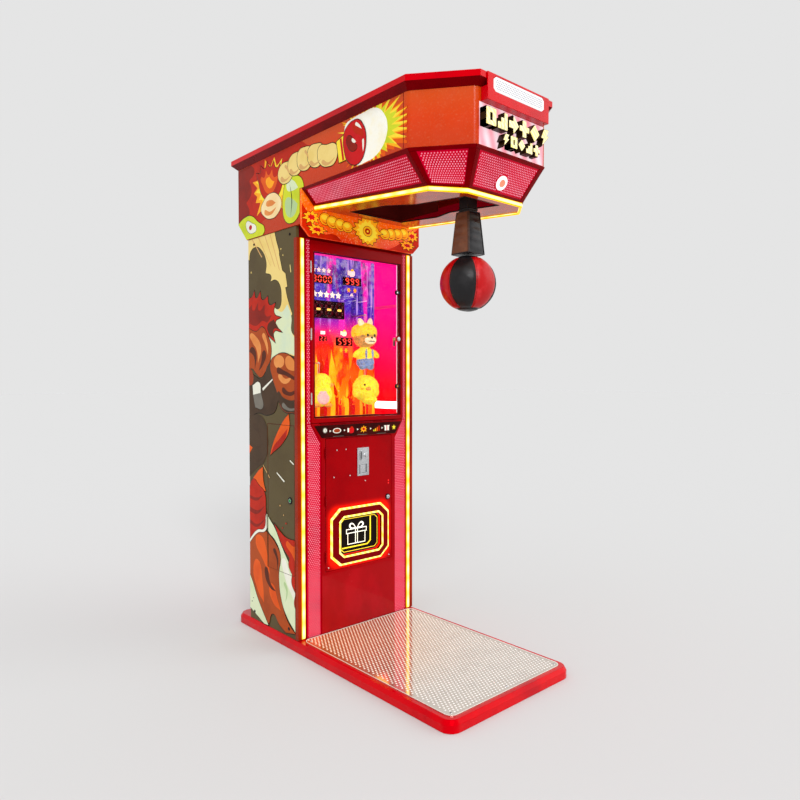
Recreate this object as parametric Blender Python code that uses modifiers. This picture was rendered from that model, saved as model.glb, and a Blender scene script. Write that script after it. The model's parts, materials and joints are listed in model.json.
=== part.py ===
"""Arcade boxing machine.

A narrow cabinet stands at the back of a tread plate and carries a deep overhanging head.
A padded ball hangs from a shaft inside the head and swings up into a well when it is hit.
Prizes hang behind a glazed door and fall through a chute to a flap.

Metres, +Z up. The player stands at -Y and looks along +Y, with +X to the player's right.
The origin is on the floor, at the middle of the footprint.
"""
import math

import bmesh
import bpy
from mathutils import Matrix, Vector

# ---- clearances ----
GAP = 0.0005
SWING_GAP = 0.002

# ---- base ----
BASE_HALF_WIDTH = 0.358
BASE_HALF_DEPTH = 0.750
BASE_HEIGHT = 0.046
BASE_CORNER_RADIUS = 0.050
BASE_SKIRT = 0.030
BASE_SLOPE = 0.010
BASE_SHEET = 0.004
TREAD_HALF_WIDTH = 0.328
TREAD_FRONT = -0.722
TREAD_THICKNESS = 0.003

# ---- column ----
COLUMN_HALF_WIDTH = 0.346
COLUMN_FRONT = 0.2105
COLUMN_BACK = 0.632
COLUMN_TOP = 1.900
BOARD = 0.015
FRAME_BACK = 0.227
CLADDING_BACK = COLUMN_FRONT - GAP
BEZEL_FRONT = 0.198
DOOR_FRONT = 0.198

# ---- window door ----
WINDOW_HALF_WIDTH = 0.2765
WINDOW_BOTTOM = 1.024
WINDOW_TOP = 1.846
GLASS_HALF_WIDTH = 0.262
GLASS_BOTTOM = 1.045
GLASS_TOP = 1.797
WINDOW_AXIS = (-0.280, 0.192)
WINDOW_LOCK = (0.244, 1.424)

# ---- lower front ----
SHOULDER_TOP = 1.017
SHOULDER_BOTTOM = 0.934
GRILLE_INNER_LOW = 0.2235
GRILLE_OUTER = 0.2985
LIGHT_INNER = 0.308
LIGHT_OUTER = 0.3285
FRONT_BOTTOM = 0.0505
DOOR_HALF_WIDTH = 0.1985
DOOR_BOTTOM = 0.3355
DOOR_TOP = 0.9485
DOOR_AXIS = (-0.2035, 0.194)
DOOR_LOCK = (0.174, 0.642)
COIN_X = 0.018
COIN_Z = 0.829

# ---- prize outlet ----
PRIZE_Z = 0.485
FLAP_HALF_WIDTH = 0.119
FLAP_HALF_HEIGHT = 0.085
FLAP_AXIS = (0.2045, PRIZE_Z + 0.0855)

# ---- side service door ----
SIDE_DOOR_FRONT = 0.2350
SIDE_DOOR_BACK = 0.4590
SIDE_DOOR_BOTTOM = 0.335
SIDE_DOOR_TOP = 1.013
SIDE_LOCK = (0.268, 0.673)

# ---- rear panel ----
VENT_LEVELS = (0.30, 1.50)
VENT_HALF_WIDTH = 0.120
VENT_PITCH = 0.016
VENT_SLOT = 0.006
SWITCH_X = 0.200
SWITCH_Z = 0.130

# ---- showcase ----
LINER_HALF_WIDTH = 0.283
LINER_BACK = 0.430
LINER_SHEET = 0.003
LINER_BOTTOM = 1.0375
LINER_TOP = 1.835
DIGIT_FACE = 0.4215
DIGIT_BLOCKS = (
    (-0.118, 0.004, 1.698, 1.738),
    (0.072, 0.188, 1.702, 1.742),
    (-0.113, 0.079, 1.526, 1.612),
    (0.028, 0.130, 1.393, 1.434),
    (-0.074, -0.030, 1.412, 1.436),
)
PEG_RADIUS = 0.004
PEG_UPPER = (0.134, 1.545)
PEG_LEFT = (-0.150, 1.300)
TOY_Y = 0.325

# ---- head ----
HEAD_TOP = 2.300
RIM_EDGE_BOTTOM = 2.276
HEAD_BODY_TOP = 2.253
HEAD_BODY_BOTTOM = 2.0525
HEAD_HALF_WIDTH = 0.350
HEAD_BACK = 0.720
HEAD_SEAM_Y = -0.500
HEAD_CORNER_Y = -0.520
HEAD_FRONT = -0.716
HEAD_FRONT_HALF = 0.198
RIM_HALF_WIDTH = 0.376
RIM_BACK = 0.743
RIM_CORNER_Y = -0.536
RIM_FRONT_HALF = 0.209
FASCIA_FRONT = 0.158
FASCIA_BACK = 0.1705
FASCIA_BOTTOM = 1.850
MARQUEE_Z = 2.265

# ---- underside of the head, which rises towards the back ----
UNDER_CORNER = (0.268, -0.542)
UNDER_FRONT = (0.158, -0.640)
UNDER_BACK_HALF = 0.287
UNDER_LEVEL = 1.930
UNDER_RISE = 0.080
GRILLE_SHEET = 0.008
LIGHT_HEIGHT = 0.020
LIGHT_DEPTH = 0.010

# ---- swinging arm ----
PIVOT_Y = -0.495
PIVOT_Z = 2.055
ARM_REACH = 0.452
BALL_RADIUS = 0.112
SHAFT_RADIUS = 0.010
TUBE_RADIUS = 0.014
SLEEVE_TOP = 1.885
SLEEVE_BOTTOM = 1.716
NECK_TOP = 1.9545
LATCH_X = 0.1025
LATCH_DISC_RADIUS = 0.042
PAWL_LENGTH = 0.060
PAWL_REST = 0.0445
LATCHED_ANGLE = math.radians(92.0)

# ---- start button, on the leaning front grille ----
BUTTON_Z = 1.963
BUTTON_RADIUS = 0.0135
BUTTON_RING_RADIUS = 0.0275


# ======================================================================
# scene and materials
# ======================================================================
def clear_scene():
    """Remove whatever the scene holds."""
    for obj in list(bpy.data.objects):
        bpy.data.objects.remove(obj, do_unlink=True)


def collection(name):
    """Make a collection under the scene."""
    group = bpy.data.collections.new(name)
    bpy.context.scene.collection.children.link(group)
    return group


clear_scene()
PARTS = collection("boxing_machine")
CUTTERS = collection("cutters")


def finish_of(name, colour, roughness=0.4, metallic=0.0):
    """Make a Principled material."""
    material = bpy.data.materials.new(name)
    material.use_nodes = True
    shader = material.node_tree.nodes["Principled BSDF"]
    shader.inputs["Base Color"].default_value = (*colour, 1.0)
    shader.inputs["Roughness"].default_value = roughness
    shader.inputs["Metallic"].default_value = metallic
    material.diffuse_color = (*colour, 1.0)
    return material


# ======================================================================
# outlines
# ======================================================================
def rect(low_u, high_u, low_v, high_v):
    """Corners of a rectangle, anticlockwise."""
    return [(low_u, low_v), (high_u, low_v), (high_u, high_v), (low_u, high_v)]


def octagon(centre_u, centre_v, half_u, half_v, cut_u, cut_v):
    """A rectangle whose corners are cut off."""
    shape = [(half_u - cut_u, -half_v), (half_u, cut_v - half_v),
             (half_u, half_v - cut_v), (half_u - cut_u, half_v)]
    shape += [(-u, -v) for u, v in shape]
    return [(centre_u + u, centre_v + v) for u, v in shape]


def circle(centre_u, centre_v, radius, steps=16):
    """Points round a circle, anticlockwise."""
    turns = [2.0 * math.pi * step / steps for step in range(steps)]
    return [(centre_u + radius * math.cos(a), centre_v + radius * math.sin(a)) for a in turns]


def rounded_rect(half_width, low_y, high_y, radius, steps=5):
    """A rectangle about the Y axis with round corners, anticlockwise."""
    corners = ((half_width, low_y, -90), (half_width, high_y, 0),
               (-half_width, high_y, 90), (-half_width, low_y, 180))
    points = []
    for x, y, start in corners:
        centre_x = x - math.copysign(radius, x)
        centre_y = y + (radius if y == low_y else -radius)
        for step in range(steps + 1):
            angle = math.radians(start + 90.0 * step / steps)
            points.append((centre_x + radius * math.cos(angle), centre_y + radius * math.sin(angle)))
    return points


def mirrored(right_half):
    """A closed outline from its right half, listed from bottom to top."""
    return right_half + [(-u, v) for u, v in reversed(right_half)]


# ======================================================================
# solids
# ======================================================================
TURNS = {
    "flat": (0.0, 0.0, 0.0),
    "front": (math.pi / 2, 0.0, 0.0),
    "side": (math.pi / 2, 0.0, math.pi / 2),
}


def place(obj, name, material):
    """Name an object, give it its material and put it in its collection."""
    obj.name = name
    obj.data.name = name
    obj.data.materials.clear()
    obj.data.materials.append(material)
    PARTS.objects.link(obj)
    return obj


def plate(name, outline, low, high, facing, material, holes=()):
    """A flat outline with holes, from low to high along the direction that it faces."""
    curve = bpy.data.curves.new(name, "CURVE")
    curve.dimensions = "2D"
    curve.fill_mode = "BOTH"
    curve.extrude = (high - low) / 2.0
    for loop in (outline, *holes):
        spline = curve.splines.new("POLY")
        spline.points.add(len(loop) - 1)
        for point, (u, v) in zip(spline.points, loop):
            point.co = (u, v, 0.0, 1.0)
        spline.use_cyclic_u = True
    obj = bpy.data.objects.new(name, curve)
    middle = (low + high) / 2.0
    obj.location = {"flat": (0, 0, middle), "front": (0, middle, 0), "side": (middle, 0, 0)}[facing]
    obj.rotation_euler = TURNS[facing]
    return place(obj, name, material)


def mesh_object(name, mesh_data, material, location=(0, 0, 0), smooth=False):
    """Turn a bmesh into an object."""
    bmesh.ops.recalc_face_normals(mesh_data, faces=mesh_data.faces)
    mesh = bpy.data.meshes.new(name)
    mesh_data.to_mesh(mesh)
    mesh_data.free()
    obj = bpy.data.objects.new(name, mesh)
    obj.location = location
    place(obj, name, material)
    if smooth:
        mesh.shade_smooth()
        mesh.set_sharp_from_angle(angle=math.radians(40))
    return obj


def box(name, low, high, material):
    """A box between two corners."""
    size = [b - a for a, b in zip(low, high)]
    centre = [(a + b) / 2.0 for a, b in zip(low, high)]
    data = bmesh.new()
    bmesh.ops.create_cube(data, size=1.0)
    bmesh.ops.scale(data, vec=size, verts=data.verts)
    return mesh_object(name, data, material, centre)


def cone(name, radius_a, radius_b, start, end, material, segments=24):
    """A round bar or cone from one point to another."""
    start, end = Vector(start), Vector(end)
    span = end - start
    turn = span.to_track_quat("Z", "Y").to_matrix().to_4x4()
    data = bmesh.new()
    bmesh.ops.create_cone(data, cap_ends=True, segments=segments, radius1=radius_a, radius2=radius_b,
                          depth=span.length, matrix=turn)
    return mesh_object(name, data, material, (start + end) / 2.0, smooth=True)


def bar(name, radius, start, end, material, segments=24):
    """A round bar from one point to another."""
    return cone(name, radius, radius, start, end, material, segments)


def ball(name, radii, centre, material, rings=10):
    """A sphere or ellipsoid."""
    data = bmesh.new()
    bmesh.ops.create_uvsphere(data, u_segments=2 * rings, v_segments=rings, radius=1.0)
    bmesh.ops.scale(data, vec=radii, verts=data.verts)
    return mesh_object(name, data, material, centre, smooth=True)


def loft(name, sections, material, closed_bottom=True):
    """Join closed outlines at rising heights, and cap the top."""
    data = bmesh.new()
    rows = [[data.verts.new((x, y, z)) for x, y in outline] for outline, z in sections]
    for lower, upper in zip(rows, rows[1:]):
        for index in range(len(lower)):
            following = (index + 1) % len(lower)
            data.faces.new((lower[index], lower[following], upper[following], upper[index]))
    data.faces.new(rows[-1])
    if closed_bottom:
        data.faces.new(list(reversed(rows[0])))
    return mesh_object(name, data, material)


def thicken(obj, depth):
    """Give an open surface a wall that grows inwards."""
    wall = obj.modifiers.new("wall", "SOLIDIFY")
    wall.thickness = depth
    wall.offset = -1.0
    wall.use_even_offset = True
    return obj


def open_box(name, low, high, open_sides, depth, material):
    """A box of sheet, without the faces whose outward normals are listed."""
    obj = box(name, low, high, material)
    data = bmesh.new()
    data.from_mesh(obj.data)
    gone = [f for f in data.faces if any(f.normal.dot(Vector(side)) > 0.9 for side in open_sides)]
    bmesh.ops.delete(data, geom=gone, context="FACES")
    data.to_mesh(obj.data)
    data.free()
    return thicken(obj, depth)


def as_mesh(obj):
    """Replace a curve by its mesh, so that Booleans can use it."""
    if obj.type != "CURVE":
        return obj
    evaluated = obj.evaluated_get(bpy.context.evaluated_depsgraph_get())
    mesh = bpy.data.meshes.new_from_object(evaluated)
    data = bmesh.new()
    data.from_mesh(mesh)
    bmesh.ops.remove_doubles(data, verts=data.verts, dist=0.00001)
    data.to_mesh(mesh)
    data.free()
    name, material = obj.name, obj.data.materials[0]
    location, rotation = obj.location.copy(), obj.rotation_euler.copy()
    bpy.data.objects.remove(obj, do_unlink=True)
    solid = bpy.data.objects.new(name, mesh)
    solid.location, solid.rotation_euler = location, rotation
    return place(solid, name, material)


def combine(obj, tools, operation):
    """Add or cut with other solids, which move to the cutters' collection."""
    obj = as_mesh(obj)
    for tool in tools:
        tool = as_mesh(tool)
        step = obj.modifiers.new(operation.lower(), "BOOLEAN")
        step.operation = operation
        step.solver = "EXACT"
        step.object = tool
        PARTS.objects.unlink(tool)
        CUTTERS.objects.link(tool)
        tool.name = f"{obj.name}_{operation.lower()}"
        tool.hide_render = True
        tool.display_type = "WIRE"
    return obj


def add(obj, *tools):
    """Weld solids onto an object."""
    return combine(obj, tools, "UNION")


def cut(obj, *tools):
    """Cut solids out of an object."""
    return combine(obj, tools, "DIFFERENCE")


def pivot(name, point, *pieces):
    """Hang moving pieces from an empty on their joint's axis."""
    empty = bpy.data.objects.new(name, None)
    empty.location = point
    PARTS.objects.link(empty)
    for piece in pieces:
        piece.parent = empty
        piece.matrix_parent_inverse = Matrix.Translation(point).inverted()
    return empty


# ======================================================================
# rings of flat panels, for the head
# ======================================================================
def underside_level(y):
    """Height of the head's lower edge at a distance from front to back."""
    return UNDER_LEVEL + UNDER_RISE * (y - UNDER_CORNER[1])


def inset_path(points, distance):
    """Offset an open path to its left in plan, with mitred corners."""
    flat = [Vector((p[0], p[1])) for p in points]
    directions = [(b - a).normalized() for a, b in zip(flat, flat[1:])]
    normals = [Vector((-d.y, d.x)) for d in directions]
    moved = []
    for index, point in enumerate(points):
        before = normals[max(index - 1, 0)]
        after = normals[min(index, len(normals) - 1)]
        mitre = (before + after).normalized()
        reach = distance / mitre.dot(after)
        moved.append((point[0] + mitre.x * reach, point[1] + mitre.y * reach, point[2]))
    return moved


def ring_wall(name, top, bottom, depth, first, last, material):
    """Part of a ring of panels: from corner first to corner last, with a hairline at each end."""
    columns = [top, bottom, inset_path(bottom, depth), inset_path(top, depth)]
    columns = [[Vector(point) for point in column] for column in columns]
    sections = []
    for index in range(first, last + 1):
        section = [column[index].copy() for column in columns]
        if index in (first, last):
            other = index + 1 if index == first else index - 1
            for corner, column in zip(section, columns):
                corner += (column[other] - column[index]).normalized() * GAP
        sections.append(section)
    data = bmesh.new()
    rows = [[data.verts.new(corner) for corner in section] for section in sections]
    for before, after in zip(rows, rows[1:]):
        for index in range(4):
            following = (index + 1) % 4
            data.faces.new((before[index], before[following], after[following], after[index]))
    data.faces.new(rows[0])
    data.faces.new(list(reversed(rows[-1])))
    return mesh_object(name, data, material)


def head_path(half_width, back_y, corner_y, front_half, front_y, level):
    """The head's plan from its left back corner round the front to the right back corner."""
    left = [(-half_width, back_y), (-half_width, corner_y), (-front_half, front_y)]
    plan = left + [(-x, y) for x, y in reversed(left)]
    return [(x, y, level(y)) for x, y in plan]


# ======================================================================
# materials
# ======================================================================
RED_GLOSS = finish_of("red_gloss", (0.62, 0.01, 0.02), 0.25)
DARK_RED = finish_of("dark_red", (0.30, 0.004, 0.008), 0.3)
ORANGE = finish_of("orange_print", (0.85, 0.16, 0.01), 0.35)
PRINTED_SIDE = finish_of("side_print", (0.20, 0.13, 0.08), 0.4)
GRILLE_PINK = finish_of("grille_pink", (0.85, 0.06, 0.12), 0.35)
WARM_LIGHT = finish_of("warm_light", (1.0, 0.82, 0.35), 0.3)
WHITE_LIGHT = finish_of("white_light", (0.95, 0.95, 1.0), 0.3)
STEEL = finish_of("steel", (0.62, 0.62, 0.63), 0.3, 1.0)
ZINC = finish_of("zinc_sheet", (0.45, 0.46, 0.48), 0.45, 1.0)
TREAD = finish_of("tread_metal", (0.72, 0.70, 0.66), 0.35, 0.8)
GLASS = finish_of("window_glass", (0.85, 0.92, 0.95), 0.05)
BLACK = finish_of("black_plastic", (0.03, 0.03, 0.032), 0.4)
LEATHER = finish_of("ball_leather", (0.55, 0.02, 0.03), 0.4)
SLEEVE = finish_of("sleeve_leather", (0.06, 0.045, 0.035), 0.5)
BOARD_GREEN = finish_of("circuit_board", (0.02, 0.16, 0.06), 0.5)
SHOWCASE = finish_of("showcase_print", (0.45, 0.10, 0.60), 0.4)
YELLOW_PLUSH = finish_of("yellow_plush", (0.90, 0.78, 0.10), 0.9)
BROWN_PLUSH = finish_of("brown_plush", (0.55, 0.36, 0.20), 0.9)


# ======================================================================
# base
# ======================================================================
def base_platform():
    """A pressed tray with a rounded skirt, open underneath."""
    slope = BASE_SLOPE
    full = rounded_rect(BASE_HALF_WIDTH, -BASE_HALF_DEPTH, BASE_HALF_DEPTH, BASE_CORNER_RADIUS)
    top = rounded_rect(BASE_HALF_WIDTH - slope, slope - BASE_HALF_DEPTH, BASE_HALF_DEPTH - slope,
                       BASE_CORNER_RADIUS - slope)
    tray = loft("base_platform", [(full, 0.0), (full, BASE_SKIRT), (top, BASE_HEIGHT)], RED_GLOSS, False)
    return thicken(tray, BASE_SHEET)


def tread_plate():
    """The patterned plate that the player stands on."""
    outline = rect(-TREAD_HALF_WIDTH, TREAD_HALF_WIDTH, TREAD_FRONT, BEZEL_FRONT - SWING_GAP)
    low = BASE_HEIGHT + GAP
    return plate("tread_plate", outline, low, low + TREAD_THICKNESS, "flat", TREAD)


# ======================================================================
# column
# ======================================================================
def side_panel(name, side, holes=()):
    """One side of the column."""
    outline = rect(COLUMN_FRONT, COLUMN_BACK, BASE_HEIGHT + GAP, COLUMN_TOP - GAP)
    faces = sorted((side * COLUMN_HALF_WIDTH, side * (COLUMN_HALF_WIDTH - BOARD)))
    return plate(name, outline, faces[0], faces[1], "side", PRINTED_SIDE, holes)


def side_panels():
    """Both sides, with the service opening in the left one."""
    service = rect(SIDE_DOOR_FRONT - SWING_GAP, SIDE_DOOR_BACK + SWING_GAP,
                   SIDE_DOOR_BOTTOM - SWING_GAP, SIDE_DOOR_TOP + SWING_GAP)
    side_panel("side_panel_left", -1, [service])
    side_panel("side_panel_right", 1)


def side_service_door():
    """The flush door in the left side, with its cam lock near the front edge."""
    outline = rect(SIDE_DOOR_FRONT, SIDE_DOOR_BACK, SIDE_DOOR_BOTTOM, SIDE_DOOR_TOP)
    lock_y, lock_z = SIDE_LOCK
    outer, inner = -COLUMN_HALF_WIDTH, BOARD - COLUMN_HALF_WIDTH
    door = plate("side_service_door", outline, outer, inner, "side", PRINTED_SIDE,
                 [circle(lock_y, lock_z, 0.0105)])
    lock = bar("side_door_lock", 0.0098, (outer - 0.003, lock_y, lock_z),
               (inner + 0.0015, lock_y, lock_z), STEEL, 20)
    cam = box("cam", (inner + 0.001, lock_y - 0.007, lock_z - 0.037),
              (inner + 0.003, lock_y + 0.007, lock_z + 0.007), STEEL)
    lock = add(lock, cam)
    pivot("side_door_axis", (outer - 0.004, SIDE_DOOR_BACK + 0.0025, SIDE_DOOR_BOTTOM), door)
    pivot("side_lock_axis", (outer, lock_y, lock_z), lock)


def rear_panel():
    """The back of the column, with vents, a power inlet and an opening for the rocker switch."""
    inner = COLUMN_HALF_WIDTH - BOARD - GAP
    rows = [low + VENT_PITCH * row for low in VENT_LEVELS for row in range(5)]
    vents = [rect(-VENT_HALF_WIDTH, VENT_HALF_WIDTH, z, z + VENT_SLOT) for z in rows]
    switch_hole = rect(SWITCH_X - 0.012, SWITCH_X + 0.012, SWITCH_Z - 0.016, SWITCH_Z + 0.016)
    panel = plate("rear_panel", rect(-inner, inner, BASE_HEIGHT + GAP, COLUMN_TOP - GAP),
                  COLUMN_BACK - BOARD, COLUMN_BACK, "front", RED_GLOSS, vents + [switch_hole])
    socket = box("socket", (0.236, COLUMN_BACK - 0.010, 0.118),
                 (0.264, COLUMN_BACK + 0.01, 0.142), BLACK)
    return cut(panel, socket)


def power_switch():
    """A rocker in the back panel, resting on its lower half."""
    size = (0.021, 0.010, 0.028)
    rocker = box("power_switch", [-s / 2 for s in size], [s / 2 for s in size], BLACK)
    rocker.location = (SWITCH_X, COLUMN_BACK, SWITCH_Z)
    rocker.rotation_euler = (math.radians(-6), 0, 0)
    return rocker


def front_frame():
    """The flat frame behind the front cladding, open at the window and at the lower door."""
    inner = COLUMN_HALF_WIDTH - BOARD - GAP
    window = rect(-GLASS_HALF_WIDTH, GLASS_HALF_WIDTH, GLASS_BOTTOM, GLASS_TOP)
    lower = rect(-0.197, 0.197, 0.340, 0.945)
    return plate("front_frame", rect(-inner, inner, BASE_HEIGHT + GAP, COLUMN_TOP - GAP),
                 COLUMN_FRONT, FRAME_BACK, "front", DARK_RED, [window, lower])


def front_bezel():
    """The raised moulding round the lower door, with sloping shoulders under the window."""
    half = GRILLE_INNER_LOW - GAP
    right = [(half, FRONT_BOTTOM), (half, SHOULDER_BOTTOM), (WINDOW_HALF_WIDTH, SHOULDER_TOP),
             (WINDOW_HALF_WIDTH, WINDOW_BOTTOM - SWING_GAP)]
    opening = rect(-DOOR_HALF_WIDTH - SWING_GAP, DOOR_HALF_WIDTH + SWING_GAP,
                   DOOR_BOTTOM - SWING_GAP, DOOR_TOP + SWING_GAP)
    return plate("front_bezel", mirrored(right), BEZEL_FRONT, CLADDING_BACK, "front", DARK_RED, [opening])


def column_lights():
    """A light strip up each front edge."""
    for name, side in (("column_light_left", -1), ("column_light_right", 1)):
        edges = sorted((side * LIGHT_INNER, side * LIGHT_OUTER))
        outline = rect(edges[0], edges[1], FRONT_BOTTOM, FASCIA_BOTTOM - GAP)
        plate(name, outline, 0.203, CLADDING_BACK, "front", WARM_LIGHT)


def column_grilles():
    """The perforated inserts between the light strips and the moulding."""
    inner = WINDOW_HALF_WIDTH + 0.001
    outline = [(GRILLE_INNER_LOW, FRONT_BOTTOM), (GRILLE_OUTER, FRONT_BOTTOM),
               (GRILLE_OUTER, FASCIA_BOTTOM - GAP), (inner, FASCIA_BOTTOM - GAP),
               (inner, SHOULDER_TOP + GAP), (GRILLE_INNER_LOW, SHOULDER_BOTTOM + GAP)]
    plate("column_grille_right", outline, 0.204, CLADDING_BACK, "front", GRILLE_PINK)
    plate("column_grille_left", [(-x, z) for x, z in reversed(outline)], 0.204, CLADDING_BACK, "front",
          GRILLE_PINK)


def instruction_panel():
    """The printed strip between the window and the lower door."""
    right = [(0.222, 0.955), (0.262, 1.012)]
    return plate("instruction_panel", mirrored(right), 0.1935, BEZEL_FRONT - GAP, "front", BLACK)


# ======================================================================
# window door
# ======================================================================
def cam_lock(name, x, z, front, back, cam_low, cam_high, reach, radius=0.0095):
    """A round lock through a door, with a cam that hangs down when it is open."""
    lock = bar(name, radius, (x, front, z), (x, cam_low + 0.0005, z), STEEL, 20)
    cam = box("cam", (x - 0.007, cam_low, z - reach), (x + 0.007, cam_high, z + 0.007), STEEL)
    lock = add(lock, cam)
    pivot(f"{name}_axis", (x, back, z), lock)
    return lock


def window_door():
    """A glazed door hinged on its left edge, with a cam lock at the right."""
    frame = plate("window_frame", rect(-WINDOW_HALF_WIDTH, WINDOW_HALF_WIDTH, WINDOW_BOTTOM, WINDOW_TOP),
                  0.197, CLADDING_BACK, "front", DARK_RED,
                  [rect(-GLASS_HALF_WIDTH, GLASS_HALF_WIDTH, GLASS_BOTTOM, GLASS_TOP)])
    lock_x, lock_z = WINDOW_LOCK
    glass = plate("window_glass", rect(GAP - GLASS_HALF_WIDTH, GLASS_HALF_WIDTH - GAP,
                                       GLASS_BOTTOM + GAP, GLASS_TOP - GAP),
                  0.2005, 0.2045, "front", GLASS, [circle(lock_x, lock_z, 0.0105, 20)])
    cam_lock("window_lock", lock_x, lock_z, 0.190, 0.2045, 0.2272, 0.2284, 0.034)
    pivot("window_axis", (*WINDOW_AXIS, WINDOW_BOTTOM), frame, glass)


# ======================================================================
# lower door, coin entry and prize outlet
# ======================================================================
def coin_door():
    """The lower door, with openings for the coin entry and the prizes."""
    lock_x, lock_z = DOOR_LOCK
    holes = [rect(COIN_X - 0.026, COIN_X + 0.026, COIN_Z - 0.057, COIN_Z + 0.057),
             octagon(0.0, PRIZE_Z, 0.1225, 0.0885, 0.020, 0.018),
             circle(lock_x, lock_z, 0.0103, 20)]
    door = plate("coin_door", rect(-DOOR_HALF_WIDTH, DOOR_HALF_WIDTH, DOOR_BOTTOM, DOOR_TOP),
                 DOOR_FRONT, CLADDING_BACK, "front", DARK_RED, holes)
    cam_lock("coin_door_lock", lock_x, lock_z, 0.192, CLADDING_BACK, 0.2275, 0.2300, 0.035)
    return door


def coin_entry():
    """The steel coin plate with its reject button and return flap, and the mechanism behind."""
    back = DOOR_FRONT - GAP
    front = back - 0.0035
    slot = rect(COIN_X - 0.0150, COIN_X - 0.0110, COIN_Z + 0.014, COIN_Z + 0.046)
    button_x, button_z = COIN_X + 0.016, COIN_Z + 0.030
    mouth = rect(COIN_X - 0.019, COIN_X + 0.019, COIN_Z - 0.054, COIN_Z - 0.014)
    coin_plate = plate("coin_plate", rect(COIN_X - 0.035, COIN_X + 0.035, COIN_Z - 0.067, COIN_Z + 0.067),
                       front, back, "front", STEEL, [slot, circle(button_x, button_z, 0.0083, 20), mouth])
    button = bar("coin_reject_button", 0.0078, (button_x, front - 0.006, button_z),
                 (button_x, DOOR_FRONT + 0.003, button_z), STEEL, 20)
    flap_top = COIN_Z - 0.0150
    flap = box("coin_return_flap", (COIN_X - 0.018, front + 0.001, flap_top - 0.038),
               (COIN_X + 0.018, front + 0.0025, flap_top), STEEL)
    mechanism = box("coin_mechanism", (COIN_X - 0.036, COLUMN_FRONT, COIN_Z + 0.003),
                    (COIN_X + 0.036, 0.292, COIN_Z + 0.104), BLACK)
    path = box("coin_path", (COIN_X - 0.0150, COLUMN_FRONT - 0.01, COIN_Z + 0.014),
               (COIN_X - 0.0110, 0.262, COIN_Z + 0.046), BLACK)
    mechanism = cut(mechanism, path)
    pivot("coin_flap_axis", (COIN_X, front + 0.00175, flap_top), flap)
    return coin_plate, mechanism, button


def prize_outlet():
    """The octagonal surround with its light ring, and the flap that pushes inwards."""
    back = DOOR_FRONT - GAP
    ring = plate("prize_light_ring", octagon(0, PRIZE_Z, 0.175, 0.135, 0.051, 0.045), 0.1895, back,
                 "front", WARM_LIGHT, [octagon(0, PRIZE_Z, 0.166, 0.126, 0.048, 0.042)])
    bezel = plate("prize_bezel", octagon(0, PRIZE_Z, 0.1655, 0.1255, 0.048, 0.042), 0.184, back,
                  "front", DARK_RED, [octagon(0, PRIZE_Z, 0.1225, 0.0885, 0.020, 0.018)])
    axis_y, axis_z = FLAP_AXIS
    flap = plate("prize_flap", octagon(0, PRIZE_Z, FLAP_HALF_WIDTH, FLAP_HALF_HEIGHT, 0.020, 0.018),
                 axis_y - 0.002, axis_y + 0.002, "front", BLACK)
    pivot("prize_flap_axis", (0.0, axis_y, axis_z), flap)
    return ring, bezel


def lower_door():
    """Everything that swings with the lower door."""
    door = coin_door()
    coin_plate, mechanism, _ = coin_entry()
    ring, bezel = prize_outlet()
    pivot("coin_door_axis", (*DOOR_AXIS, DOOR_BOTTOM), door, coin_plate, mechanism, ring, bezel)


def prize_chute():
    """The showcase floor and the duct that drops prizes behind the flap."""
    floor = box("prize_chute", (-0.318, 0.2295, 1.030), (0.318, 0.424, 1.036), ZINC)
    duct = [(0.412, 1.033), (0.412, 0.470), (0.232, 0.362), (0.232, 0.606), (0.308, 0.660), (0.308, 1.033)]
    bore = [(0.410, 1.050), (0.410, 0.4722), (0.220, 0.3575), (0.220, 0.6045),
            (0.2325, 0.6045), (0.310, 0.6588), (0.310, 1.050)]
    outside = plate("duct", duct, -0.150, 0.150, "side", ZINC)
    inside = plate("duct_bore", bore, -0.148, 0.148, "side", ZINC)
    return cut(add(floor, outside), inside)


# ======================================================================
# showcase
# ======================================================================
def digit_box(name, index, grow):
    """The outside of one digit block, grown by a clearance."""
    low_x, high_x, low_z, high_z = DIGIT_BLOCKS[index]
    return box(name, (low_x - grow, DIGIT_FACE - grow, low_z - grow),
               (high_x + grow, 0.4330, high_z + grow), BLACK)


def peg_hole(name, place_xz):
    """A clearance hole for a prize peg, through the liner and the display board."""
    x, z = place_xz
    return bar(name, PEG_RADIUS + 0.0015, (x, 0.410, z), (x, 0.445, z), ZINC, 16)


def showcase_liner():
    """The printed back, sides and roof of the showcase."""
    liner = open_box("showcase_liner", (-LINER_HALF_WIDTH, FRAME_BACK + 0.0015, LINER_BOTTOM),
                     (LINER_HALF_WIDTH, LINER_BACK, LINER_TOP),
                     [(0, -1, 0), (0, 0, -1)], LINER_SHEET, SHOWCASE)
    windows = [digit_box("window", index, GAP) for index in range(len(DIGIT_BLOCKS))]
    return cut(liner, *windows, peg_hole("hole", PEG_UPPER), peg_hole("hole", PEG_LEFT))


def score_display():
    """One circuit board with five blocks of digits that show through the liner."""
    board = box("score_display", (-0.130, LINER_BACK + GAP, 1.385),
                (0.200, LINER_BACK + 0.0035, 1.750), BLACK)
    blocks = [digit_box("digits", index, 0.0) for index in range(len(DIGIT_BLOCKS))]
    return cut(add(board, *blocks), peg_hole("hole", PEG_UPPER))


def prize_pegs():
    """The pins that hold the prizes and draw back to drop them."""
    for name, (x, z) in (("prize_peg_upper", PEG_UPPER), ("prize_peg_left", PEG_LEFT)):
        bar(name, PEG_RADIUS, (x, 0.318, z), (x, 0.452, z), STEEL, 16)


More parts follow.
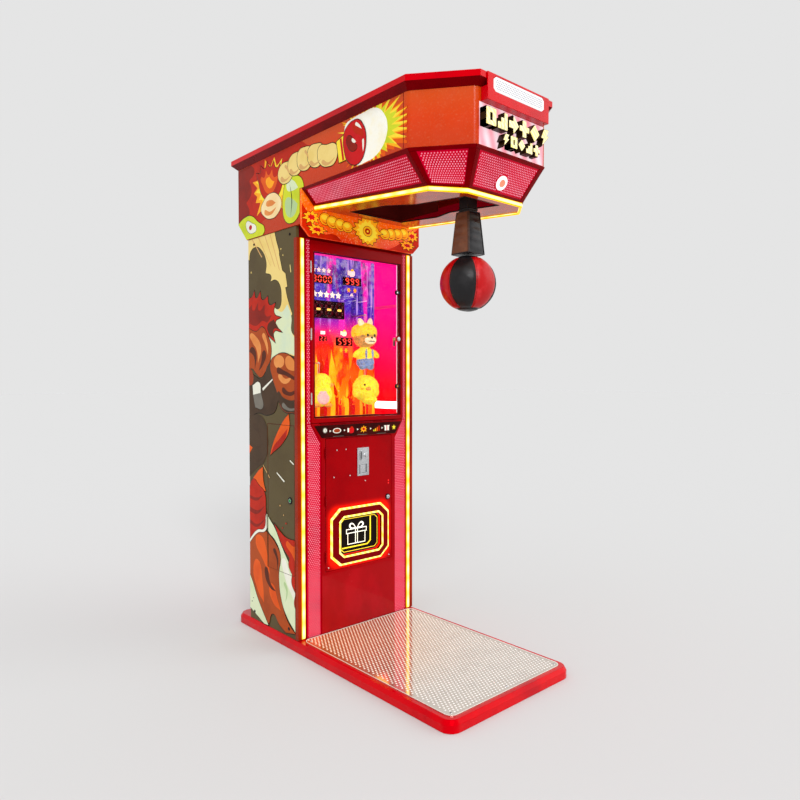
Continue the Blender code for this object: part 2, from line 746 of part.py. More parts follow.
def prizes():
    """Three plush toys."""
    head = ball("plush_bear", (0.066, 0.060, 0.064), (PEG_UPPER[0], TOY_Y, 1.444), BROWN_PLUSH)
    body = ball("body", (0.056, 0.050, 0.070), (PEG_UPPER[0], TOY_Y, 1.340), BROWN_PLUSH)
    add(head, body)
    ball("plush_chick_lower", (0.078, 0.066, 0.078), (0.140, TOY_Y, 1.170), YELLOW_PLUSH)
    ball("plush_chick_left", (0.074, 0.064, 0.090), (PEG_LEFT[0], TOY_Y, 1.172), YELLOW_PLUSH)


def control_board():
    """The main circuit board, on the inside of the right-hand panel."""
    wall = COLUMN_HALF_WIDTH - BOARD - GAP
    board = box("control_board", (wall - 0.006, 0.460, 1.250), (wall, 0.600, 1.480), BOARD_GREEN)
    chips = [box("chip", (wall - 0.020, 0.480, 1.270), (wall - 0.005, 0.520, 1.330), BLACK),
             box("chip", (wall - 0.016, 0.540, 1.350), (wall - 0.005, 0.585, 1.450), BLACK)]
    return add(board, *chips)


# ======================================================================
# head
# ======================================================================
def head_outline(half_width, back_y, corner_y, front_half, front_y):
    """The head's closed plan."""
    plan = head_path(half_width, back_y, corner_y, front_half, front_y, lambda y: 0.0)
    return [(x, y) for x, y, _ in plan]


def roof_rim():
    """The lid of the head: a sheet top with a deep edge and a cove under it."""
    body = head_outline(HEAD_HALF_WIDTH, HEAD_BACK, HEAD_CORNER_Y, HEAD_FRONT_HALF, HEAD_FRONT)
    edge = head_outline(RIM_HALF_WIDTH, RIM_BACK, RIM_CORNER_Y, RIM_FRONT_HALF, -RIM_BACK)
    lip = 0.002
    top = head_outline(RIM_HALF_WIDTH - lip, RIM_BACK - lip, RIM_CORNER_Y, RIM_FRONT_HALF - lip,
                       lip - RIM_BACK)
    sections = [(body, HEAD_BODY_TOP + GAP), (edge, RIM_EDGE_BOTTOM), (edge, HEAD_TOP - lip),
                (top, HEAD_TOP)]
    return thicken(loft("roof_rim", sections, RED_GLOSS, False), 0.004)


def head_sides():
    """The printed cheeks, which reach down behind the fascia to the column."""
    outline = [(HEAD_BACK, HEAD_BODY_TOP), (HEAD_SEAM_Y + GAP, HEAD_BODY_TOP),
               (HEAD_SEAM_Y + GAP, HEAD_BODY_BOTTOM), (FASCIA_BACK + 0.001, HEAD_BODY_BOTTOM),
               (FASCIA_BACK + 0.001, COLUMN_TOP + GAP), (0.640, COLUMN_TOP + GAP), (HEAD_BACK, 1.985)]
    inner = HEAD_HALF_WIDTH - BOARD
    plate("head_side_left", outline, -HEAD_HALF_WIDTH, -inner, "side", ORANGE)
    plate("head_side_right", outline, inner, HEAD_HALF_WIDTH, "side", ORANGE)


def head_front_shell():
    """One bent sheet round the front of the head."""
    plan = (HEAD_HALF_WIDTH, HEAD_SEAM_Y, HEAD_CORNER_Y, HEAD_FRONT_HALF, HEAD_FRONT)
    top = head_path(*plan, lambda y: HEAD_BODY_TOP)
    bottom = head_path(*plan, lambda y: HEAD_BODY_BOTTOM)
    return ring_wall("head_front_shell", top, bottom, 0.012, 0, 5, ORANGE)


def head_rear_cover():
    """The back of the head, with a sloping foot."""
    inner = HEAD_HALF_WIDTH - BOARD - GAP
    outline = [(HEAD_BACK, HEAD_BODY_TOP), (0.708, HEAD_BODY_TOP), (0.708, 1.9897), (0.6323, 1.9095),
               (0.6405, COLUMN_TOP + 0.001), (HEAD_BACK, 1.985)]
    return plate("head_rear_cover", outline, -inner, inner, "side", ORANGE)


def grille_ring():
    """The leaning ring under the printed head: its outer top and bottom paths."""
    back = FASCIA_FRONT - GAP
    top = head_path(HEAD_HALF_WIDTH, back, HEAD_CORNER_Y, HEAD_FRONT_HALF, HEAD_FRONT,
                    lambda y: HEAD_BODY_BOTTOM - GAP)
    left = [(-UNDER_BACK_HALF, back), (-UNDER_CORNER[0], UNDER_CORNER[1]), (-UNDER_FRONT[0], UNDER_FRONT[1])]
    plan = left + [(-x, y) for x, y in reversed(left)]
    bottom = [(x, y, underside_level(y)) for x, y in plan]
    return top, bottom


def button_frame():
    """A point on the front grille and its outward normal, where the start button goes."""
    top, bottom = grille_ring()
    share = (top[2][2] - BUTTON_Z) / (top[2][2] - bottom[2][2])
    y = top[2][1] + share * (bottom[2][1] - top[2][1])
    lean = Vector((0, bottom[2][1] - top[2][1], bottom[2][2] - top[2][2]))
    normal = Vector((0, lean.z, -lean.y)).normalized()
    return Vector((0, y, BUTTON_Z)), normal


def head_grilles():
    """Perforated panels round the lower head."""
    top, bottom = grille_ring()
    ring_wall("head_grille_left", top, bottom, GRILLE_SHEET, 0, 1, GRILLE_PINK)
    front = ring_wall("head_grille_front", top, bottom, GRILLE_SHEET, 1, 4, GRILLE_PINK)
    ring_wall("head_grille_right", top, bottom, GRILLE_SHEET, 4, 5, GRILLE_PINK)
    point, normal = button_frame()
    hole = bar("hole", BUTTON_RADIUS + 0.001, point - normal * 0.03, point + normal * 0.03, BLACK, 24)
    return cut(front, hole)


def start_button():
    """A lit push button in a round collar."""
    point, normal = button_frame()
    collar = bar("start_button_bezel", BUTTON_RING_RADIUS, point + normal * GAP, point + normal * 0.0065,
                 WHITE_LIGHT, 32)
    hole = bar("hole", BUTTON_RADIUS + 0.001, point - normal * 0.03, point + normal * 0.03, BLACK, 24)
    cut(collar, hole)
    button = bar("start_button", BUTTON_RADIUS, point - normal * 0.012, point + normal * 0.0105, ORANGE, 24)
    pivot("start_button_axis", point, button)


def head_light_strip():
    """The light strip under the grilles."""
    _, edge = grille_ring()
    top = [(x, y, z - GAP) for x, y, z in edge]
    bottom = [(x, y, z - LIGHT_HEIGHT) for x, y, z in edge]
    return ring_wall("head_light_strip", top, bottom, LIGHT_DEPTH, 0, 5, WARM_LIGHT)


def underside_plate():
    """The floor of the head, with a keyhole opening for the arm and the ball."""
    slope = math.atan(UNDER_RISE)
    base_y = UNDER_CORNER[1]
    _, edge = grille_ring()
    inner = inset_path(edge, LIGHT_DEPTH + GAP)
    outline = [(x, (y - base_y) / math.cos(slope)) for x, y, _ in inner]
    right = [(0.100, -0.570), (0.100, -0.300), (0.152, -0.170), (0.152, 0.072)]
    hole = [(x, (y - base_y) / math.cos(slope)) for x, y in mirrored(right)]
    floor = plate("underside_plate", outline, -0.002, 0.002, "flat", DARK_RED, [hole])
    floor.location = (0, base_y, UNDER_LEVEL - 0.011)
    floor.rotation_euler = (slope, 0, 0)
    return floor


def recess_liner():
    """The well that the ball swings up into."""
    return open_box("recess_liner", (-0.158, -0.170, 1.975), (0.158, 0.080, 2.210),
                    [(0, -1, 0), (0, 0, -1)], 0.003, DARK_RED)


def fascia():
    """The printed board over the window, with cut lower corners."""
    right = [(0.308, FASCIA_BOTTOM), (HEAD_HALF_WIDTH, 1.892), (HEAD_HALF_WIDTH, 2.0515), (0.2905, 1.9890)]
    return plate("fascia", mirrored(right), FASCIA_FRONT, FASCIA_BACK, "front", ORANGE)


def marquee():
    """The lamp box under the lid's edge, with a face plate in front of the edge."""
    back = HEAD_FRONT - 0.001
    housing = box("marquee_housing", (-0.178, -0.7475, 2.203), (0.178, back, HEAD_BODY_TOP),
                  RED_GLOSS)
    face = box("face", (-0.178, -0.7490, 2.203), (0.178, -GAP - RIM_BACK, HEAD_TOP - GAP), RED_GLOSS)
    pocket = plate("pocket", octagon(0, MARQUEE_Z, 0.1465, 0.0265, 0.0125, 0.010), -0.760, -0.7460,
                   "front", BLACK)
    cut(add(housing, face), pocket)
    plate("marquee_lens", octagon(0, MARQUEE_Z, 0.1455, 0.0255, 0.0125, 0.010), -0.7498, -0.7465,
          "front", WHITE_LIGHT)


def sign():
    """The lit sign under the lamp box: a wide row over a narrow one."""
    right = [(0.110, 2.072), (0.110, 2.110), (0.185, 2.116), (0.185, 2.184)]
    return plate("sign", mirrored(right), -0.7465, HEAD_FRONT - 0.001, "front", WHITE_LIGHT)


# ======================================================================
# swinging arm and its latch
# ======================================================================
def arm_bracket():
    """The cross plate with two bearing cheeks, the pawl's pin and the solenoid's block."""
    inner = HEAD_HALF_WIDTH - BOARD - GAP
    bracket = box("arm_bracket", (-inner, -0.500, 2.130), (inner, -0.400, 2.136), ZINC)
    nose = box("nose", (-0.130, -0.570, 2.130), (0.130, -0.490, 2.136), ZINC)
    cheeks = [box("cheek", (low, -0.540, 2.020), (low + 0.012, -0.440, 2.131), ZINC)
              for low in (-0.072, 0.060)]
    pin_y, pin_z = PIVOT_Y + PAWL_REST, PIVOT_Z + PAWL_LENGTH
    pin = bar("pin", 0.003, (0.066, pin_y, pin_z), (0.110, pin_y, pin_z), ZINC, 16)
    solenoid = box("solenoid", (0.091, -0.436, 2.073), (0.114, -0.405, 2.131), ZINC)
    bearing = bar("bearing", SHAFT_RADIUS + 0.0004, (-0.10, PIVOT_Y, PIVOT_Z),
                  (0.10, PIVOT_Y, PIVOT_Z), ZINC)
    bore = bar("bore", 0.0045, (LATCH_X, -0.450, 2.085), (LATCH_X, -0.400, 2.085), ZINC, 16)
    return cut(add(bracket, nose, *cheeks, pin, solenoid), bearing, bore)


def pivot_shaft():
    """The shaft of the arm, with a latch disc notched for the hanging and the raised arm."""
    shaft = bar("pivot_shaft", SHAFT_RADIUS, (-0.080, PIVOT_Y, PIVOT_Z), (0.112, PIVOT_Y, PIVOT_Z), STEEL)
    disc = bar("disc", LATCH_DISC_RADIUS, (0.100, PIVOT_Y, PIVOT_Z), (0.105, PIVOT_Y, PIVOT_Z),
               STEEL, 48)
    notches = []
    for angle in (0.0, -LATCHED_ANGLE):
        notch = box("notch", (0.095, -0.006, -0.0065), (0.110, 0.006, 0.0065), STEEL)
        reach = Vector((0.0, math.cos(angle), math.sin(angle))) * LATCH_DISC_RADIUS
        notch.location = Vector((LATCH_X, PIVOT_Y, PIVOT_Z)) + reach
        notch.rotation_euler = (angle, 0, 0)
        notches.append(notch)
    return cut(add(shaft, disc), *notches)


def arm_tube():
    """The arm: a clamp block on the shaft and the tube that carries the ball."""
    hub = box("arm_tube", (-0.030, PIVOT_Y - 0.028, 1.955), (0.030, PIVOT_Y + 0.028, 2.083), DARK_RED)
    tube = bar("tube", TUBE_RADIUS, (0, PIVOT_Y, SLEEVE_BOTTOM + 0.001), (0, PIVOT_Y, 1.970), STEEL)
    hole = bar("hole", SHAFT_RADIUS + 0.0003, (-0.04, PIVOT_Y, PIVOT_Z), (0.04, PIVOT_Y, PIVOT_Z),
               STEEL)
    return cut(add(hub, tube), hole)


def arm_sleeve():
    """The flared leather cover of the arm, with its narrow neck."""
    rings = [(0.046, SLEEVE_BOTTOM), (0.030, SLEEVE_TOP - 0.002), (0.022, SLEEVE_TOP + 0.002),
             (0.022, NECK_TOP)]
    sections = [(rect(-half, half, PIVOT_Y - half, PIVOT_Y + half), z) for half, z in rings]
    sleeve = loft("arm_sleeve", sections, SLEEVE)
    bore = bar("bore", TUBE_RADIUS + 0.0006, (0, PIVOT_Y, 1.69), (0, PIVOT_Y, 1.99), SLEEVE)
    return cut(sleeve, bore)


def punch_ball():
    """The padded ball at the end of the arm."""
    radii = (BALL_RADIUS, BALL_RADIUS, BALL_RADIUS)
    return ball("punch_ball", radii, (0, PIVOT_Y, PIVOT_Z - ARM_REACH), LEATHER, 14)


def swinging_arm():
    """Everything that turns with the shaft."""
    pivot("arm_axis", (0, PIVOT_Y, PIVOT_Z), pivot_shaft(), arm_tube(), arm_sleeve(), punch_ball())


def latch():
    """The pawl that drops into the disc, and the solenoid plunger that pushes it."""
    pin_y, pin_z = PIVOT_Y + PAWL_REST, PIVOT_Z + PAWL_LENGTH
    low_x, high_x = LATCH_X - 0.003, LATCH_X + 0.003
    outline = rect(pin_y, pin_y + 0.007, PIVOT_Z - 0.003, pin_z)
    pawl = plate("latch_pawl", outline, low_x, high_x, "side", STEEL)
    eye = bar("eye", 0.008, (low_x, pin_y, pin_z), (high_x, pin_y, pin_z), STEEL, 20)
    hole = bar("hole", 0.0033, (low_x - 0.01, pin_y, pin_z), (high_x + 0.01, pin_y, pin_z), STEEL, 20)
    pawl = cut(add(pawl, eye), hole)
    pivot("latch_axis", (LATCH_X, pin_y, pin_z), pawl)
    bar("latch_plunger", 0.004, (LATCH_X, pin_y + 0.0076, 2.085), (LATCH_X, -0.398, 2.085),
        STEEL, 16)


# ======================================================================
# build
# ======================================================================
def build():
    """Make every piece."""
    base_platform()
    tread_plate()
    side_panels()
    side_service_door()
    rear_panel()
    power_switch()
    front_frame()
    front_bezel()
    column_lights()
    column_grilles()
    instruction_panel()
    window_door()
    lower_door()
    prize_chute()
    showcase_liner()
    score_display()
    prize_pegs()
    prizes()
    control_board()
    roof_rim()
    head_sides()
    head_front_shell()
    head_rear_cover()
    head_grilles()
    start_button()
    head_light_strip()
    underside_plate()
    recess_liner()
    fascia()
    marquee()
    sign()
    arm_bracket()
    swinging_arm()
    latch()


build()
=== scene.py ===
"""Boxing punch machine: the finished look of every piece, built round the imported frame.

Metres, +Z up. The player stands at -Y; the art-covered side with the service door is at -X.
"""
import json
import math
import random

import bmesh
import bpy
from mathutils import Matrix, Vector, noise

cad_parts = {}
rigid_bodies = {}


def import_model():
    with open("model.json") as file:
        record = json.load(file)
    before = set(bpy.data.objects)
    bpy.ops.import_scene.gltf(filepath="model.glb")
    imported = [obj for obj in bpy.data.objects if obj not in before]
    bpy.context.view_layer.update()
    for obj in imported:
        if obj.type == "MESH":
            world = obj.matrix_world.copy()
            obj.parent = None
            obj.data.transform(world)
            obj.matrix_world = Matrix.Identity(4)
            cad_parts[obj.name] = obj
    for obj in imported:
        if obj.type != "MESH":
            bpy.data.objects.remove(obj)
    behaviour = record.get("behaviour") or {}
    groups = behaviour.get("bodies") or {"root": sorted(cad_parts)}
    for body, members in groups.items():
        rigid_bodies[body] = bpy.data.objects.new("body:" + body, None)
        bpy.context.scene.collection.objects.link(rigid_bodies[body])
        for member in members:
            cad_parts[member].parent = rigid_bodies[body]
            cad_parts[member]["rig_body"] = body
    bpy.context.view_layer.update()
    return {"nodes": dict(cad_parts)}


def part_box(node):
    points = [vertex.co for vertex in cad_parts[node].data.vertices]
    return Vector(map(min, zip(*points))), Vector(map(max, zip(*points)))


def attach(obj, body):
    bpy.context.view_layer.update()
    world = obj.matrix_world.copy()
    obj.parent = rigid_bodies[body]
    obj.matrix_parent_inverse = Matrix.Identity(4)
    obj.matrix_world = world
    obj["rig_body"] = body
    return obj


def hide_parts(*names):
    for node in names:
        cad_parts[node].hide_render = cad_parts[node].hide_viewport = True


bl_info = {"name": "Punch machine builder", "version": (1, 0, 0), "blender": (4, 5, 0),
    "location": "View3D > Sidebar > Punch machine",
    "description": "Builds the finished pieces of an arcade boxing machine", "category": "Object",}

for leftover in list(bpy.data.objects):
    bpy.data.objects.remove(leftover, do_unlink=True)
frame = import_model()
NODES = frame["nodes"]
FRONT, BACK, LEFT, RIGHT, UP = (Vector(d) for d in ((0, -1, 0), (0, 1, 0), (-1, 0, 0), (1, 0, 0), (0, 0, 1)))


# ======================================================================
# colours
# ======================================================================
def linear(code):
    """A hex colour as linear red, green and blue."""
    parts = [int(code[i:i + 2], 16) / 255 for i in (1, 3, 5)]
    return tuple(p / 12.92 if p <= 0.04045 else ((p + 0.055) / 1.055) ** 2.4 for p in parts)


def tint(name):
    """One of the colours in the panel, with alpha."""
    return (*getattr(bpy.context.scene.punch_colours, name), 1.0)


def shade(code):
    """A hex colour with alpha."""
    return (*linear(code), 1.0)


# ======================================================================
# shader nodes
# ======================================================================
def settle(node, values):
    """Set a node's inputs; a value that is a socket is linked, any other is set."""
    for key, value in values.items():
        if isinstance(value, bpy.types.NodeSocket):
            node.id_data.links.new(value, node.inputs[key])
        else:
            node.inputs[key].default_value = value


def put(tree, kind, values=None, **settings):
    """Add a shader node with its settings and inputs."""
    made = tree.nodes.new(kind)
    for key, value in settings.items():
        setattr(made, key, value)
    settle(made, values or {})
    return made


def calc(tree, operation, a, b=0.0, c=0.0, clamp=False):
    """A Math node's result."""
    return put(tree, "ShaderNodeMath", {0: a, 1: b, 2: c}, operation=operation, use_clamp=clamp).outputs[0]


def blend_colour(tree, share, a, b, mode="MIX"):
    """A Mix node's colour."""
    mixed = put(tree, "ShaderNodeMix", {0: share, 6: a, 7: b}, data_type="RGBA", blend_type=mode)
    return mixed.outputs[2]


def spread(tree, value, low, high, out_low=0.0, out_high=1.0):
    """A value moved smoothly from one range to another."""
    ranged = put(tree, "ShaderNodeMapRange", {0: value, 1: low, 2: high, 3: out_low, 4: out_high},
        interpolation_type="SMOOTHSTEP")
    return ranged.outputs[0]


def place_of(tree):
    """Object coordinates as a vector and its x, y and z."""
    where = put(tree, "ShaderNodeTexCoord").outputs["Object"]
    apart = put(tree, "ShaderNodeSeparateXYZ", {0: where})
    return where, apart.outputs[0], apart.outputs[1], apart.outputs[2]


def speckle(tree, where, scale, detail=3.0, stretch=None):
    """Noise between 0 and 1, stretched along an axis if asked."""
    if stretch:
        where = put(tree, "ShaderNodeMapping", {0: where, 3: stretch}).outputs[0]
    return put(tree, "ShaderNodeTexNoise", {"Vector": where, "Scale": scale, "Detail": detail}).outputs[0]


def gradient(tree, value, stops):
    """Colours along a value, from stops of (place, hex colour)."""
    ramp = put(tree, "ShaderNodeValToRGB", {0: value})
    elements = ramp.color_ramp.elements
    for element, (spot, code) in zip(elements, (stops[0], stops[-1])):
        element.position, element.color = spot, shade(code)
    for spot, code in stops[1:-1]:
        elements.new(spot).color = shade(code)
    return ramp.outputs[0]


def new_group(name, inputs, outputs):
    """An empty shader node group with its sockets; returns its tree, input node and output node."""
    tree = bpy.data.node_groups.new(name, "ShaderNodeTree")
    for label, kind, default in inputs:
        socket = tree.interface.new_socket(label, in_out="INPUT", socket_type=kind)
        socket.default_value = default
    for label, kind in outputs:
        tree.interface.new_socket(label, in_out="OUTPUT", socket_type=kind)
    return tree, put(tree, "NodeGroupInput"), put(tree, "NodeGroupOutput")


FLOAT, COLOUR, VECTOR = "NodeSocketFloat", "NodeSocketColor", "NodeSocketVector"


def worn_finish_group():
    """Cloudy colour, smudged gloss and a fine surface grain, for any hard or soft finish."""
    tree, given, result = new_group("worn_finish", [("Colour", COLOUR, (0.5, 0.5, 0.5, 1)),
        ("Worn Colour", COLOUR, (0.4, 0.4, 0.4, 1)), ("Cloud Scale", FLOAT, 4.0), ("Cloud Amount", FLOAT, 0.5),
        ("Roughness", FLOAT, 0.4), ("Smudge", FLOAT, 0.1), ("Grain Scale", FLOAT, 600.0)],
        [("Colour", COLOUR), ("Roughness", FLOAT), ("Height", FLOAT)])
    where = place_of(tree)[0]
    clouds = put(tree, "ShaderNodeTexNoise", {"Vector": where, "Scale": given.outputs["Cloud Scale"], "Detail": 5.0,
        "Roughness": 0.6}).outputs[0]
    share = calc(tree, "MULTIPLY", spread(tree, clouds, 0.42, 0.68), given.outputs["Cloud Amount"])
    colour = blend_colour(tree, share, given.outputs["Colour"], given.outputs["Worn Colour"])
    smears = speckle(tree, where, 9.0, 6.0, (1.0, 1.0, 0.35))
    fingers = speckle(tree, where, 70.0, 2.0)
    mixed = calc(tree, "ADD", calc(tree, "MULTIPLY", smears, 0.7), calc(tree, "MULTIPLY", fingers, 0.3))
    swing = calc(tree, "MULTIPLY", calc(tree, "SUBTRACT", mixed, 0.5), given.outputs["Smudge"])
    rough = calc(tree, "ADD", given.outputs["Roughness"], calc(tree, "MULTIPLY", swing, 2.0), clamp=True)
    grain = put(tree, "ShaderNodeTexNoise", {"Vector": where, "Scale": given.outputs["Grain Scale"],
        "Detail": 2.0}).outputs[0]
    settle(result, {"Colour": colour, "Roughness": rough, "Height": grain})
    return tree


def lamp_spacing_group():
    """Hot spots at an even pitch along a strip of lamps behind a diffuser."""
    tree, given, result = new_group("lamp_spacing", [("Direction", VECTOR, (0, 0, 1)), ("Pitch", FLOAT, 0.05),
        ("Hot", COLOUR, (1, 1, 1, 1)), ("Warm", COLOUR, (1, 0.7, 0.1, 1)), ("Warmth", FLOAT, 0.3)],
        [("Colour", COLOUR), ("Body", COLOUR)])
    where = place_of(tree)[0]
    along = put(tree, "ShaderNodeVectorMath", {0: where, 1: given.outputs["Direction"]},
        operation="DOT_PRODUCT").outputs["Value"]
    turns = calc(tree, "DIVIDE", calc(tree, "MULTIPLY", along, 2 * math.pi), given.outputs["Pitch"])
    wave = calc(tree, "MULTIPLY_ADD", calc(tree, "COSINE", turns), 0.5, 0.5)
    flecks = speckle(tree, where, 14.0)
    dim = calc(tree, "MULTIPLY", calc(tree, "SUBTRACT", 1.0, wave), given.outputs["Warmth"])
    share = calc(tree, "ADD", dim, calc(tree, "MULTIPLY", spread(tree, flecks, 0.45, 0.7), 0.2), clamp=True)
    lit = blend_colour(tree, share, given.outputs["Hot"], given.outputs["Warm"])
    settle(result, {"Colour": lit, "Body": blend_colour(tree, 0.75, lit, (0.0, 0.0, 0.0, 1.0))})
    return tree


def leather_group():
    """Pebbled leather: cell grain, creases and rubbed high spots."""
    tree, given, result = new_group("leather", [("Colour", COLOUR, (0.5, 0.1, 0.1, 1)),
        ("Rubbed", COLOUR, (0.6, 0.3, 0.3, 1)), ("Grain Scale", FLOAT, 420.0), ("Roughness", FLOAT, 0.45)],
        [("Colour", COLOUR), ("Roughness", FLOAT), ("Height", FLOAT)])
    where = place_of(tree)[0]
    cells = put(tree, "ShaderNodeTexVoronoi", {"Vector": where, "Scale": given.outputs["Grain Scale"]},
        feature="F1").outputs["Distance"]
    creases = speckle(tree, where, 46.0, 4.0)
    rub = spread(tree, speckle(tree, where, 17.0, 5.0), 0.5, 0.75, 0.0, 0.45)
    colour = blend_colour(tree, rub, given.outputs["Colour"], given.outputs["Rubbed"])
    rough = calc(tree, "ADD", given.outputs["Roughness"], calc(tree, "MULTIPLY",
        calc(tree, "SUBTRACT", creases, 0.5), 0.35), clamp=True)
    height = calc(tree, "ADD", calc(tree, "MULTIPLY", cells, 0.6), creases)
    settle(result, {"Colour": colour, "Roughness": rough, "Height": height})
    return tree


GROUPS = {}


def group(name):
    """A shared node group, made on first use."""
    makers = {"worn_finish": worn_finish_group, "lamp_spacing": lamp_spacing_group, "leather": leather_group}
    if name not in GROUPS:
        GROUPS[name] = makers[name]()
    return GROUPS[name]


def blank_material(name):
    """A material with its Principled shader."""
    material = bpy.data.materials.new(name)
    material.use_nodes = True
    tree = material.node_tree
    return material, tree, tree.nodes["Principled BSDF"]


def bump(tree, shader, height, strength, distance=0.0005):
    """A small relief on a shader's normal."""
    raised = put(tree, "ShaderNodeBump", {"Strength": strength, "Distance": distance, "Height": height})
    settle(shader, {"Normal": raised.outputs[0]})


FINISHES = {}


def remembered(maker):
    """Keep each material by its name, so that pieces share it."""
    def wrapped(name, *args, **settings):
        if name not in FINISHES:
            FINISHES[name] = maker(name, *args, **settings)
        return FINISHES[name]
    return wrapped


@remembered
def coated(name, colour, worn=None, roughness=0.3, smudge=0.12, clouds=(4.0, 0.5), grain=(600.0, 0.08),
    metallic=0.0, coat=0.0, glow=0.0, sheen=0.0, specular=0.2):
    """A painted, printed, moulded, plated or woven finish."""
    material, tree, shader = blank_material(name)
    made = put(tree, "ShaderNodeGroup", {"Colour": colour, "Worn Colour": worn or colour, "Cloud Scale": clouds[0],
        "Cloud Amount": clouds[1], "Roughness": roughness, "Smudge": smudge, "Grain Scale": grain[0]},
        node_tree=group("worn_finish"))
    settle(shader, {"Base Color": made.outputs["Colour"], "Roughness": made.outputs["Roughness"],
        "Metallic": metallic, "Coat Weight": coat, "Coat Roughness": 0.06, "Sheen Weight": sheen,
        "Specular IOR Level": specular, "Specular Tint": colour})
    if glow:
        settle(shader, {"Emission Color": made.outputs["Colour"], "Emission Strength": glow})
    bump(tree, shader, made.outputs["Height"], grain[1])
    return material


@remembered
def lamp(name, hot, warm, strength, direction=(0, 0, 1), pitch=0.05, warmth=0.3):
    """A lit diffuser with lamps at an even pitch behind it."""
    material, tree, shader = blank_material(name)
    made = put(tree, "ShaderNodeGroup", {"Direction": direction, "Pitch": pitch, "Hot": hot, "Warm": warm,
        "Warmth": warmth}, node_tree=group("lamp_spacing"))
    settle(shader, {"Base Color": made.outputs["Body"], "Emission Color": made.outputs["Colour"],
        "Emission Strength": strength, "Specular IOR Level": 0.1})
    where = place_of(tree)[0]
    frost = speckle(tree, where, 500.0)
    settle(shader, {"Roughness": spread(tree, frost, 0.3, 0.7, 0.25, 0.45)})
    bump(tree, shader, frost, 0.05)
    return material


@remembered
def hide(name, colour, rubbed, roughness=0.45, scale=420.0):
    """Leather."""
    material, tree, shader = blank_material(name)
    made = put(tree, "ShaderNodeGroup", {"Colour": colour, "Rubbed": rubbed, "Grain Scale": scale,
        "Roughness": roughness}, node_tree=group("leather"))
    settle(shader, {"Base Color": made.outputs["Colour"], "Roughness": made.outputs["Roughness"],
        "Specular IOR Level": 0.28})
    bump(tree, shader, made.outputs["Height"], 0.35, 0.0006)
    return material


@remembered
def brushed(name, colour, direction=(1.0, 1.0, 30.0), roughness=0.28):
    """Brushed or rolled metal, with fine lines across the stretched axis."""
    material, tree, shader = blank_material(name)
    where = place_of(tree)[0]
    lines = speckle(tree, where, 60.0, 5.0, direction)
    spots = speckle(tree, where, 12.0, 4.0)
    dark = tuple(c * 0.6 for c in colour[:3]) + (1.0,)
    share = calc(tree, "MULTIPLY", spread(tree, spots, 0.4, 0.75), 0.5)
    settle(shader, {"Base Color": blend_colour(tree, share, colour, dark),
        "Roughness": spread(tree, lines, 0.2, 0.8, roughness - 0.1, roughness + 0.2), "Metallic": 1.0})
    bump(tree, shader, lines, 0.12, 0.0003)
    return material


@remembered
def fading(name, stops, axis, low, high, second=None, roughness=0.35, glow=0.0, coat=0.0, flecks=0.15):
    """A printed board whose colour fades along an axis, with a second colour in drifting patches."""
    material, tree, shader = blank_material(name)
    where, *parts = place_of(tree)
    drift = speckle(tree, where, 3.0, 4.0)
    moved = calc(tree, "ADD", parts["xyz".index(axis)], calc(tree, "MULTIPLY", calc(tree, "SUBTRACT", drift, 0.5),
        (high - low) * 0.35))
    share = put(tree, "ShaderNodeMapRange", {0: moved, 1: low, 2: high}).outputs[0]
    ramp = put(tree, "ShaderNodeValToRGB", {0: share})
    ramp.color_ramp.elements[0].color, ramp.color_ramp.elements[1].color = stops[0], stops[-1]
    for index, stop in enumerate(stops[1:-1], start=1):
        ramp.color_ramp.elements.new(index / (len(stops) - 1)).color = stop
    colour = ramp.outputs[0]
    if second:
        patches = spread(tree, speckle(tree, where, 7.0, 5.0), 0.5, 0.72, 0.0, 0.8)
        colour = blend_colour(tree, patches, colour, second)
    dots = spread(tree, speckle(tree, where, 160.0, 1.0), 0.55, 0.75, 0.0, flecks)
    colour = blend_colour(tree, dots, colour, shade("#ffd9a0"))
    settle(shader, {"Base Color": colour})
    smears = speckle(tree, where, 8.0, 5.0)
    settle(shader, {"Roughness": spread(tree, smears, 0.3, 0.7, roughness - 0.08, roughness + 0.12),
        "Coat Weight": coat, "Specular IOR Level": 0.2})
    if glow:
        settle(shader, {"Emission Color": colour, "Emission Strength": glow})
    bump(tree, shader, speckle(tree, where, 450.0), 0.05)
    return material


# ---- the machine's own finishes ----
def red_gloss():
    """Sprayed red of the base and the lid."""
    return coated("red_gloss", tint("red"), shade("#9c0014"), 0.12, 0.08, (5.0, 0.5), (350.0, 0.04), specular=0.5)


def dark_red():
    """Deep red of the doors and mouldings."""
    return coated("dark_red", tint("dark_red"), shade("#7c0006"), 0.22, 0.2, (3.5, 0.6), (350.0, 0.04), specular=0.4)


def cove_red():
    """Darker red of trims and frames; on the lid's downward faces it serves as painted shade."""
    return coated("cove_red", shade("#7a0006"), shade("#540004"), 0.3, 0.15, (6.0, 0.5), (350.0, 0.05))


def steel():
    """Polished steel of locks and shafts."""
    return brushed("polished_steel", shade("#c9cacc"), (1.0, 1.0, 8.0), 0.24)


def zinc():
    """Plated sheet of brackets and chutes."""
    return coated("zinc_plate", shade("#9a9ca0"), shade("#74777c"), 0.42, 0.2, (30.0, 0.6), (200.0, 0.1), 1.0)


def black():
    """Moulded black plastic."""
    return coated("black_plastic", shade("#17171a"), shade("#26262a"), 0.4, 0.15, (8.0, 0.5), (900.0, 0.15))


def warm_lamp(direction="z"):
    """The yellow-white light strips; the lamps follow one axis."""
    axis = {"z": (0, 0, 1), "y": (0, 1, 0.08), "x": (1, 0, 0)}[direction]
    sizes = bpy.context.scene.punch_sizes
    return [lamp(f"warm_lamp_{direction}", shade("#ffe9a0"), tint("strip"), sizes.strip_glow, axis, 0.083, 0.7),
        lamp("lamp_edge", tint("strip"), shade("#ff9a00"), sizes.strip_glow * 0.6, axis, 0.083, 0.6)]


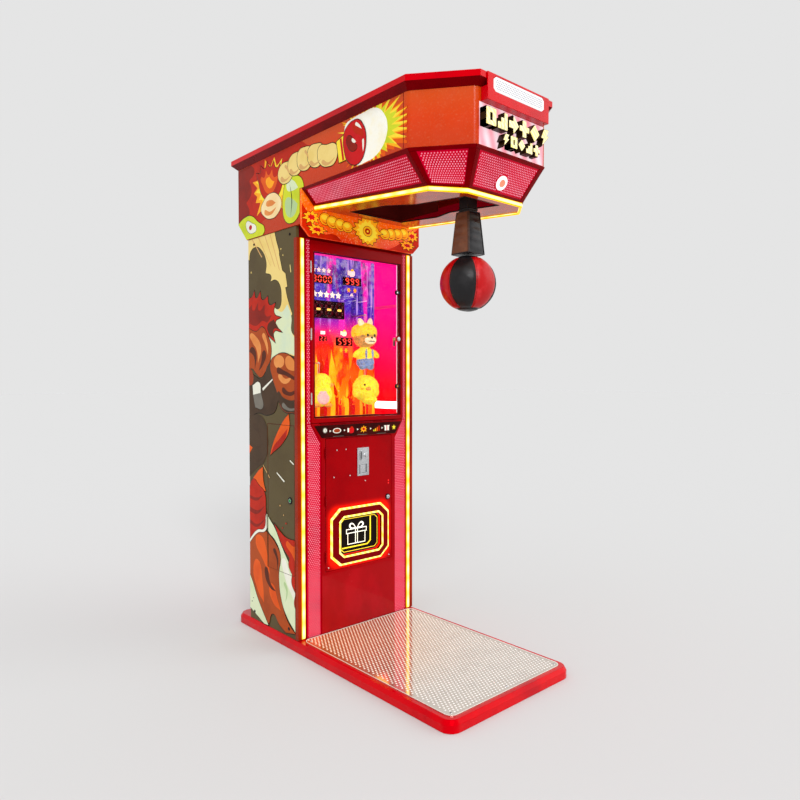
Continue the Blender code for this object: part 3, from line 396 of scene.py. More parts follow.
def flat_ink(name, code, other=None, glow=0.0):
    """Printed ink of an illustration."""
    return coated(f"ink_{name}", shade(code), shade(other or code), 0.35, 0.1, (9.0, 0.7), (500.0, 0.04), glow=glow)


# ======================================================================
# shapes
# ======================================================================
def publish(data, name, finishes, body, replaces=(), smooth=38.0, outward=True):
    """Turn a bmesh into a finished piece that rides on a body."""
    if outward:
        bmesh.ops.recalc_face_normals(data, faces=data.faces)
    mesh = bpy.data.meshes.new(name)
    data.to_mesh(mesh)
    data.free()
    for finish in finishes if isinstance(finishes, (list, tuple)) else [finishes]:
        mesh.materials.append(finish)
    piece = bpy.data.objects.new(name, mesh)
    bpy.context.scene.collection.objects.link(piece)
    if smooth:
        mesh.shade_smooth()
        mesh.set_sharp_from_angle(angle=math.radians(smooth))
        if len(mesh.polygons) < 3000:
            piece.modifiers.new("even_shading", "WEIGHTED_NORMAL").keep_sharp = True
    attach(piece, body)
    if replaces:
        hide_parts(*replaces)
    return piece


def dress(finish, *nodes):
    """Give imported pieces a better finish."""
    for name in nodes:
        for slot in NODES[name].material_slots:
            slot.material = finish


def merged(node):
    """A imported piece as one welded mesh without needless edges."""
    data = bmesh.new()
    data.from_mesh(NODES[node].data)
    bmesh.ops.remove_doubles(data, verts=data.verts, dist=0.00002)
    bmesh.ops.dissolve_limit(data, angle_limit=math.radians(0.5), verts=data.verts, edges=data.edges)
    for face in data.faces:
        face.material_index = 0
    return data


def soften(data, width, segments=2, sharper=25.0, only=lambda edge: True):
    """Round the sharp edges of a mesh."""
    edges = [e for e in data.edges if e.is_manifold and e.calc_face_angle(0.0) > math.radians(sharper) and only(e)]
    bmesh.ops.bevel(data, geom=edges, offset=width, offset_type="OFFSET", segments=segments, profile=0.5,
        affect="EDGES", clamp_overlap=True, material=-1)


def refined(node, finish, width=0.001, segments=2, name=None, only=lambda edge: True):
    """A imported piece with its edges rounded, standing in its own place."""
    data = merged(node)
    if width:
        soften(data, width, segments, only=only)
    return publish(data, name or f"{node}_finished", finish, NODES[node]["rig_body"], (node,))


def block(data, low, high, width=0.0, material=0, segments=2):
    """Add a box with rounded edges to a mesh."""
    size = Vector(high) - Vector(low)
    where = Matrix.Translation((Vector(low) + Vector(high)) / 2) @ Matrix.Diagonal((*size, 1.0))
    made = bmesh.ops.create_cube(data, size=1.0, matrix=where)["verts"]
    faces = {f for v in made for f in v.link_faces}
    for face in faces:
        face.material_index = material
    if width:
        bmesh.ops.bevel(data, geom=list({e for f in faces for e in f.edges}), offset=width, segments=segments,
            profile=0.5, affect="EDGES", material=-1)
    return data


def facing(point, direction):
    """A matrix that stands a shape made along +Z on a point, looking along a direction."""
    turn = Vector(direction).normalized().to_track_quat("Z", "Y")
    return Matrix.Translation(point) @ turn.to_matrix().to_4x4()


def rod(data, start, end, radius, top=None, segments=24, material=0):
    """Add a round bar or cone between two points."""
    start, end = Vector(start), Vector(end)
    where = facing((start + end) / 2, end - start)
    made = bmesh.ops.create_cone(data, cap_ends=True, segments=segments, radius1=radius,
        radius2=radius if top is None else top, depth=(end - start).length, matrix=where)["verts"]
    for face in {f for v in made for f in v.link_faces}:
        face.material_index = material
    return data


def turned(data, profile, point, direction, segments=24, material=0):
    """Add a turned shape: a profile of (radius, height) spun about a direction."""
    rim = [data.verts.new((max(radius, 0.00002), 0.0, height)) for radius, height in profile]
    edges = [data.edges.new(pair) for pair in zip(rim, rim[1:])]
    before = set(data.faces)
    bmesh.ops.spin(data, geom=rim + edges, cent=(0, 0, 0), axis=(0, 0, 1), angle=2 * math.pi, steps=segments,
        use_merge=True)
    faces = [f for f in data.faces if f not in before]
    verts = list({v for f in faces for v in f.verts})
    bmesh.ops.remove_doubles(data, verts=verts, dist=0.00006)
    faces = [f for f in data.faces if f not in before]
    verts = list({v for f in faces for v in f.verts})
    bmesh.ops.transform(data, matrix=facing(point, direction), verts=verts)
    for face in faces:
        face.material_index = material
    return data


def screw(data, point, direction, radius=0.0045, material=0):
    """Add a domed screw head with a socket."""
    profile = [(0.0, radius * 0.15), (radius * 0.42, radius * 0.15), (radius * 0.45, radius * 0.62),
        (radius * 0.8, radius * 0.45), (radius, 0.0), (radius, -radius * 0.2), (0.0, -radius * 0.2)]
    return turned(data, profile, point, direction, 12, material)


def tube(points, radius, closed=False, bevel_steps=3):
    """A round tube along a smooth line, as a bmesh."""
    curve = bpy.data.curves.new("line", "CURVE")
    curve.dimensions = "3D"
    curve.bevel_depth = radius
    curve.bevel_resolution = bevel_steps
    curve.use_fill_caps = True
    curve.resolution_u = 8
    spline = curve.splines.new("BEZIER")
    spline.bezier_points.add(len(points) - 1)
    for knot, point in zip(spline.bezier_points, points):
        knot.co = point
        knot.handle_left_type = knot.handle_right_type = "AUTO"
    spline.use_cyclic_u = closed
    return meshed(curve)


def meshed(curve):
    """A curve's surface as a welded bmesh."""
    holder = bpy.data.objects.new("curve", curve)
    bpy.context.scene.collection.objects.link(holder)
    bpy.context.view_layer.update()
    mesh = bpy.data.meshes.new_from_object(holder.evaluated_get(bpy.context.evaluated_depsgraph_get()))
    bpy.data.objects.remove(holder, do_unlink=True)
    data = bmesh.new()
    data.from_mesh(mesh)
    bpy.data.meshes.remove(mesh)
    bmesh.ops.remove_doubles(data, verts=data.verts, dist=0.00001)
    return data


def joined(parts):
    """Several bmeshes as one."""
    whole = bmesh.new()
    for part in parts:
        mesh = bpy.data.meshes.new("part")
        part.to_mesh(mesh)
        part.free()
        whole.from_mesh(mesh)
        bpy.data.meshes.remove(mesh)
    return whole


# ---- flat printed shapes ----
def flat_outline(knots, grow=0.0):
    """A filled flat shape. A knot of two numbers is smooth; a third number makes it a sharp corner."""
    curve = bpy.data.curves.new("shape", "CURVE")
    curve.dimensions = "2D"
    curve.fill_mode = "BOTH"
    curve.resolution_u = 5
    curve.offset = grow
    spline = curve.splines.new("BEZIER")
    spline.bezier_points.add(len(knots) - 1)
    for knot, (u, v, *sharp) in zip(spline.bezier_points, knots):
        knot.co = (u, v, 0.0)
        knot.handle_left_type = knot.handle_right_type = "VECTOR" if sharp else "AUTO"
    spline.use_cyclic_u = True
    return meshed(curve)


class Print:
    """Flat shapes laid over each other on a board, each a hair above the one before."""
    LIFT = 0.00004

    def __init__(self, origin, across, up, outward):
        self.frame = Matrix([(*row, 0.0) for row in zip(across, up, outward)] + [(0, 0, 0, 1)])
        self.frame.translation = origin
        self.outward = Vector(outward)
        self.parts, self.layer = [], 0

    def add(self, knots, material, line=0.0, line_material=0):
        """Lay one shape, with an inked line round it if asked."""
        for grow, index in ([(line, line_material)] if line else []) + [(0.0, material)]:
            self.layer += 1
            part = flat_outline(knots, grow)
            for vert in part.verts:
                vert.co.z = self.LIFT * self.layer
            for face in part.faces:
                face.material_index = index
            self.parts.append(part)

    def done(self, clips=()):
        """All shapes in place, cut to the board by planes of (point, outward normal)."""
        data = joined(self.parts)
        bmesh.ops.transform(data, matrix=self.frame, verts=data.verts)
        bmesh.ops.reverse_faces(data, faces=[f for f in data.faces if f.normal.dot(self.outward) < 0])
        for point, normal in clips:
            sliced(data, point, normal, clear_outer=True)
        return data


def thick(piece, depth=0.00014):
    """Give a printed layer its film thickness."""
    film = piece.modifiers.new("film", "SOLIDIFY")
    film.thickness, film.offset = depth, -1.0
    return piece


def print_piece(data, name, inks, body):
    """A printed film as a piece, its faces already looking outwards."""
    return thick(publish(data, name, inks, body, smooth=None, outward=False))


def star(cx, cz, outer, inner, points, turn=90.0, squash=1.0):
    """Knots of a pointed star."""
    knots = []
    for step in range(points * 2):
        angle = math.radians(turn + 180.0 * step / points)
        reach = outer if step % 2 == 0 else inner
        knots.append((cx + reach * math.cos(angle), cz + reach * squash * math.sin(angle), 1))
    return knots


def oval(cx, cz, half_u, half_v, steps=10):
    """Knots of an ellipse."""
    turns = [2 * math.pi * s / steps for s in range(steps)]
    return [(cx + half_u * math.cos(a), cz + half_v * math.sin(a)) for a in turns]


def quad(low_u, high_u, low_v, high_v):
    """Knots of a rectangle."""
    return [(low_u, low_v, 1), (high_u, low_v, 1), (high_u, high_v, 1), (low_u, high_v, 1)]


def burst(cx, cz, outer_u, outer_v, depth, points, seed):
    """Knots of a spiky flash with uneven points."""
    chance = random.Random(seed)
    knots = []
    for step in range(points * 2):
        angle = math.pi * step / points
        reach = 1.0 + chance.uniform(-0.16, 0.16) if step % 2 == 0 else depth + chance.uniform(-0.05, 0.05)
        knots.append((cx + outer_u * reach * math.cos(angle), cz + outer_v * reach * math.sin(angle), 1))
    return knots


def glove_shape(cx, cz, size, flip=1.0, lean=0.0):
    """Knots of a boxing glove seen from the side, knuckles to the +u side, and its cuff."""
    fist = [(-0.42, -0.3), (-0.3, -0.46), (0.1, -0.5), (0.46, -0.36), (0.56, 0.02), (0.42, 0.36), (0.08, 0.46),
        (-0.14, 0.4), (-0.2, 0.26), (-0.4, 0.3)]
    thumb = [(-0.16, 0.44), (0.02, 0.56), (0.3, 0.5), (0.34, 0.36), (0.12, 0.3), (-0.12, 0.3)]
    cuff = [(-0.74, -0.34, 1), (-0.44, -0.3, 1), (-0.42, 0.3, 1), (-0.74, 0.34, 1)]
    turn, slant = math.cos(lean), math.sin(lean)
    return [[(cx + flip * size * (u * turn - v * slant), cz + size * (u * slant + v * turn), *rest) for u, v,
        *rest in shape] for shape in (fist, thumb, cuff)]


# ---- fields of small raised studs ----
def inside(point, outline, margin):
    """Whether a point is inside a convex outline by a margin."""
    for (u, v), (x, y) in zip(outline, outline[1:] + outline[:1]):
        side = Vector((x - u, y - v))
        offset = Vector((point[0] - u, point[1] - v))
        if (side.x * offset.y - side.y * offset.x) / side.length < margin:
            return False
    return True


def studs(outlines, pitch, radius, height, frame_of, sides=6, taper=0.7, margin=None):
    """A field of small studs in staggered rows that fills convex outlines, on a plane."""
    lines = []
    margin = radius * 1.5 if margin is None else margin
    for outline in outlines:
        low = [min(p[i] for p in outline) for i in (0, 1)]
        high = [max(p[i] for p in outline) for i in (0, 1)]
        middle = [(a + b) / 2 for a, b in zip(low, high)]
        rise = pitch * math.sqrt(3) / 2
        rows, columns = int((high[1] - low[1]) / rise / 2) + 1, int((high[0] - low[0]) / pitch / 2) + 1
        for row in range(-rows, rows + 1):
            line = bmesh.new()
            for column in range(-columns, columns + 1):
                point = (middle[0] + pitch * (column + 0.5 * (row % 2)), middle[1] + rise * row)
                if inside(point, outline, margin):
                    where = Matrix.Translation((*point, height / 2))
                    bmesh.ops.create_cone(line, cap_ends=True, segments=sides, radius1=radius,
                        radius2=radius * taper, depth=height, matrix=where)
            lines.append(line)
    data = joined(lines)
    bmesh.ops.transform(data, matrix=frame_of, verts=data.verts)
    return data


def board_frame(origin, across, up):
    """A matrix from a board's own u, v and height to the machine."""
    across, up = Vector(across).normalized(), Vector(up).normalized()
    outward = across.cross(up).normalized()
    made = Matrix([(*row, 0.0) for row in zip(across, up, outward)] + [(0, 0, 0, 1)])
    made.translation = Vector(origin)
    return made


# ======================================================================
# base
# ======================================================================
def rounded_plate(low, high, radius, bottom, top, segments=6):
    """A flat plate with round corners, as a bmesh."""
    data = bmesh.new()
    bmesh.ops.create_grid(data, x_segments=1, y_segments=1, size=0.5)
    bmesh.ops.transform(data, verts=data.verts, matrix=Matrix.Translation(((low[0] + high[0]) / 2,
        (low[1] + high[1]) / 2, bottom)) @ Matrix.Diagonal((high[0] - low[0], high[1] - low[1], 1.0, 1.0)))
    bmesh.ops.bevel(data, geom=data.verts[:], offset=radius, segments=segments, profile=0.5, affect="VERTICES",
        material=-1)
    grown = bmesh.ops.extrude_face_region(data, geom=data.faces[:])["geom"]
    bmesh.ops.translate(data, verts=[g for g in grown if isinstance(g, bmesh.types.BMVert)],
        vec=(0, 0, top - bottom))
    return data


@remembered
def tread_finish(name, colour, warm, metallic, roughness, spill):
    """Pale clear-coated metal that mirrors the lights, with a painted warm pool of lamp light near the column's foot.
    """
    material, tree, shader = blank_material(name)
    _, x, y, _ = place_of(tree)
    made = put(tree, "ShaderNodeGroup", {"Colour": colour, "Worn Colour": tuple(c * 0.85 for c in colour[:3])
        + (1.0,), "Cloud Scale": 14.0, "Cloud Amount": 0.5, "Roughness": roughness, "Smudge": 0.05,
        "Grain Scale": 120.0}, node_tree=group("worn_finish"))
    # painted light: near the column's foot the deck is tinted warm and glows orange, standing in for the light
    # strips' spill
    beside = spread(tree, calc(tree, "MULTIPLY", x, -1.0), -0.3, 0.33, 0.25, 1.0)
    near = calc(tree, "MULTIPLY", spread(tree, y, -0.62, 0.2), beside)
    settle(shader, {"Base Color": blend_colour(tree, near, made.outputs["Colour"], warm),
        "Emission Color": blend_colour(tree, near, shade("#000000"), shade("#ff9a2c")),
        "Emission Strength": spill, "Roughness": made.outputs["Roughness"], "Metallic": metallic})
    bump(tree, shader, made.outputs["Height"], 0.03)
    return material


def build_base():
    """The pressed tray, the deck with its studs and border, and the corner screws."""
    refined("base_platform", red_gloss(), 0.0022, 3)
    low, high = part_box("tread_plate")
    deck = rounded_plate(low, high, 0.032, low.z, high.z)
    publish(deck, "tread_deck", tread_finish("tread_deck", tint("tread"), shade("#dc9c60"), 0.8, 0.08, 0.13),
        "cabinet", ("tread_plate",))
    sizes = bpy.context.scene.punch_sizes
    border = 0.009
    field = [(low.x + border, low.y + border), (high.x - border, low.y + border), (high.x - border, high.y),
        (low.x + border, high.y)]
    dots = studs([field], sizes.stud_pitch, sizes.stud_pitch * 0.27, 0.0012,
        Matrix.Translation((0, 0, high.z - 0.0001)), 6, 0.6)
    publish(dots, "tread_studs", tread_finish("tread_stud", shade("#fbf7f2"), shade("#fff0d8"), 0.0, 0.3, 0.14),
        "cabinet", smooth=30)
    rim = rounded_plate((low.x + 0.001, low.y + 0.001), (high.x - 0.001, high.y - 0.001), 0.031, high.z - 0.0002,
        high.z + 0.0009)
    top = [f for f in rim.faces if f.normal.z > 0.9]
    bmesh.ops.inset_region(rim, faces=top, thickness=0.004)
    inner = [f for f in rim.faces if f.normal.z > 0.9 and len(f.verts) > 4]
    bmesh.ops.translate(rim, verts=list({v for f in inner for v in f.verts}), vec=(0, 0, -0.0014))
    publish(rim, "tread_border", coated("tread_edge", shade("#f7f3ee"), shade("#e3dcd2"), 0.3, 0.1), "cabinet")
    heads = bmesh.new()
    for x, y in ((-0.305, -0.7), (0.305, -0.7), (-0.305, 0.165), (0.305, 0.165), (0, -0.7)):
        screw(heads, (x, y, high.z + 0.0003), UP, 0.0045)
    publish(heads, "tread_screws", steel(), "cabinet")
    feet = bmesh.new()
    for x in (-0.29, 0.29):
        for y in (-0.66, 0.0, 0.66):
            turned(feet, [(0.0, 0.0), (0.02, 0.0), (0.022, 0.003), (0.018, 0.01), (0.006, 0.012), (0.006, 0.0405),
                (0.0, 0.0405)], (x, y, 0.0), UP, 20)
    publish(feet, "levelling_feet", black(), "cabinet")


# ======================================================================
# column
# ======================================================================
SIDE_ART = (
    # (ink, ink line width, knots of (distance from front to back, height))
    ("cream", 0.003, [(640, 1910, 1), (393, 1910, 1), (376, 1861, 1), (350, 1800), (352, 1795, 1), (325, 1717, 1),
        (298, 1700, 1), (283, 1640, 1), (300, 1637, 1), (284, 1590), (243, 1513, 1), (262, 1500, 1), (260, 1450),
        (205, 1400, 1), (205, 1320, 1), (311, 1338), (442, 1313), (470, 1390), (400, 1460), (430, 1530, 1),
        (405, 1560), (372, 1545), (344, 1552), (331, 1600), (345, 1655), (385, 1682), (425, 1678, 1), (418, 1700),
        (469, 1722, 1), (462, 1770), (510, 1838), (570, 1857), (615, 1835), (622, 1800, 1), (640, 1810, 1)]),
    ("pale", 0.0, [(400, 1545), (330, 1530), (283, 1560, 1), (250, 1500), (252, 1440), (205, 1390, 1),
        (205, 1325, 1), (311, 1342), (440, 1318), (462, 1390), (395, 1460)]),
    ("sand", 0.0, [(600, 1900, 1), (592, 1900, 1), (500, 1800, 1), (508, 1800, 1)]),
    ("sand", 0.0, [(540, 1900, 1), (533, 1900, 1), (420, 1745, 1), (430, 1755, 1)]),
    ("sand", 0.0, [(480, 1900, 1), (474, 1900, 1), (385, 1740, 1), (392, 1745, 1)]),
    ("sand", 0.0, [(430, 1895, 1), (425, 1895, 1), (345, 1720, 1), (352, 1725, 1)]),
    ("cream", 0.0, oval(0.335, 1.815, 0.004, 0.004, 6)), ("cream", 0.0, oval(0.318, 1.785, 0.003, 0.004, 6)),
    ("cream", 0.0, [(262, 1735, 1), (257, 1735, 1), (250, 1700, 1), (256, 1700, 1)]),
    ("cream", 0.0, oval(0.605, 1.74, 0.004, 0.005, 6)),
    # rising flame behind the glove
    ("flame", 0.0035, [(640, 1615, 1), (600, 1622), (575, 1648, 1), (560, 1612), (520, 1640, 1), (505, 1600),
        (452, 1612, 1), (440, 1572), (385, 1575, 1), (396, 1530), (340, 1505, 1), (385, 1485), (335, 1440, 1),
        (400, 1440), (390, 1395, 1), (450, 1430), (500, 1475), (560, 1455), (640, 1475, 1)]),
    ("ember", 0.0, [(640, 1560, 1), (600, 1585, 1), (590, 1555), (540, 1592, 1), (535, 1552), (480, 1575, 1),
        (475, 1525), (420, 1520, 1), (455, 1490), (500, 1500), (560, 1480), (640, 1500, 1)]),
    ("dusk", 0.0, [(400, 1500, 1), (352, 1452, 1), (402, 1452), (396, 1410, 1), (452, 1445), (455, 1475)]),
    # curling tongue of flame under it
    ("clay", 0.003, [(640, 1475, 1), (560, 1452), (500, 1470), (452, 1425), (425, 1380), (430, 1320), (475, 1262),
        (520, 1232), (560, 1250), (600, 1275), (640, 1270, 1)]),
    ("peach", 0.0, [(620, 1440), (565, 1430), (515, 1370), (545, 1300, 1), (555, 1360), (600, 1405)]),
    ("peach", 0.0, [(500, 1440), (455, 1390), (452, 1335, 1), (475, 1385)]),
    ("dusk", 0.0, [(600, 1380), (560, 1345), (575, 1270, 1), (582, 1330), (632, 1360, 1)]),
    ("dusk", 0.0, [(470, 1345), (500, 1290), (540, 1262, 1), (515, 1305), (492, 1360)]),
    # shoulder, strap and the big glove
    ("umber", 0.003, [(640, 1275, 1), (565, 1235), (505, 1225), (442, 1295), (400, 1300), (380, 1090), (450, 1055),
        (560, 1060), (640, 1020, 1)]),
    ("rust", 0.0, [(640, 1280, 1), (600, 1262), (596, 1205), (640, 1190, 1)]),
    ("ash", 0.002, [(597, 1193, 1), (532, 1207), (515, 1150), (501, 1089), (572, 1087, 1), (590, 1140)]),
    ("linen", 0.0, [(597, 1193, 1), (532, 1207), (522, 1158, 1), (592, 1148, 1)]),
    ("linen", 0.0, [(505, 1180, 1), (400, 1232, 1), (400, 1226, 1), (500, 1168, 1)]),
    ("clay", 0.0035, [(430, 1300), (381, 1332), (300, 1340), (240, 1318), (195, 1295, 1), (195, 1060, 1),
        (240, 1072), (290, 1071), (345, 1100), (372, 1160), (410, 1225)]),
    ("peach", 0.0, [(395, 1318), (330, 1328), (310, 1300), (350, 1275), (395, 1290)]),
    ("peach", 0.0, [(290, 1325), (230, 1305), (215, 1270), (250, 1262), (300, 1290)]),
    ("peach", 0.0, [(360, 1245), (300, 1225), (240, 1238, 1), (285, 1205), (345, 1215)]),
    ("dusk", 0.0, [(375, 1268), (310, 1262), (205, 1225, 1), (205, 1212, 1), (300, 1240)]),
    ("dusk", 0.0, [(330, 1180), (270, 1165), (205, 1180, 1), (205, 1165, 1), (270, 1148)]),
    ("umber", 0.0, [(368, 1165), (320, 1140), (250, 1128), (195, 1140, 1), (195, 1060, 1), (240, 1074), (290, 1073),
        (343, 1102)]),
    ("ash", 0.0, [(330, 1110), (270, 1092), (205, 1098, 1), (205, 1088, 1), (280, 1082)]),
    # smoke and folds lower down
    ("smoke", 0.0, [(640, 1030, 1), (545, 1055), (480, 1020), (455, 950), (462, 880), (500, 820, 1), (545, 800),
        (640, 740, 1)]),
    ("umber", 0.0, [(600, 1000), (540, 960), (520, 880, 1), (530, 965), (590, 1012)]),
    ("umber", 0.0, [(625, 930, 1), (560, 900), (490, 930, 1), (555, 888), (628, 918, 1)]),
    ("umber", 0.0, [(610, 860, 1), (550, 835), (480, 870, 1), (548, 823), (612, 850, 1)]),
    ("orange", 0.0, [(640, 905, 1), (600, 890, 1), (622, 868), (640, 850, 1)]),
    ("orange", 0.0025, [(275, 1066, 1), (268, 1010), (300, 955), (435, 868, 1), (415, 915), (361, 990), (312, 1040)]),
    ("flame", 0.0, [(285, 1000, 1), (300, 957), (430, 872, 1), (405, 910), (345, 955)]),
    ("linen", 0.0, [(377, 792, 1), (310, 757, 1), (318, 752, 1), (381, 788, 1)]),
    ("linen", 0.0, [(264, 859, 1), (232, 843, 1), (238, 839, 1), (268, 854, 1)]),
    ("sand", 0.0, [(500, 815, 1), (440, 760, 1), (444, 757, 1), (503, 811, 1)]),
    # red sweep and its tongues
    ("orange", 0.0025, [(608, 700), (555, 775), (504, 805, 1), (500, 740), (478, 690, 1), (540, 700)]),
    ("flame", 0.003, [(640, 670, 1), (600, 735), (575, 735, 1), (540, 712), (490, 685), (478, 600), (468, 520),
        (500, 490), (560, 475), (640, 410, 1)]),
    ("ember", 0.0, [(640, 655, 1), (560, 650), (500, 672, 1), (560, 635), (640, 640, 1)]),
    ("ember", 0.0, [(640, 600, 1), (560, 588), (485, 620, 1), (560, 570), (640, 575, 1)]),
    ("ember", 0.0, [(640, 540, 1), (570, 520), (480, 560, 1), (565, 505), (640, 520, 1)]),
    ("clay", 0.003, [(640, 415, 1), (560, 480), (490, 500), (430, 480), (390, 455), (352, 410), (366, 320),
        (340, 190), (285, 110), (225, 75, 1), (306, 60, 1), (360, 80), (421, 118), (455, 60, 1), (520, 85),
        (600, 140), (640, 240, 1)]),
    ("orange", 0.0, [(575, 450), (520, 470), (470, 400), (445, 300, 1), (500, 350)]),
    ("orange", 0.0, [(600, 300), (560, 350), (510, 240), (500, 150, 1), (560, 200)]),
    ("orange", 0.0, [(450, 240), (420, 260), (380, 200), (350, 150, 1), (415, 170)]),
    ("dusk", 0.0, [(480, 330), (440, 260), (390, 230, 1), (440, 235), (490, 290)]),
    ("dusk", 0.0, [(410, 430), (370, 390), (375, 330, 1), (385, 385)]),
    ("linen", 0.0025, [(640, 428, 1), (560, 492), (490, 514), (478, 580, 1), (470, 520), (485, 500), (555, 480),
        (640, 413, 1)]),
    ("mint", 0.003, [(470, 585, 1), (440, 560), (400, 530), (340, 455), (275, 385), (205, 315, 1), (205, 60, 1),
        (230, 85), (290, 130), (336, 190), (362, 310), (347, 412), (392, 470), (450, 500), (468, 520)]),
    ("linen", 0.0, [(330, 400), (270, 340), (215, 290, 1), (215, 210, 1), (270, 260), (320, 330)]),
    ("leaf", 0.0, [(320, 290), (300, 250), (310, 200, 1), (290, 240), (296, 280)]),
    ("flame", 0.0025, [(402, 548, 1), (350, 520), (300, 500), (205, 500, 1), (205, 180, 1), (232, 200),
        (222, 260, 1), (255, 300), (250, 340, 1), (280, 380), (270, 410, 1), (330, 455)]),
    ("orange", 0.0, [(300, 480), (240, 470), (205, 480, 1), (205, 380, 1), (250, 430)]),
    ("mint", 0.003, [(640, 270, 1), (606, 230), (560, 160), (460, 52, 1), (500, 50, 1), (640, 100, 1)]),
    ("sand", 0.0, oval(0.35, 0.64, 0.004, 0.004, 6)), ("sand", 0.0, oval(0.32, 0.6, 0.003, 0.004, 6)),
    ("flame", 0.0, oval(0.3, 0.565, 0.005, 0.004, 6)), ("flame", 0.0, oval(0.33, 0.54, 0.004, 0.004, 6)),
)
INKS = (("line", "#17100d", None), ("cream", "#f2d684", "#e8c86c"), ("pale", "#dfe8bd", "#cfe0c8"),
    ("sand", "#d8a868", None), ("flame", "#c02204", "#a01802"), ("ember", "#8e1c0a", "#6d1407"),
    ("dusk", "#5a2410", "#48200e"), ("clay", "#b04a14", "#963c0c"), ("peach", "#e89650", "#dc7c34"),
    ("umber", "#4a3523", "#3a2819"), ("rust", "#9c3d1b", None), ("ash", "#7d776c", "#6b665d"),
    ("linen", "#f3f1e2", "#e2e4cf"), ("smoke", "#4c3826", "#40301f"), ("orange", "#e85c10", "#d44806"),
    ("mint", "#dfeac4", "#cde0ae"), ("leaf", "#b4cf95", None), ("gold", "#ffb41e", "#ff9310"),
    ("yellow", "#ffe23c", "#ffcf20"), ("white", "#fffdf2", "#fff4cf"), ("crimson", "#cc1418", "#a80d14"),
    ("lime", "#d3dc2e", "#b9c922"), ("skin", "#fbe3ae", "#f3cf8e"), ("brown", "#a8531a", "#8c4212"),)
INK_INDEX = {name: index for index, (name, _, _) in enumerate(INKS)}


def inks():
    """Every printing ink, in the order that the printed shapes count them."""
    return [flat_ink(*ink) for ink in INKS]


def printed(board, shapes):
    """Lay a list of (ink, line width, knots) on a board; whole numbers are millimetres."""
    for ink, line, knots in shapes:
        if isinstance(knots[0][0], int):
            knots = [(u / 1000, v / 1000, *corner) for u, v, *corner in knots]
        board.add(knots, INK_INDEX[ink], line)


def side_finish():
    """Olive-brown printed laminate."""
    return coated("side_laminate", tint("side"), shade("#4a3920"), 0.34, 0.14, (2.5, 0.6), (420.0, 0.05),
        specular=0.25)


def sliced(data, point, normal, **settings):
    """Cut every face of a mesh along a plane."""
    bmesh.ops.bisect_plane(data, geom=[*data.verts, *data.edges, *data.faces], plane_co=point, plane_no=normal,
        **settings)


def square_to(index, value, sign=1):
    """A plane square to one axis, as a point of it and its normal."""
    point, normal = Vector(), Vector()
    point[index], normal[index] = value, sign
    return point, normal


def cut_out(data, low, high, gap, axes):
    """Split a print along a door's outline: what lies on the door, and what lies round it."""
    for index in axes:
        for value, sign in ((low[index], -1), (high[index], 1)):
            for shift in (0.0, gap):
                sliced(data, *square_to(index, value + sign * shift, sign))

    def within(face, grow):
        middle = face.calc_center_median()
        return all(low[i] - grow < middle[i] < high[i] + grow for i in axes)
    door = data.copy()
    bmesh.ops.delete(door, geom=[f for f in door.faces if not within(f, 0.0)], context="FACES")
    bmesh.ops.delete(data, geom=[f for f in data.faces if within(f, gap)], context="FACES")
    return door, data


def strip_off(data, low, high):
    """Remove what a print has between two corners, seen from the side."""
    for index in (1, 2):
        for value in (low[index], high[index]):
            sliced(data, *square_to(index, value))
    gone = [f for f in data.faces if all(low[i] < f.calc_center_median()[i] < high[i] for i in (1, 2))]
    bmesh.ops.delete(data, geom=gone, context="FACES")


def build_column():
    """The printed sides, the service door, the corner posts, the back and its fittings."""
    low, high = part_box("side_panel_left")
    for node in ("side_panel_left", "side_panel_right", "side_service_door"):
        refined(node, side_finish(), 0.0007, 1)
    for name, x, out in (("left", low.x, LEFT), ("right", -low.x, RIGHT)):
        board = Print(Vector((x, 0, 0)) + out * 0.0001, (0, 1, 0), (0, 0, 1), out)
        printed(board, SIDE_ART)
        data = board.done([((0, high.y - 0.0008, 0), BACK), ((0, low.y + 0.0168, 0), FRONT),
            ((0, 0, high.z - 0.001), UP), ((0, 0, low.z + 0.001), -UP)])
        if name == "left":
            door_low, door_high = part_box("side_service_door")
            on_door, data = cut_out(data, door_low, door_high, 0.002, (1, 2))
            for sheet, start, end in ((on_door, -0.003, 0.001), (data, -0.001, 0.006)):
                strip_off(sheet, (0, door_high.y + start, door_low.z - 0.001),
                    (0, door_high.y + end, door_high.z + 0.001))
            print_piece(on_door, "service_door_print", inks(), "service_door")
        print_piece(data, f"side_print_{name}", inks(), "cabinet")
    frame_edge = bmesh.new()
    door_low, door_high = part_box("side_service_door")
    x = door_low.x
    for a, b in (((x - 0.0006, door_low.y - 0.002, door_low.z - 0.002), (x + 0.003, door_low.y - 0.0006,
        door_high.z + 0.002)), ((x - 0.0006, door_high.y + 0.0006, door_low.z - 0.002),
        (x + 0.003, door_high.y + 0.002, door_high.z + 0.002)), ((x - 0.0006, door_low.y, door_high.z + 0.0006),
        (x + 0.003, door_high.y, door_high.z + 0.002)), ((x - 0.0006, door_low.y, door_low.z - 0.002),
        (x + 0.003, door_high.y, door_low.z - 0.0006))):
        block(frame_edge, a, b)
    publish(frame_edge, "service_door_seal", coated("seal_red", shade("#6a1410"), shade("#4a0d0a"), 0.5), "cabinet")
    for name, side in (("left", -1), ("right", 1)):
        post = bmesh.new()
        edges = sorted((side * 0.3295, side * 0.347))
        block(post, (edges[0], low.y - 0.0075, 0.0505), (edges[1], low.y, 1.849), 0.0012)
        edges = sorted((side * 0.3461, side * 0.3472))
        block(post, (edges[0], low.y - 0.007, 0.0505), (edges[1], low.y + 0.0165, 1.849), 0.0004)
        publish(post, f"corner_post_{name}", coated("post_red", shade("#a02a0c"), shade("#6f140a"), 0.28, 0.15,
            (3.0, 0.7), coat=0.05), "cabinet")
    build_side_hardware(low, high)
    build_back()


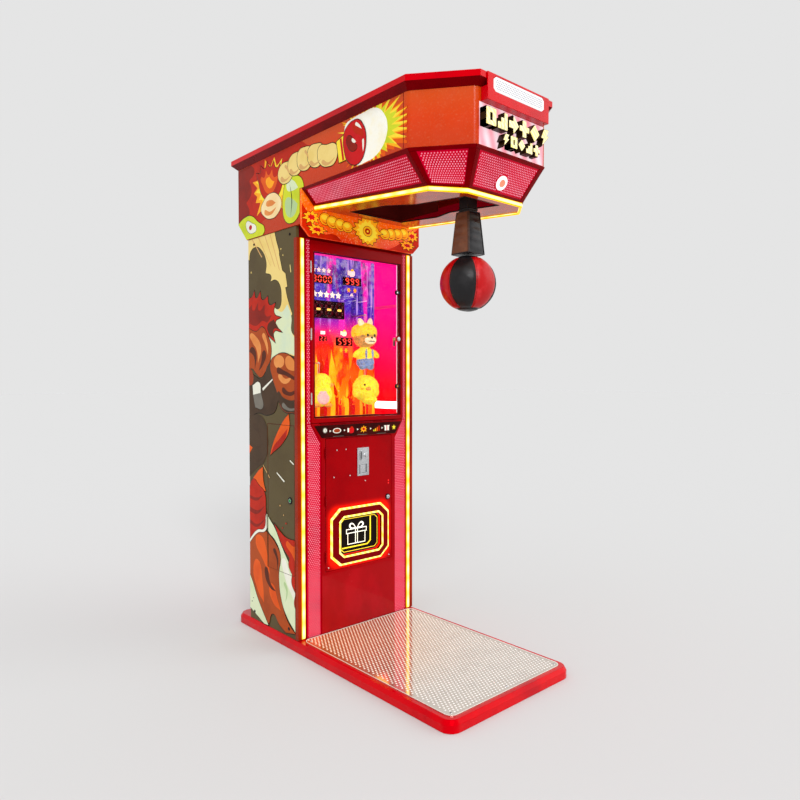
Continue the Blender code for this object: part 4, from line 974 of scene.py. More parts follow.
def build_side_hardware(low, high):
    """Bolts, the service lock's face and its escutcheon."""
    bolts = bmesh.new()
    for side in (-1, 1):
        out = Vector((side, 0, 0))
        for y, z, radius in ((0.587, 0.087, 0.0095), (0.281, 0.084, 0.0095), (0.612, 0.131, 0.0045),
            (0.6, 0.15, 0.0035), (0.575, 1.87, 0.006), (0.26, 1.87, 0.006)):
            turned(bolts, [(0.0, 0.0042), (radius * 0.5, 0.004), (radius * 0.82, 0.0026), (radius, 0.0),
                (0.0, 0.0)], Vector((side * 0.3462, y, z)), out, 20)
    publish(bolts, "side_bolts", black(), "cabinet")
    y, z = 0.268, 0.673
    ring = bmesh.new()
    turned(ring, [(0.0105, 0.0), (0.0165, 0.0), (0.0165, 0.0016), (0.015, 0.003), (0.0115, 0.0032), (0.0105, 0.002),
        (0.0105, 0.0)], (low.x, y, z), LEFT, 28)
    publish(ring, "service_lock_collar", black(), "service_door")
    refined("side_door_lock", steel(), 0.0006, 2)
    face = bmesh.new()
    turned(face, [(0.0, 0.0008), (0.0068, 0.0008), (0.008, 0.0004), (0.008, 0.0), (0.0, 0.0)],
        (low.x - 0.003, y, z), LEFT, 24)
    block(face, (low.x - 0.0042, y - 0.0008, z - 0.0035), (low.x - 0.0034, y + 0.0008, z + 0.0035), 0, 1)
    publish(face, "service_lock_face", [coated("lock_green", shade("#1f8f45"), shade("#0f5c2b"), 0.25, coat=0.5),
        black()], "service_lock")


def build_back():
    """The rear panel with its inlet, rocker and screws."""
    refined("rear_panel", red_gloss(), 0.0006, 1)
    refined("power_switch", black(), 0.0012, 2)
    low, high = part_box("rear_panel")
    bits = bmesh.new()
    for x0, z0, x1, z1 in ((0.182, 0.106, 0.27, 0.112), (0.182, 0.149, 0.27, 0.155), (0.182, 0.112, 0.1875, 0.149),
        (0.2145, 0.112, 0.2345, 0.149), (0.2655, 0.112, 0.27, 0.149)):
        block(bits, (x0, high.y, z0), (x1, high.y + 0.0022, z1), 0.0008)
    publish(bits, "inlet_frame", black(), "cabinet")
    pins = bmesh.new()
    for x, z in ((0.244, 0.126), (0.256, 0.126), (0.25, 0.134)):
        block(pins, (x - 0.001, high.y - 0.0098, z - 0.0022), (x + 0.001, high.y - 0.002, z + 0.0022), 0.0003)
    publish(pins, "inlet_pins", steel(), "cabinet")
    heads = bmesh.new()
    for x in (-0.305, 0.305):
        for z in (0.085, 0.45, 0.85, 1.25, 1.65, 1.865):
            screw(heads, (x, high.y, z), BACK, 0.0055)
    for x in (-0.318, 0.318):
        for z in (2.03, 2.13, 2.23):
            screw(heads, (x, 0.7202, z), BACK, 0.005)
    publish(heads, "rear_screws", steel(), "cabinet")


# ======================================================================
# front of the column
# ======================================================================
def dot_finish():
    """Lit holes of the perforated panels."""
    return lamp("grille_dots", shade("#ff9cb2"), tint("dots"), bpy.context.scene.punch_sizes.dot_glow,
        (0.3, 0.2, 1.0), 0.05, 0.35)


def grille_finish():
    """Pink translucent panel, softly lit from behind."""
    return coated("grille_pink", tint("grille"), shade("#a0001c"), 0.35, 0.12, (6.0, 0.6), (500.0, 0.05), glow=0.14)


@remembered
def spilled_red(name):
    """Deep red of the lower door, with painted light from the lit prize outlet spilled round it."""
    material, tree, shader = blank_material(name)
    where, x, _, z = place_of(tree)
    made = put(tree, "ShaderNodeGroup", {"Colour": tint("dark_red"), "Worn Colour": shade("#7c0006"),
        "Cloud Scale": 3.5, "Cloud Amount": 0.6, "Roughness": 0.2, "Smudge": 0.2, "Grain Scale": 350.0},
        node_tree=group("worn_finish"))
    aside = calc(tree, "SUBTRACT", calc(tree, "ABSOLUTE", x), 0.135)
    above = calc(tree, "SUBTRACT", calc(tree, "ABSOLUTE", calc(tree, "SUBTRACT", z, 0.485)), 0.095)
    outside = put(tree, "ShaderNodeCombineXYZ", {0: calc(tree, "MAXIMUM", aside, 0.0),
        1: calc(tree, "MAXIMUM", above, 0.0)}).outputs[0]
    distance = put(tree, "ShaderNodeVectorMath", {0: outside}, operation="LENGTH").outputs["Value"]
    # painted light: within a few centimetres of the outlet the red is lightened and glows, standing in for the light
    # ring's spill on the door
    spill = spread(tree, distance, 0.074, 0.03)
    colour = blend_colour(tree, calc(tree, "MULTIPLY", spill, 0.5), made.outputs["Colour"], shade("#ff1200"))
    settle(shader, {"Base Color": colour, "Emission Color": blend_colour(tree, calc(tree, "MULTIPLY", spill, spill),
        shade("#000000"), shade("#ff2000")), "Emission Strength": 0.75, "Roughness": made.outputs["Roughness"],
        "Specular IOR Level": 0.4, "Specular Tint": tint("dark_red")})
    bump(tree, shader, made.outputs["Height"], 0.04)
    return material


@remembered
def kick_finish(name):
    """Deep red mouldings, with a glossier kick plate at the foot that carries painted reflections in pale wavy
    streaks.
    """
    material, tree, shader = blank_material(name)
    where, x, _, z = place_of(tree)
    made = put(tree, "ShaderNodeGroup", {"Colour": tint("dark_red"), "Worn Colour": shade("#860010"),
        "Cloud Scale": 4.0, "Cloud Amount": 0.6, "Roughness": 0.2, "Smudge": 0.2, "Grain Scale": 350.0},
        node_tree=group("worn_finish"))
    low = calc(tree, "MULTIPLY", spread(tree, z, 0.322, 0.316), spread(tree, calc(tree, "ABSOLUTE", x), 0.2235,
        0.22))
    waves = speckle(tree, where, 9.0, 4.0, (1.0, 1.0, 0.5))
    # painted reflection: on the kick plate the red turns paler along the same waves that raise its bump, standing in
    # for mirrored light
    sheen = calc(tree, "MULTIPLY", low, spread(tree, waves, 0.42, 0.66, 0.0, 0.3))
    pale = blend_colour(tree, sheen, made.outputs["Colour"], shade("#c80a1c"))
    settle(shader, {"Base Color": pale, "Coat Weight": calc(tree, "MULTIPLY", low, 0.12),
        "Coat Roughness": 0.05, "Roughness": made.outputs["Roughness"],
        "Specular IOR Level": 0.4, "Specular Tint": tint("dark_red")})
    height = calc(tree, "ADD", made.outputs["Height"], calc(tree, "MULTIPLY", waves, 6.0))
    bump(tree, shader, height, 0.1)
    return material


def kick_red():
    """Finish of the front mouldings."""
    return kick_finish("kick_red")


def strip_piece(node, finishes, width):
    """A light strip whose rounded edges glow deeper than its face."""
    data = merged(node)
    soften(data, width, 3)
    for face in data.faces:
        normal = face.normal
        straight = max(abs(normal.x), abs(normal.y)) > 0.985 or abs(normal.z) < 0.02 and abs(normal.y) > 0.5
        if node.startswith("column"):
            straight = normal.y < -0.97
        face.material_index = 0 if straight else 1
    return publish(data, f"{node}_finished", finishes, "cabinet", (node,))


def build_front():
    """Mouldings, light strips, pink panels and the strip of pictograms."""
    refined("front_bezel", kick_red(), 0.0035, 3)
    dress(cove_red(), "front_frame")
    for side in ("left", "right"):
        strip_piece(f"column_light_{side}", warm_lamp(), 0.0045)
        dress(grille_finish(), f"column_grille_{side}")
        sign = -1 if side == "left" else 1
        low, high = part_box(f"column_grille_{side}")
        lower = [(0.2235, 0.0505), (0.2985, 0.0505), (0.2985, 0.94), (0.2235, 0.94)]
        middle = [(0.224, 0.937), (0.2985, 0.937), (0.2985, 1.0215), (0.278, 1.0215)]
        upper = [(0.2775, 1.019), (0.2985, 1.019), (0.2985, 1.849), (0.2775, 1.849)]
        outlines = [lower, middle, upper]
        if sign < 0:
            outlines = [[(-u, v) for u, v in reversed(shape)] for shape in outlines]
        dots = studs(outlines, 0.01, 0.003, 0.0008, board_frame((0, low.y + 0.0001, 0), RIGHT, UP), 6, 0.9, 0.0028)
        publish(dots, f"column_dots_{side}", dot_finish(), "cabinet", smooth=None)
    strip = refined("instruction_panel", coated("strip_print", shade("#2a0706"), shade("#4a0e0a"), 0.3, 0.1,
        (10.0, 0.8)), 0.0008, 1)
    low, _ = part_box("instruction_panel")
    board = Print((0, low.y, 0), RIGHT, UP, FRONT)
    for knots, ink in pictograms():
        board.add(knots, INK_INDEX[ink])
    print_piece(board.done(), "instruction_pictograms", inks(), strip["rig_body"])
    sill = bmesh.new()
    block(sill, (-0.232, 0.1915, 1.0185), (0.232, 0.1975, 1.0215), 0.0012)
    publish(sill, "window_sill_bead", cove_red(), "cabinet")


def pictograms():
    """Wordless playing steps: coin, button, glove, flash, score bars, prize and arrows."""
    z = 0.985
    shapes = [(oval(-0.205, z + 0.004, 0.013, 0.013), "ash"), (oval(-0.205, z + 0.004, 0.009, 0.009), "linen"),
        (quad(-0.2065, -0.2035, z - 0.002, z + 0.01), "line")]
    for x in (-0.18, -0.098, -0.02, 0.06, 0.132):
        shapes.append(([(x, z - 0.005, 1), (x + 0.009, z, 1), (x, z + 0.005, 1)], "linen"))
    shapes += [(oval(-0.138, z, 0.024, 0.012), "linen"), (oval(-0.138, z, 0.019, 0.009), "rust")]
    for part, ink in zip(glove_shape(-0.055, z - 0.001, 0.03), ("crimson", "flame", "linen")):
        shapes.append((part, ink))
    shapes += [(burst(0.02, z, 0.023, 0.017, 0.55, 8, 3), "gold"), (oval(0.02, z, 0.008, 0.006), "crimson")]
    for step, height in enumerate((0.008, 0.014, 0.02, 0.026)):
        x = 0.08 + 0.011 * step
        shapes.append((quad(x, x + 0.007, z - 0.014, z - 0.014 + height), ("lime", "gold", "orange", "flame")[step]))
    shapes += [(quad(0.152, 0.18, z - 0.014, z + 0.006), "linen"), (quad(0.149, 0.183, z + 0.006, z + 0.012),
        "linen"), (quad(0.1635, 0.1685, z - 0.014, z + 0.012), "crimson"),
        (star(0.212, z, 0.014, 0.006, 5), "yellow")]
    for x in (-0.16, -0.02, 0.1):
        shapes.append((quad(x, x + 0.06, 0.9585, 0.96), "ash"))
    return shapes


# ======================================================================
# window door
# ======================================================================
@remembered
def glazing(name, colour, roughness, ior):
    """Clear sheet with faint smudges."""
    material, tree, shader = blank_material(name)
    settle(shader, {"Base Color": colour, "Transmission Weight": 1.0, "IOR": ior})
    where = place_of(tree)[0]
    smears = speckle(tree, where, 7.0, 6.0, (1.0, 1.0, 0.4))
    settle(shader, {"Roughness": spread(tree, smears, 0.5, 0.85, roughness, roughness + 0.03)})
    bump(tree, shader, smears, 0.01)
    return material


def hinge_knuckles(data, x, y, levels, length=0.05, radius=0.0034):
    """Add the rolled knuckles of small butt hinges."""
    for z in levels:
        for part in range(3):
            low = z + part * length / 3 + 0.0006
            rod(data, (x, y, low), (x, y, low + length / 3 - 0.0012), radius, segments=14)
        rod(data, (x, y, z - 0.0015), (x, y, z + length + 0.0015), radius * 0.55, segments=12)
    return data


def build_window():
    """The glazed door: frame, gasket, glass, clamps, lock and hinges."""
    refined("window_frame", dark_red(), 0.0022, 3)
    dress(glazing("window_glass", shade("#ffffff"), 0.0, 1.08), "window_glass")
    low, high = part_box("window_glass")
    gasket = bmesh.new()
    lip = 0.006
    for a, b in (((low.x, low.y - 0.0008, low.z), (low.x + lip, low.y - 0.0001, high.z)),
        ((high.x - lip, low.y - 0.0008, low.z), (high.x, low.y - 0.0001, high.z)),
        ((low.x + lip, low.y - 0.0008, low.z), (high.x - lip, low.y - 0.0001, low.z + lip)),
        ((low.x + lip, low.y - 0.0008, high.z - lip), (high.x - lip, low.y - 0.0001, high.z))):
        block(gasket, a, b, 0.0003, segments=1)
    publish(gasket, "window_gasket", coated("gasket", shade("#4a060a"), shade("#2c0406"), 0.5), "window_door")
    metals = [steel(), black(), coated("lock_red", shade("#d01018"), shade("#8c0a10"), 0.25, coat=0.5),
        brushed("brass", shade("#d9a441"), roughness=0.25)]
    knob = [(0.0, 0.008), (0.005, 0.0082), (0.0085, 0.007), (0.0095, 0.0045), (0.0095, 0.0015), (0.012, 0.0012),
        (0.012, 0.0), (0.0, 0.0)]
    fittings = bmesh.new()
    for z, cap in ((1.654, 0), (1.188, 3)):
        turned(fittings, knob, (0.236, low.y, z), FRONT, 24, 1)
        turned(fittings, [(0.0, 0.0016), (0.004, 0.0014), (0.0052, 0.0), (0.0, 0.0)], (0.236, low.y - 0.0081, z),
            FRONT, 20, cap)
        block(fittings, (0.244, low.y - 0.005, z - 0.006), (0.2605, low.y - 0.0002, z + 0.006), 0.0012, 1)
    publish(fittings, "window_clamps", metals, "window_door")
    refined("window_lock", steel(), 0.0005, 2)
    x, z = 0.244, 1.424
    collar = bmesh.new()
    turned(collar, [(0.0107, 0.0), (0.015, 0.0), (0.015, 0.003), (0.0135, 0.0045), (0.0107, 0.0045), (0.0107, 0.0)],
        (x, low.y, z), FRONT, 28, 2)
    publish(collar, "window_lock_collar", metals, "window_door")
    face = bmesh.new()
    turned(face, [(0.0, 0.0006), (0.007, 0.0006), (0.0078, 0.0), (0.0, 0.0)], (x, 0.19, z), FRONT, 24, 0)
    block(face, (x - 0.0008, 0.1888, z - 0.0035), (x + 0.0008, 0.1895, z + 0.0035), 0, 1)
    publish(face, "window_lock_face", metals, "window_lock")
    hinges = hinge_knuckles(bmesh.new(), -0.28, 0.192, (1.11, 1.4, 1.7))
    publish(hinges, "window_hinges", steel(), "window_door")


# ======================================================================
# lower door
# ======================================================================
def ring_lamp():
    """Light ring round the prize outlet."""
    return lamp("ring_lamp", shade("#ffee90"), shade("#ffd21e"), bpy.context.scene.punch_sizes.strip_glow * 0.8,
        (1, 0, 0.6), 0.03, 0.8)


DOOR_FACE = 0.198


def build_lower_door():
    """The lower door with its coin entry, prize outlet, lock, screws and hinges."""
    refined("coin_door", spilled_red("spilled_red"), 0.0012, 2)
    refined("coin_plate", steel(), 0.0007, 2)
    refined("coin_reject_button", steel(), 0.0012, 3)
    refined("coin_return_flap", steel(), 0.0004, 2)
    refined("coin_door_lock", steel(), 0.0005, 2)
    dress(black(), "coin_mechanism")
    low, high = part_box("coin_plate")
    x, z = (low.x + high.x) / 2, (low.z + high.z) / 2
    entry = bmesh.new()
    for a, b in (((x - 0.0195, z + 0.01), (x - 0.016, z + 0.05)), ((x - 0.0105, z + 0.01), (x - 0.007, z + 0.05)),
        ((x - 0.0195, z + 0.05), (x - 0.007, z + 0.0535)), ((x - 0.0195, z + 0.0065), (x - 0.007, z + 0.01))):
        block(entry, (a[0], low.y - 0.0035, a[1]), (b[0], low.y + 0.0001, b[1]), 0.0009)
    turned(entry, [(0.0084, 0.0), (0.0115, 0.0), (0.0115, 0.0015), (0.0098, 0.0028), (0.0084, 0.0028),
        (0.0084, 0.0)], (x + 0.016, low.y, z + 0.03), FRONT, 24)
    for a, b in (((x - 0.0225, z - 0.057), (x - 0.019, z - 0.0115)), ((x + 0.019, z - 0.057),
        (x + 0.0225, z - 0.0115)), ((x - 0.019, z - 0.057), (x + 0.019, z - 0.054))):
        block(entry, (a[0], low.y - 0.0045, a[1]), (b[0], low.y + 0.0001, b[1]), 0.0009)
    for dx in (-0.0285, 0.0285):
        for dz in (-0.0605, 0.0605):
            screw(entry, (x + dx, low.y, z + dz), FRONT, 0.003)
    publish(entry, "coin_entry_trim", steel(), "lower_door")
    heads = bmesh.new()
    for sx, sz in ((-0.135, 0.893), (-0.082, 0.894), (-0.152, 0.768), (-0.058, 0.768), (0.034, 0.735),
        (-0.184, 0.35), (0.184, 0.35)):
        turned(heads, [(0.0, 0.0014), (0.0022, 0.0012), (0.0034, 0.0), (0.0, 0.0)], (sx, DOOR_FACE, sz), FRONT, 14)
    publish(heads, "lower_door_rivets", steel(), "lower_door")
    marks = bmesh.new()
    for z0 in (0.709, 0.722):
        turned(marks, [(0.0, 0.0022), (0.0035, 0.0018), (0.0046, 0.0), (0.0, 0.0)], (0.18, DOOR_FACE, z0), FRONT, 18)
    publish(marks, "lower_door_lamps", lamp("pilot_red", shade("#ff2a2a"), shade("#d00010"), 0.9), "lower_door")
    sx, sz = 0.174, 0.642
    collar = bmesh.new()
    turned(collar, [(0.0104, 0.0), (0.0142, 0.0), (0.0142, 0.0022), (0.0125, 0.0034), (0.0104, 0.0034),
        (0.0104, 0.0)], (sx, DOOR_FACE, sz), FRONT, 28)
    publish(collar, "lower_lock_collar", black(), "lower_door")
    face = bmesh.new()
    turned(face, [(0.0, 0.0006), (0.007, 0.0006), (0.0078, 0.0), (0.0, 0.0)], (sx, 0.192, sz), FRONT, 24, 0)
    block(face, (sx - 0.0008, 0.1908, sz - 0.0035), (sx + 0.0008, 0.1915, sz + 0.0035), 0, 1)
    publish(face, "lower_lock_face", [steel(), black()], "lower_door_lock")
    hinges = hinge_knuckles(bmesh.new(), -0.2035, 0.194, (0.38, 0.64, 0.86), 0.045)
    publish(hinges, "lower_door_hinges", cove_red(), "lower_door")
    build_prize_outlet()


def cut_corner(half_u, half_v, cut_u, cut_v, grow=0.0, centre=(0.0, 0.485)):
    """Knots of a rectangle with cut corners."""
    u, v, a, b = half_u + grow, half_v + grow, cut_u + grow * 0.4, cut_v + grow * 0.4
    right = [(u - a, -v), (u, b - v), (u, v - b), (u - a, v)]
    return [(centre[0] + x, centre[1] + y, 1) for x, y in right + [(-x, -y) for x, y in right]]


def build_prize_outlet():
    """Light rings, bezel and the flap with its pictogram of a wrapped box."""
    refined("prize_light_ring", ring_lamp(), 0.0015, 2)
    refined("prize_bezel", cove_red(), 0.003, 3)
    refined("prize_flap", black(), 0.001, 2)
    bezel_low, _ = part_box("prize_bezel")
    inner = Print((0, bezel_low.y - 0.0004, 0), RIGHT, UP, FRONT)
    line = flat_ring(cut_corner(0.1335, 0.0985, 0.027, 0.024), cut_corner(0.1245, 0.0895, 0.021, 0.019))
    bmesh.ops.transform(line, matrix=inner.frame, verts=line.verts)
    grown = bmesh.ops.extrude_face_region(line, geom=line.faces[:])["geom"]
    bmesh.ops.translate(line, verts=[g for g in grown if isinstance(g, bmesh.types.BMVert)], vec=(0, -0.0016, 0))
    publish(line, "prize_inner_ring", ring_lamp(), "lower_door", smooth=30)
    low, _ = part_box("prize_flap")
    board = Print((0, low.y, 0), RIGHT, UP, FRONT)
    c = 0.485
    board.add(cut_corner(0.112, 0.079, 0.018, 0.016), INK_INDEX["yellow"])
    board.add(cut_corner(0.109, 0.076, 0.0168, 0.0148), INK_INDEX["line"])
    board.add([(0.064, c + 0.075, 1), (0.071, c + 0.075, 1), (0.071, c - 0.045, 1), (0.05, c - 0.062, 1),
        (-0.105, c - 0.062, 1), (-0.105, c - 0.056, 1), (0.047, c - 0.056, 1), (0.064, c - 0.042, 1)],
        INK_INDEX["yellow"])
    w = 0.004
    for a, b, d, e in ((-0.072, 0.036, c - 0.046, c - 0.046 + w), (-0.072, 0.036, c + 0.006, c + 0.006 + w),
        (-0.072, -0.072 + w, c - 0.046, c + 0.006), (0.036 - w, 0.036, c - 0.046, c + 0.006),
        (-0.08, 0.044, c + 0.006, c + 0.006 + w), (-0.08, 0.044, c + 0.024, c + 0.024 + w),
        (-0.08, -0.08 + w, c + 0.006, c + 0.028), (0.044 - w, 0.044, c + 0.006, c + 0.028),
        (-0.026, -0.026 + w, c - 0.046, c + 0.026), (-0.014, -0.014 + w, c - 0.046, c + 0.026)):
        board.add(quad(a, b, d, e), INK_INDEX["white"])
    for flip in (-1, 1):
        board.add([(-0.018, c + 0.028, 1), (-0.018 + flip * 0.03, c + 0.056), (-0.018 + flip * 0.044, c + 0.044),
            (-0.018 + flip * 0.036, c + 0.03)], INK_INDEX["white"])
        board.add([(-0.018 + flip * 0.008, c + 0.032, 1), (-0.018 + flip * 0.028, c + 0.049),
            (-0.018 + flip * 0.036, c + 0.043), (-0.018 + flip * 0.03, c + 0.034)], INK_INDEX["line"])
    print_piece(board.done(), "prize_flap_pictogram", glowing_inks(), "prize_flap")
    knuckle = bmesh.new()
    rod(knuckle, (-0.098, 0.2045, 0.5705), (0.098, 0.2045, 0.5705), 0.0022, segments=12)
    publish(knuckle, "prize_flap_pin", steel(), "prize_flap")


def glowing_inks():
    """The inks, given a faint glow of painted light."""
    return [flat_ink(f"lit_{name}", code, other, 0.0 if name == "line" else 0.6) for name, code, other in INKS]


def flat_ring(outer, inner):
    """A flat band between two outlines with the same number of corners, as a bmesh."""
    data = bmesh.new()
    loops = []
    for shape in (outer, inner):
        verts = [data.verts.new((u, v, 0.0)) for u, v, *_ in shape]
        loops.append([data.edges.new((a, b)) for a, b in zip(verts, verts[1:] + verts[:1])])
    bmesh.ops.bridge_loops(data, edges=loops[0] + loops[1])
    return data


# ======================================================================
# showcase
# ======================================================================
BACKBOARD = 0.427
SHOWCASE_HALF, SHOWCASE_BACK, SHOWCASE_FLOOR = 0.2815, 0.4285, 1.039


def showcase_finish():
    """Printed board: violet with magenta streaks above, flames below; magenta to red on the side walls. Inside the
    showcase it glows with painted light that stands in for the showcase lamps.
    """
    if "showcase_art" in FINISHES:
        return FINISHES["showcase_art"]
    material, tree, shader = blank_material("showcase_art")
    where, x, y, z = place_of(tree)
    height = spread(tree, z, 1.04, 1.84)
    ripple = speckle(tree, where, 5.0, 5.0, (1.0, 1.0, 0.55))
    level = calc(tree, "ADD", height, calc(tree, "MULTIPLY", calc(tree, "SUBTRACT", ripple, 0.5), 0.45))
    base = gradient(tree, level, ((0.0, "#ff7a10"), (0.16, "#ff5a0a"), (0.33, "#f01a08"), (0.47, "#e3104a"),
        (0.58, "#b41a9a"), (0.72, "#3a12b4"), (0.86, "#3f22b0"), (1.0, "#5f50c0")))
    board = base
    for scale, detail, rise, start, end, low, high, most, code in ((15.0, 4.0, 0.1, 0.54, 0.66, 1.36, 1.56, 1.0,
        "#ff2ac0"), (55.0, 5.0, 1.0, 0.46, 0.62, 1.52, 1.78, 0.75, "#8fa0c8"), (22.0, 4.0, 0.35, 0.5, 0.6, 1.4, 1.6,
        0.65, "#200a6a"), (34.0, 3.0, 0.06, 0.6, 0.68, 1.45, 1.62, 0.7, "#c9b8ff"), (16.0, 6.0, 0.3, 0.5, 0.58, 1.5,
        1.2, 1.0, "#ffa010"), (24.0, 6.0, 0.4, 0.52, 0.6, 1.52, 1.3, 0.8, "#c00808")):
        streaks = spread(tree, speckle(tree, where, scale, detail, (1.0, 1.0, rise)), start, end)
        share = calc(tree, "MULTIPLY", streaks, spread(tree, z, low, high, 0.0, most))
        board = blend_colour(tree, share, board, shade(code))
    sparks = spread(tree, speckle(tree, where, 70.0, 2.0), 0.7, 0.76)
    board = blend_colour(tree, sparks, board, shade("#ffe9a0"))
    wall = gradient(tree, spread(tree, z, 1.1, 1.72), ((0.0, "#e00014"), (1.0, "#f2008c")))
    on_back = calc(tree, "GREATER_THAN", y, BACKBOARD - 0.0008)
    colour = blend_colour(tree, on_back, wall, board)
    # painted light: inside the showcase the print glows in its own colour, standing in for the showcase lamps; outer
    # faces stay plain grey
    inner = calc(tree, "MULTIPLY", calc(tree, "LESS_THAN", calc(tree, "ABSOLUTE", x), SHOWCASE_HALF),
        calc(tree, "LESS_THAN", y, SHOWCASE_BACK))
    inner = calc(tree, "MULTIPLY", inner, calc(tree, "GREATER_THAN", z, SHOWCASE_FLOOR))
    settle(shader, {"Base Color": blend_colour(tree, inner, shade("#6c6e72"), colour),
        "Emission Color": blend_colour(tree, inner, shade("#000000"), colour),
        "Emission Strength": 0.66, "Specular IOR Level": 0.1, "Roughness": spread(tree, speckle(tree, where, 12.0,
        4.0), 0.3, 0.7, 0.22, 0.42)})
    bump(tree, shader, speckle(tree, where, 350.0), 0.04)
    FINISHES["showcase_art"] = material
    return material


SEGMENTS = {"0": "abcdef", "1": "bc", "2": "abged", "3": "abgcd", "4": "fgbc", "5": "afgcd", "6": "afgedc",
    "7": "abc", "8": "abcdefg", "9": "abcdfg", "-": "g"}


def digit(data, symbol, x, z, width, height, face, lit, dark=None):
    """Add one seven-segment figure; the unlit bars are shown if a dark finish is given."""
    bar = height * 0.085
    half_w, half_h = width / 2, height / 2
    middles = {"a": (0, half_h, 1), "g": (0, 0, 1), "d": (0, -half_h, 1), "f": (-half_w, half_h / 2, 0),
        "b": (half_w, half_h / 2, 0), "e": (-half_w, -half_h / 2, 0), "c": (half_w, -half_h / 2, 0)}
    for name, (dx, dz, flat) in middles.items():
        on = name in SEGMENTS[symbol]
        if not on and dark is None:
            continue
        reach_x = half_w - bar * 1.1 if flat else bar
        reach_z = bar if flat else half_h / 2 - bar * 1.1
        depth = 0.0006 if on else 0.0003
        block(data, (x + dx - reach_x, face - depth, z + dz - reach_z), (x + dx + reach_x, face - 0.0001,
            z + dz + reach_z), min(reach_x, reach_z) * 0.5, lit if on else dark, 1)
    return data


def build_showcase():
    """The lit showcase: walls, floor, figures, pictograms, pegs and lamps."""
    dress(showcase_finish(), "showcase_liner")
    # painted light: the grey plated chute turns violet and magenta towards the showcase floor and glows a little,
    # standing in for the showcase's light on it
    dress(fading("chute_sheet", [shade("#74777c"), shade("#74777c"), shade("#5a2a9a"), shade("#8c2a6a")], "z", 0.96,
        1.1, None, 0.35, glow=0.12), "prize_chute")
    dress(coated("display_black", shade("#1c060a"), shade("#33101a"), 0.3, 0.1), "score_display")
    for node in ("prize_peg_upper", "prize_peg_left"):
        refined(node, steel(), 0.0008, 2)
    face = 0.4215
    red = lamp("figure_red", shade("#ff4a3a"), shade("#ff1a1a"), 1.6, warmth=0.1)
    amber = lamp("figure_amber", shade("#ffc05a"), shade("#ff8a1a"), 1.6, warmth=0.1)
    off = coated("figure_off", shade("#5c0f24"), shade("#46081a"), 0.4)
    figures = bmesh.new()
    for index, symbol in enumerate("8000"):
        digit(figures, symbol, -0.1035 + 0.031 * index, 1.718, 0.017, 0.029, face, 0)
    for index, symbol in enumerate("999"):
        digit(figures, symbol, 0.098 + 0.032 * index, 1.722, 0.017, 0.029, face, 0)
    for index in range(3):
        digit(figures, "-", -0.081 + 0.064 * index, 1.569, 0.036, 0.064, face, 1, 2)
    for index, symbol in enumerate("599"):
        digit(figures, symbol, 0.048 + 0.031 * index, 1.4135, 0.016, 0.029, face, 0)
    for index, symbol in enumerate("22"):
        digit(figures, symbol, -0.0625 + 0.021 * index, 1.424, 0.011, 0.018, face, 0)
    publish(figures, "score_figures", [red, amber, off], "cabinet", smooth=None)
    board = Print((0, BACKBOARD - 0.0001, 0), RIGHT, UP, FRONT)
    for x in (-0.1, -0.064, -0.028, 0.008, 0.044):
        board.add(star(x, 1.644, 0.02, 0.0095, 5), INK_INDEX["white"], 0.0016, INK_INDEX["line"])
    for x in (-0.104, -0.074, -0.044, -0.014):
        board.add(star(x, 1.762, 0.015, 0.007, 5), INK_INDEX["white"], 0.0014, INK_INDEX["line"])
    for cx, cz, size in ((0.13, 1.766, 0.036), (0.079, 1.457, 0.03)):
        for part, ink in zip(glove_shape(cx, cz, size), ("white", "yellow", "white")):
            board.add(part, INK_INDEX[ink], 0.0012, INK_INDEX["line"])
    for cx, cz in ((0.11, 1.678), (0.15, 1.678), (0.06, 1.37), (0.092, 1.37)):
        board.add(burst(cx, cz, 0.014, 0.014, 0.5, 6, 5), INK_INDEX["gold"])
    board.add([(0.128, 1.664, 1), (0.14, 1.648, 1), (0.116, 1.648, 1)][::-1], INK_INDEX["white"])
    board.add([(-0.066, 1.462, 1), (-0.038, 1.462, 1), (-0.038, 1.446, 1), (-0.066, 1.446, 1)][::-1],
        INK_INDEX["linen"])
    streaks = random.Random(11)
    for _ in range(9):
        x, z = streaks.uniform(0.05, 0.26), streaks.uniform(1.59, 1.64)
        length = streaks.uniform(0.03, 0.09)
        board.add([(x, z, 1), (x + length, z + 0.012, 1), (x + length, z + 0.0135, 1)], INK_INDEX["linen"])
    print_piece(board.done(), "showcase_pictograms", glowing_inks(), "cabinet")
    flames = Print((0, BACKBOARD - 0.0002, 0), RIGHT, UP, FRONT)
    chance = random.Random(5)
    for index in range(26):
        x = -0.275 + index * 0.022
        tall, wide = chance.uniform(0.08, 0.34), chance.uniform(0.008, 0.018)
        sway = chance.uniform(-0.03, 0.03)
        ink = ("orange", "gold", "flame", "crimson")[index % 4]
        flames.add([(x - wide, 1.04, 1), (x + wide, 1.04, 1), (x + wide * 0.9, 1.04 + tall * 0.35),
            (x + wide * 1.4, 1.04 + tall * 0.7, 1), (x + wide * 0.3, 1.04 + tall * 0.52),
            (x + sway, 1.04 + tall, 1), (x - wide * 0.3, 1.04 + tall * 0.55),
            (x - wide * 1.3, 1.04 + tall * 0.62, 1), (x - wide * 0.9, 1.04 + tall * 0.3)], INK_INDEX[ink])
    print_piece(flames.done(), "showcase_flames", glowing_inks(), "cabinet")
    tubes = bmesh.new()
    for x in (-0.2755, 0.2755):
        rod(tubes, (x, 0.237, 1.055), (x, 0.237, 1.822), 0.0042, segments=16)
    for x in (-0.279, 0.279):
        block(tubes, (x - 0.0012, 0.246, 1.072), (x + 0.0012, 0.42, 1.108), 0.001)
    publish(tubes, "showcase_lamps", lamp("cool_lamp", shade("#ffffff"), shade("#ffe2ea"), 3.2, warmth=0.2),
        "cabinet")
    rails = bmesh.new()
    for z in (1.6, 1.592):
        rod(rails, (0.2795, 0.24, z), (0.2795, 0.42, z), 0.0014, segments=10)
    publish(rails, "showcase_wire", brushed("gold_wire", shade("#f0a040")), "cabinet")


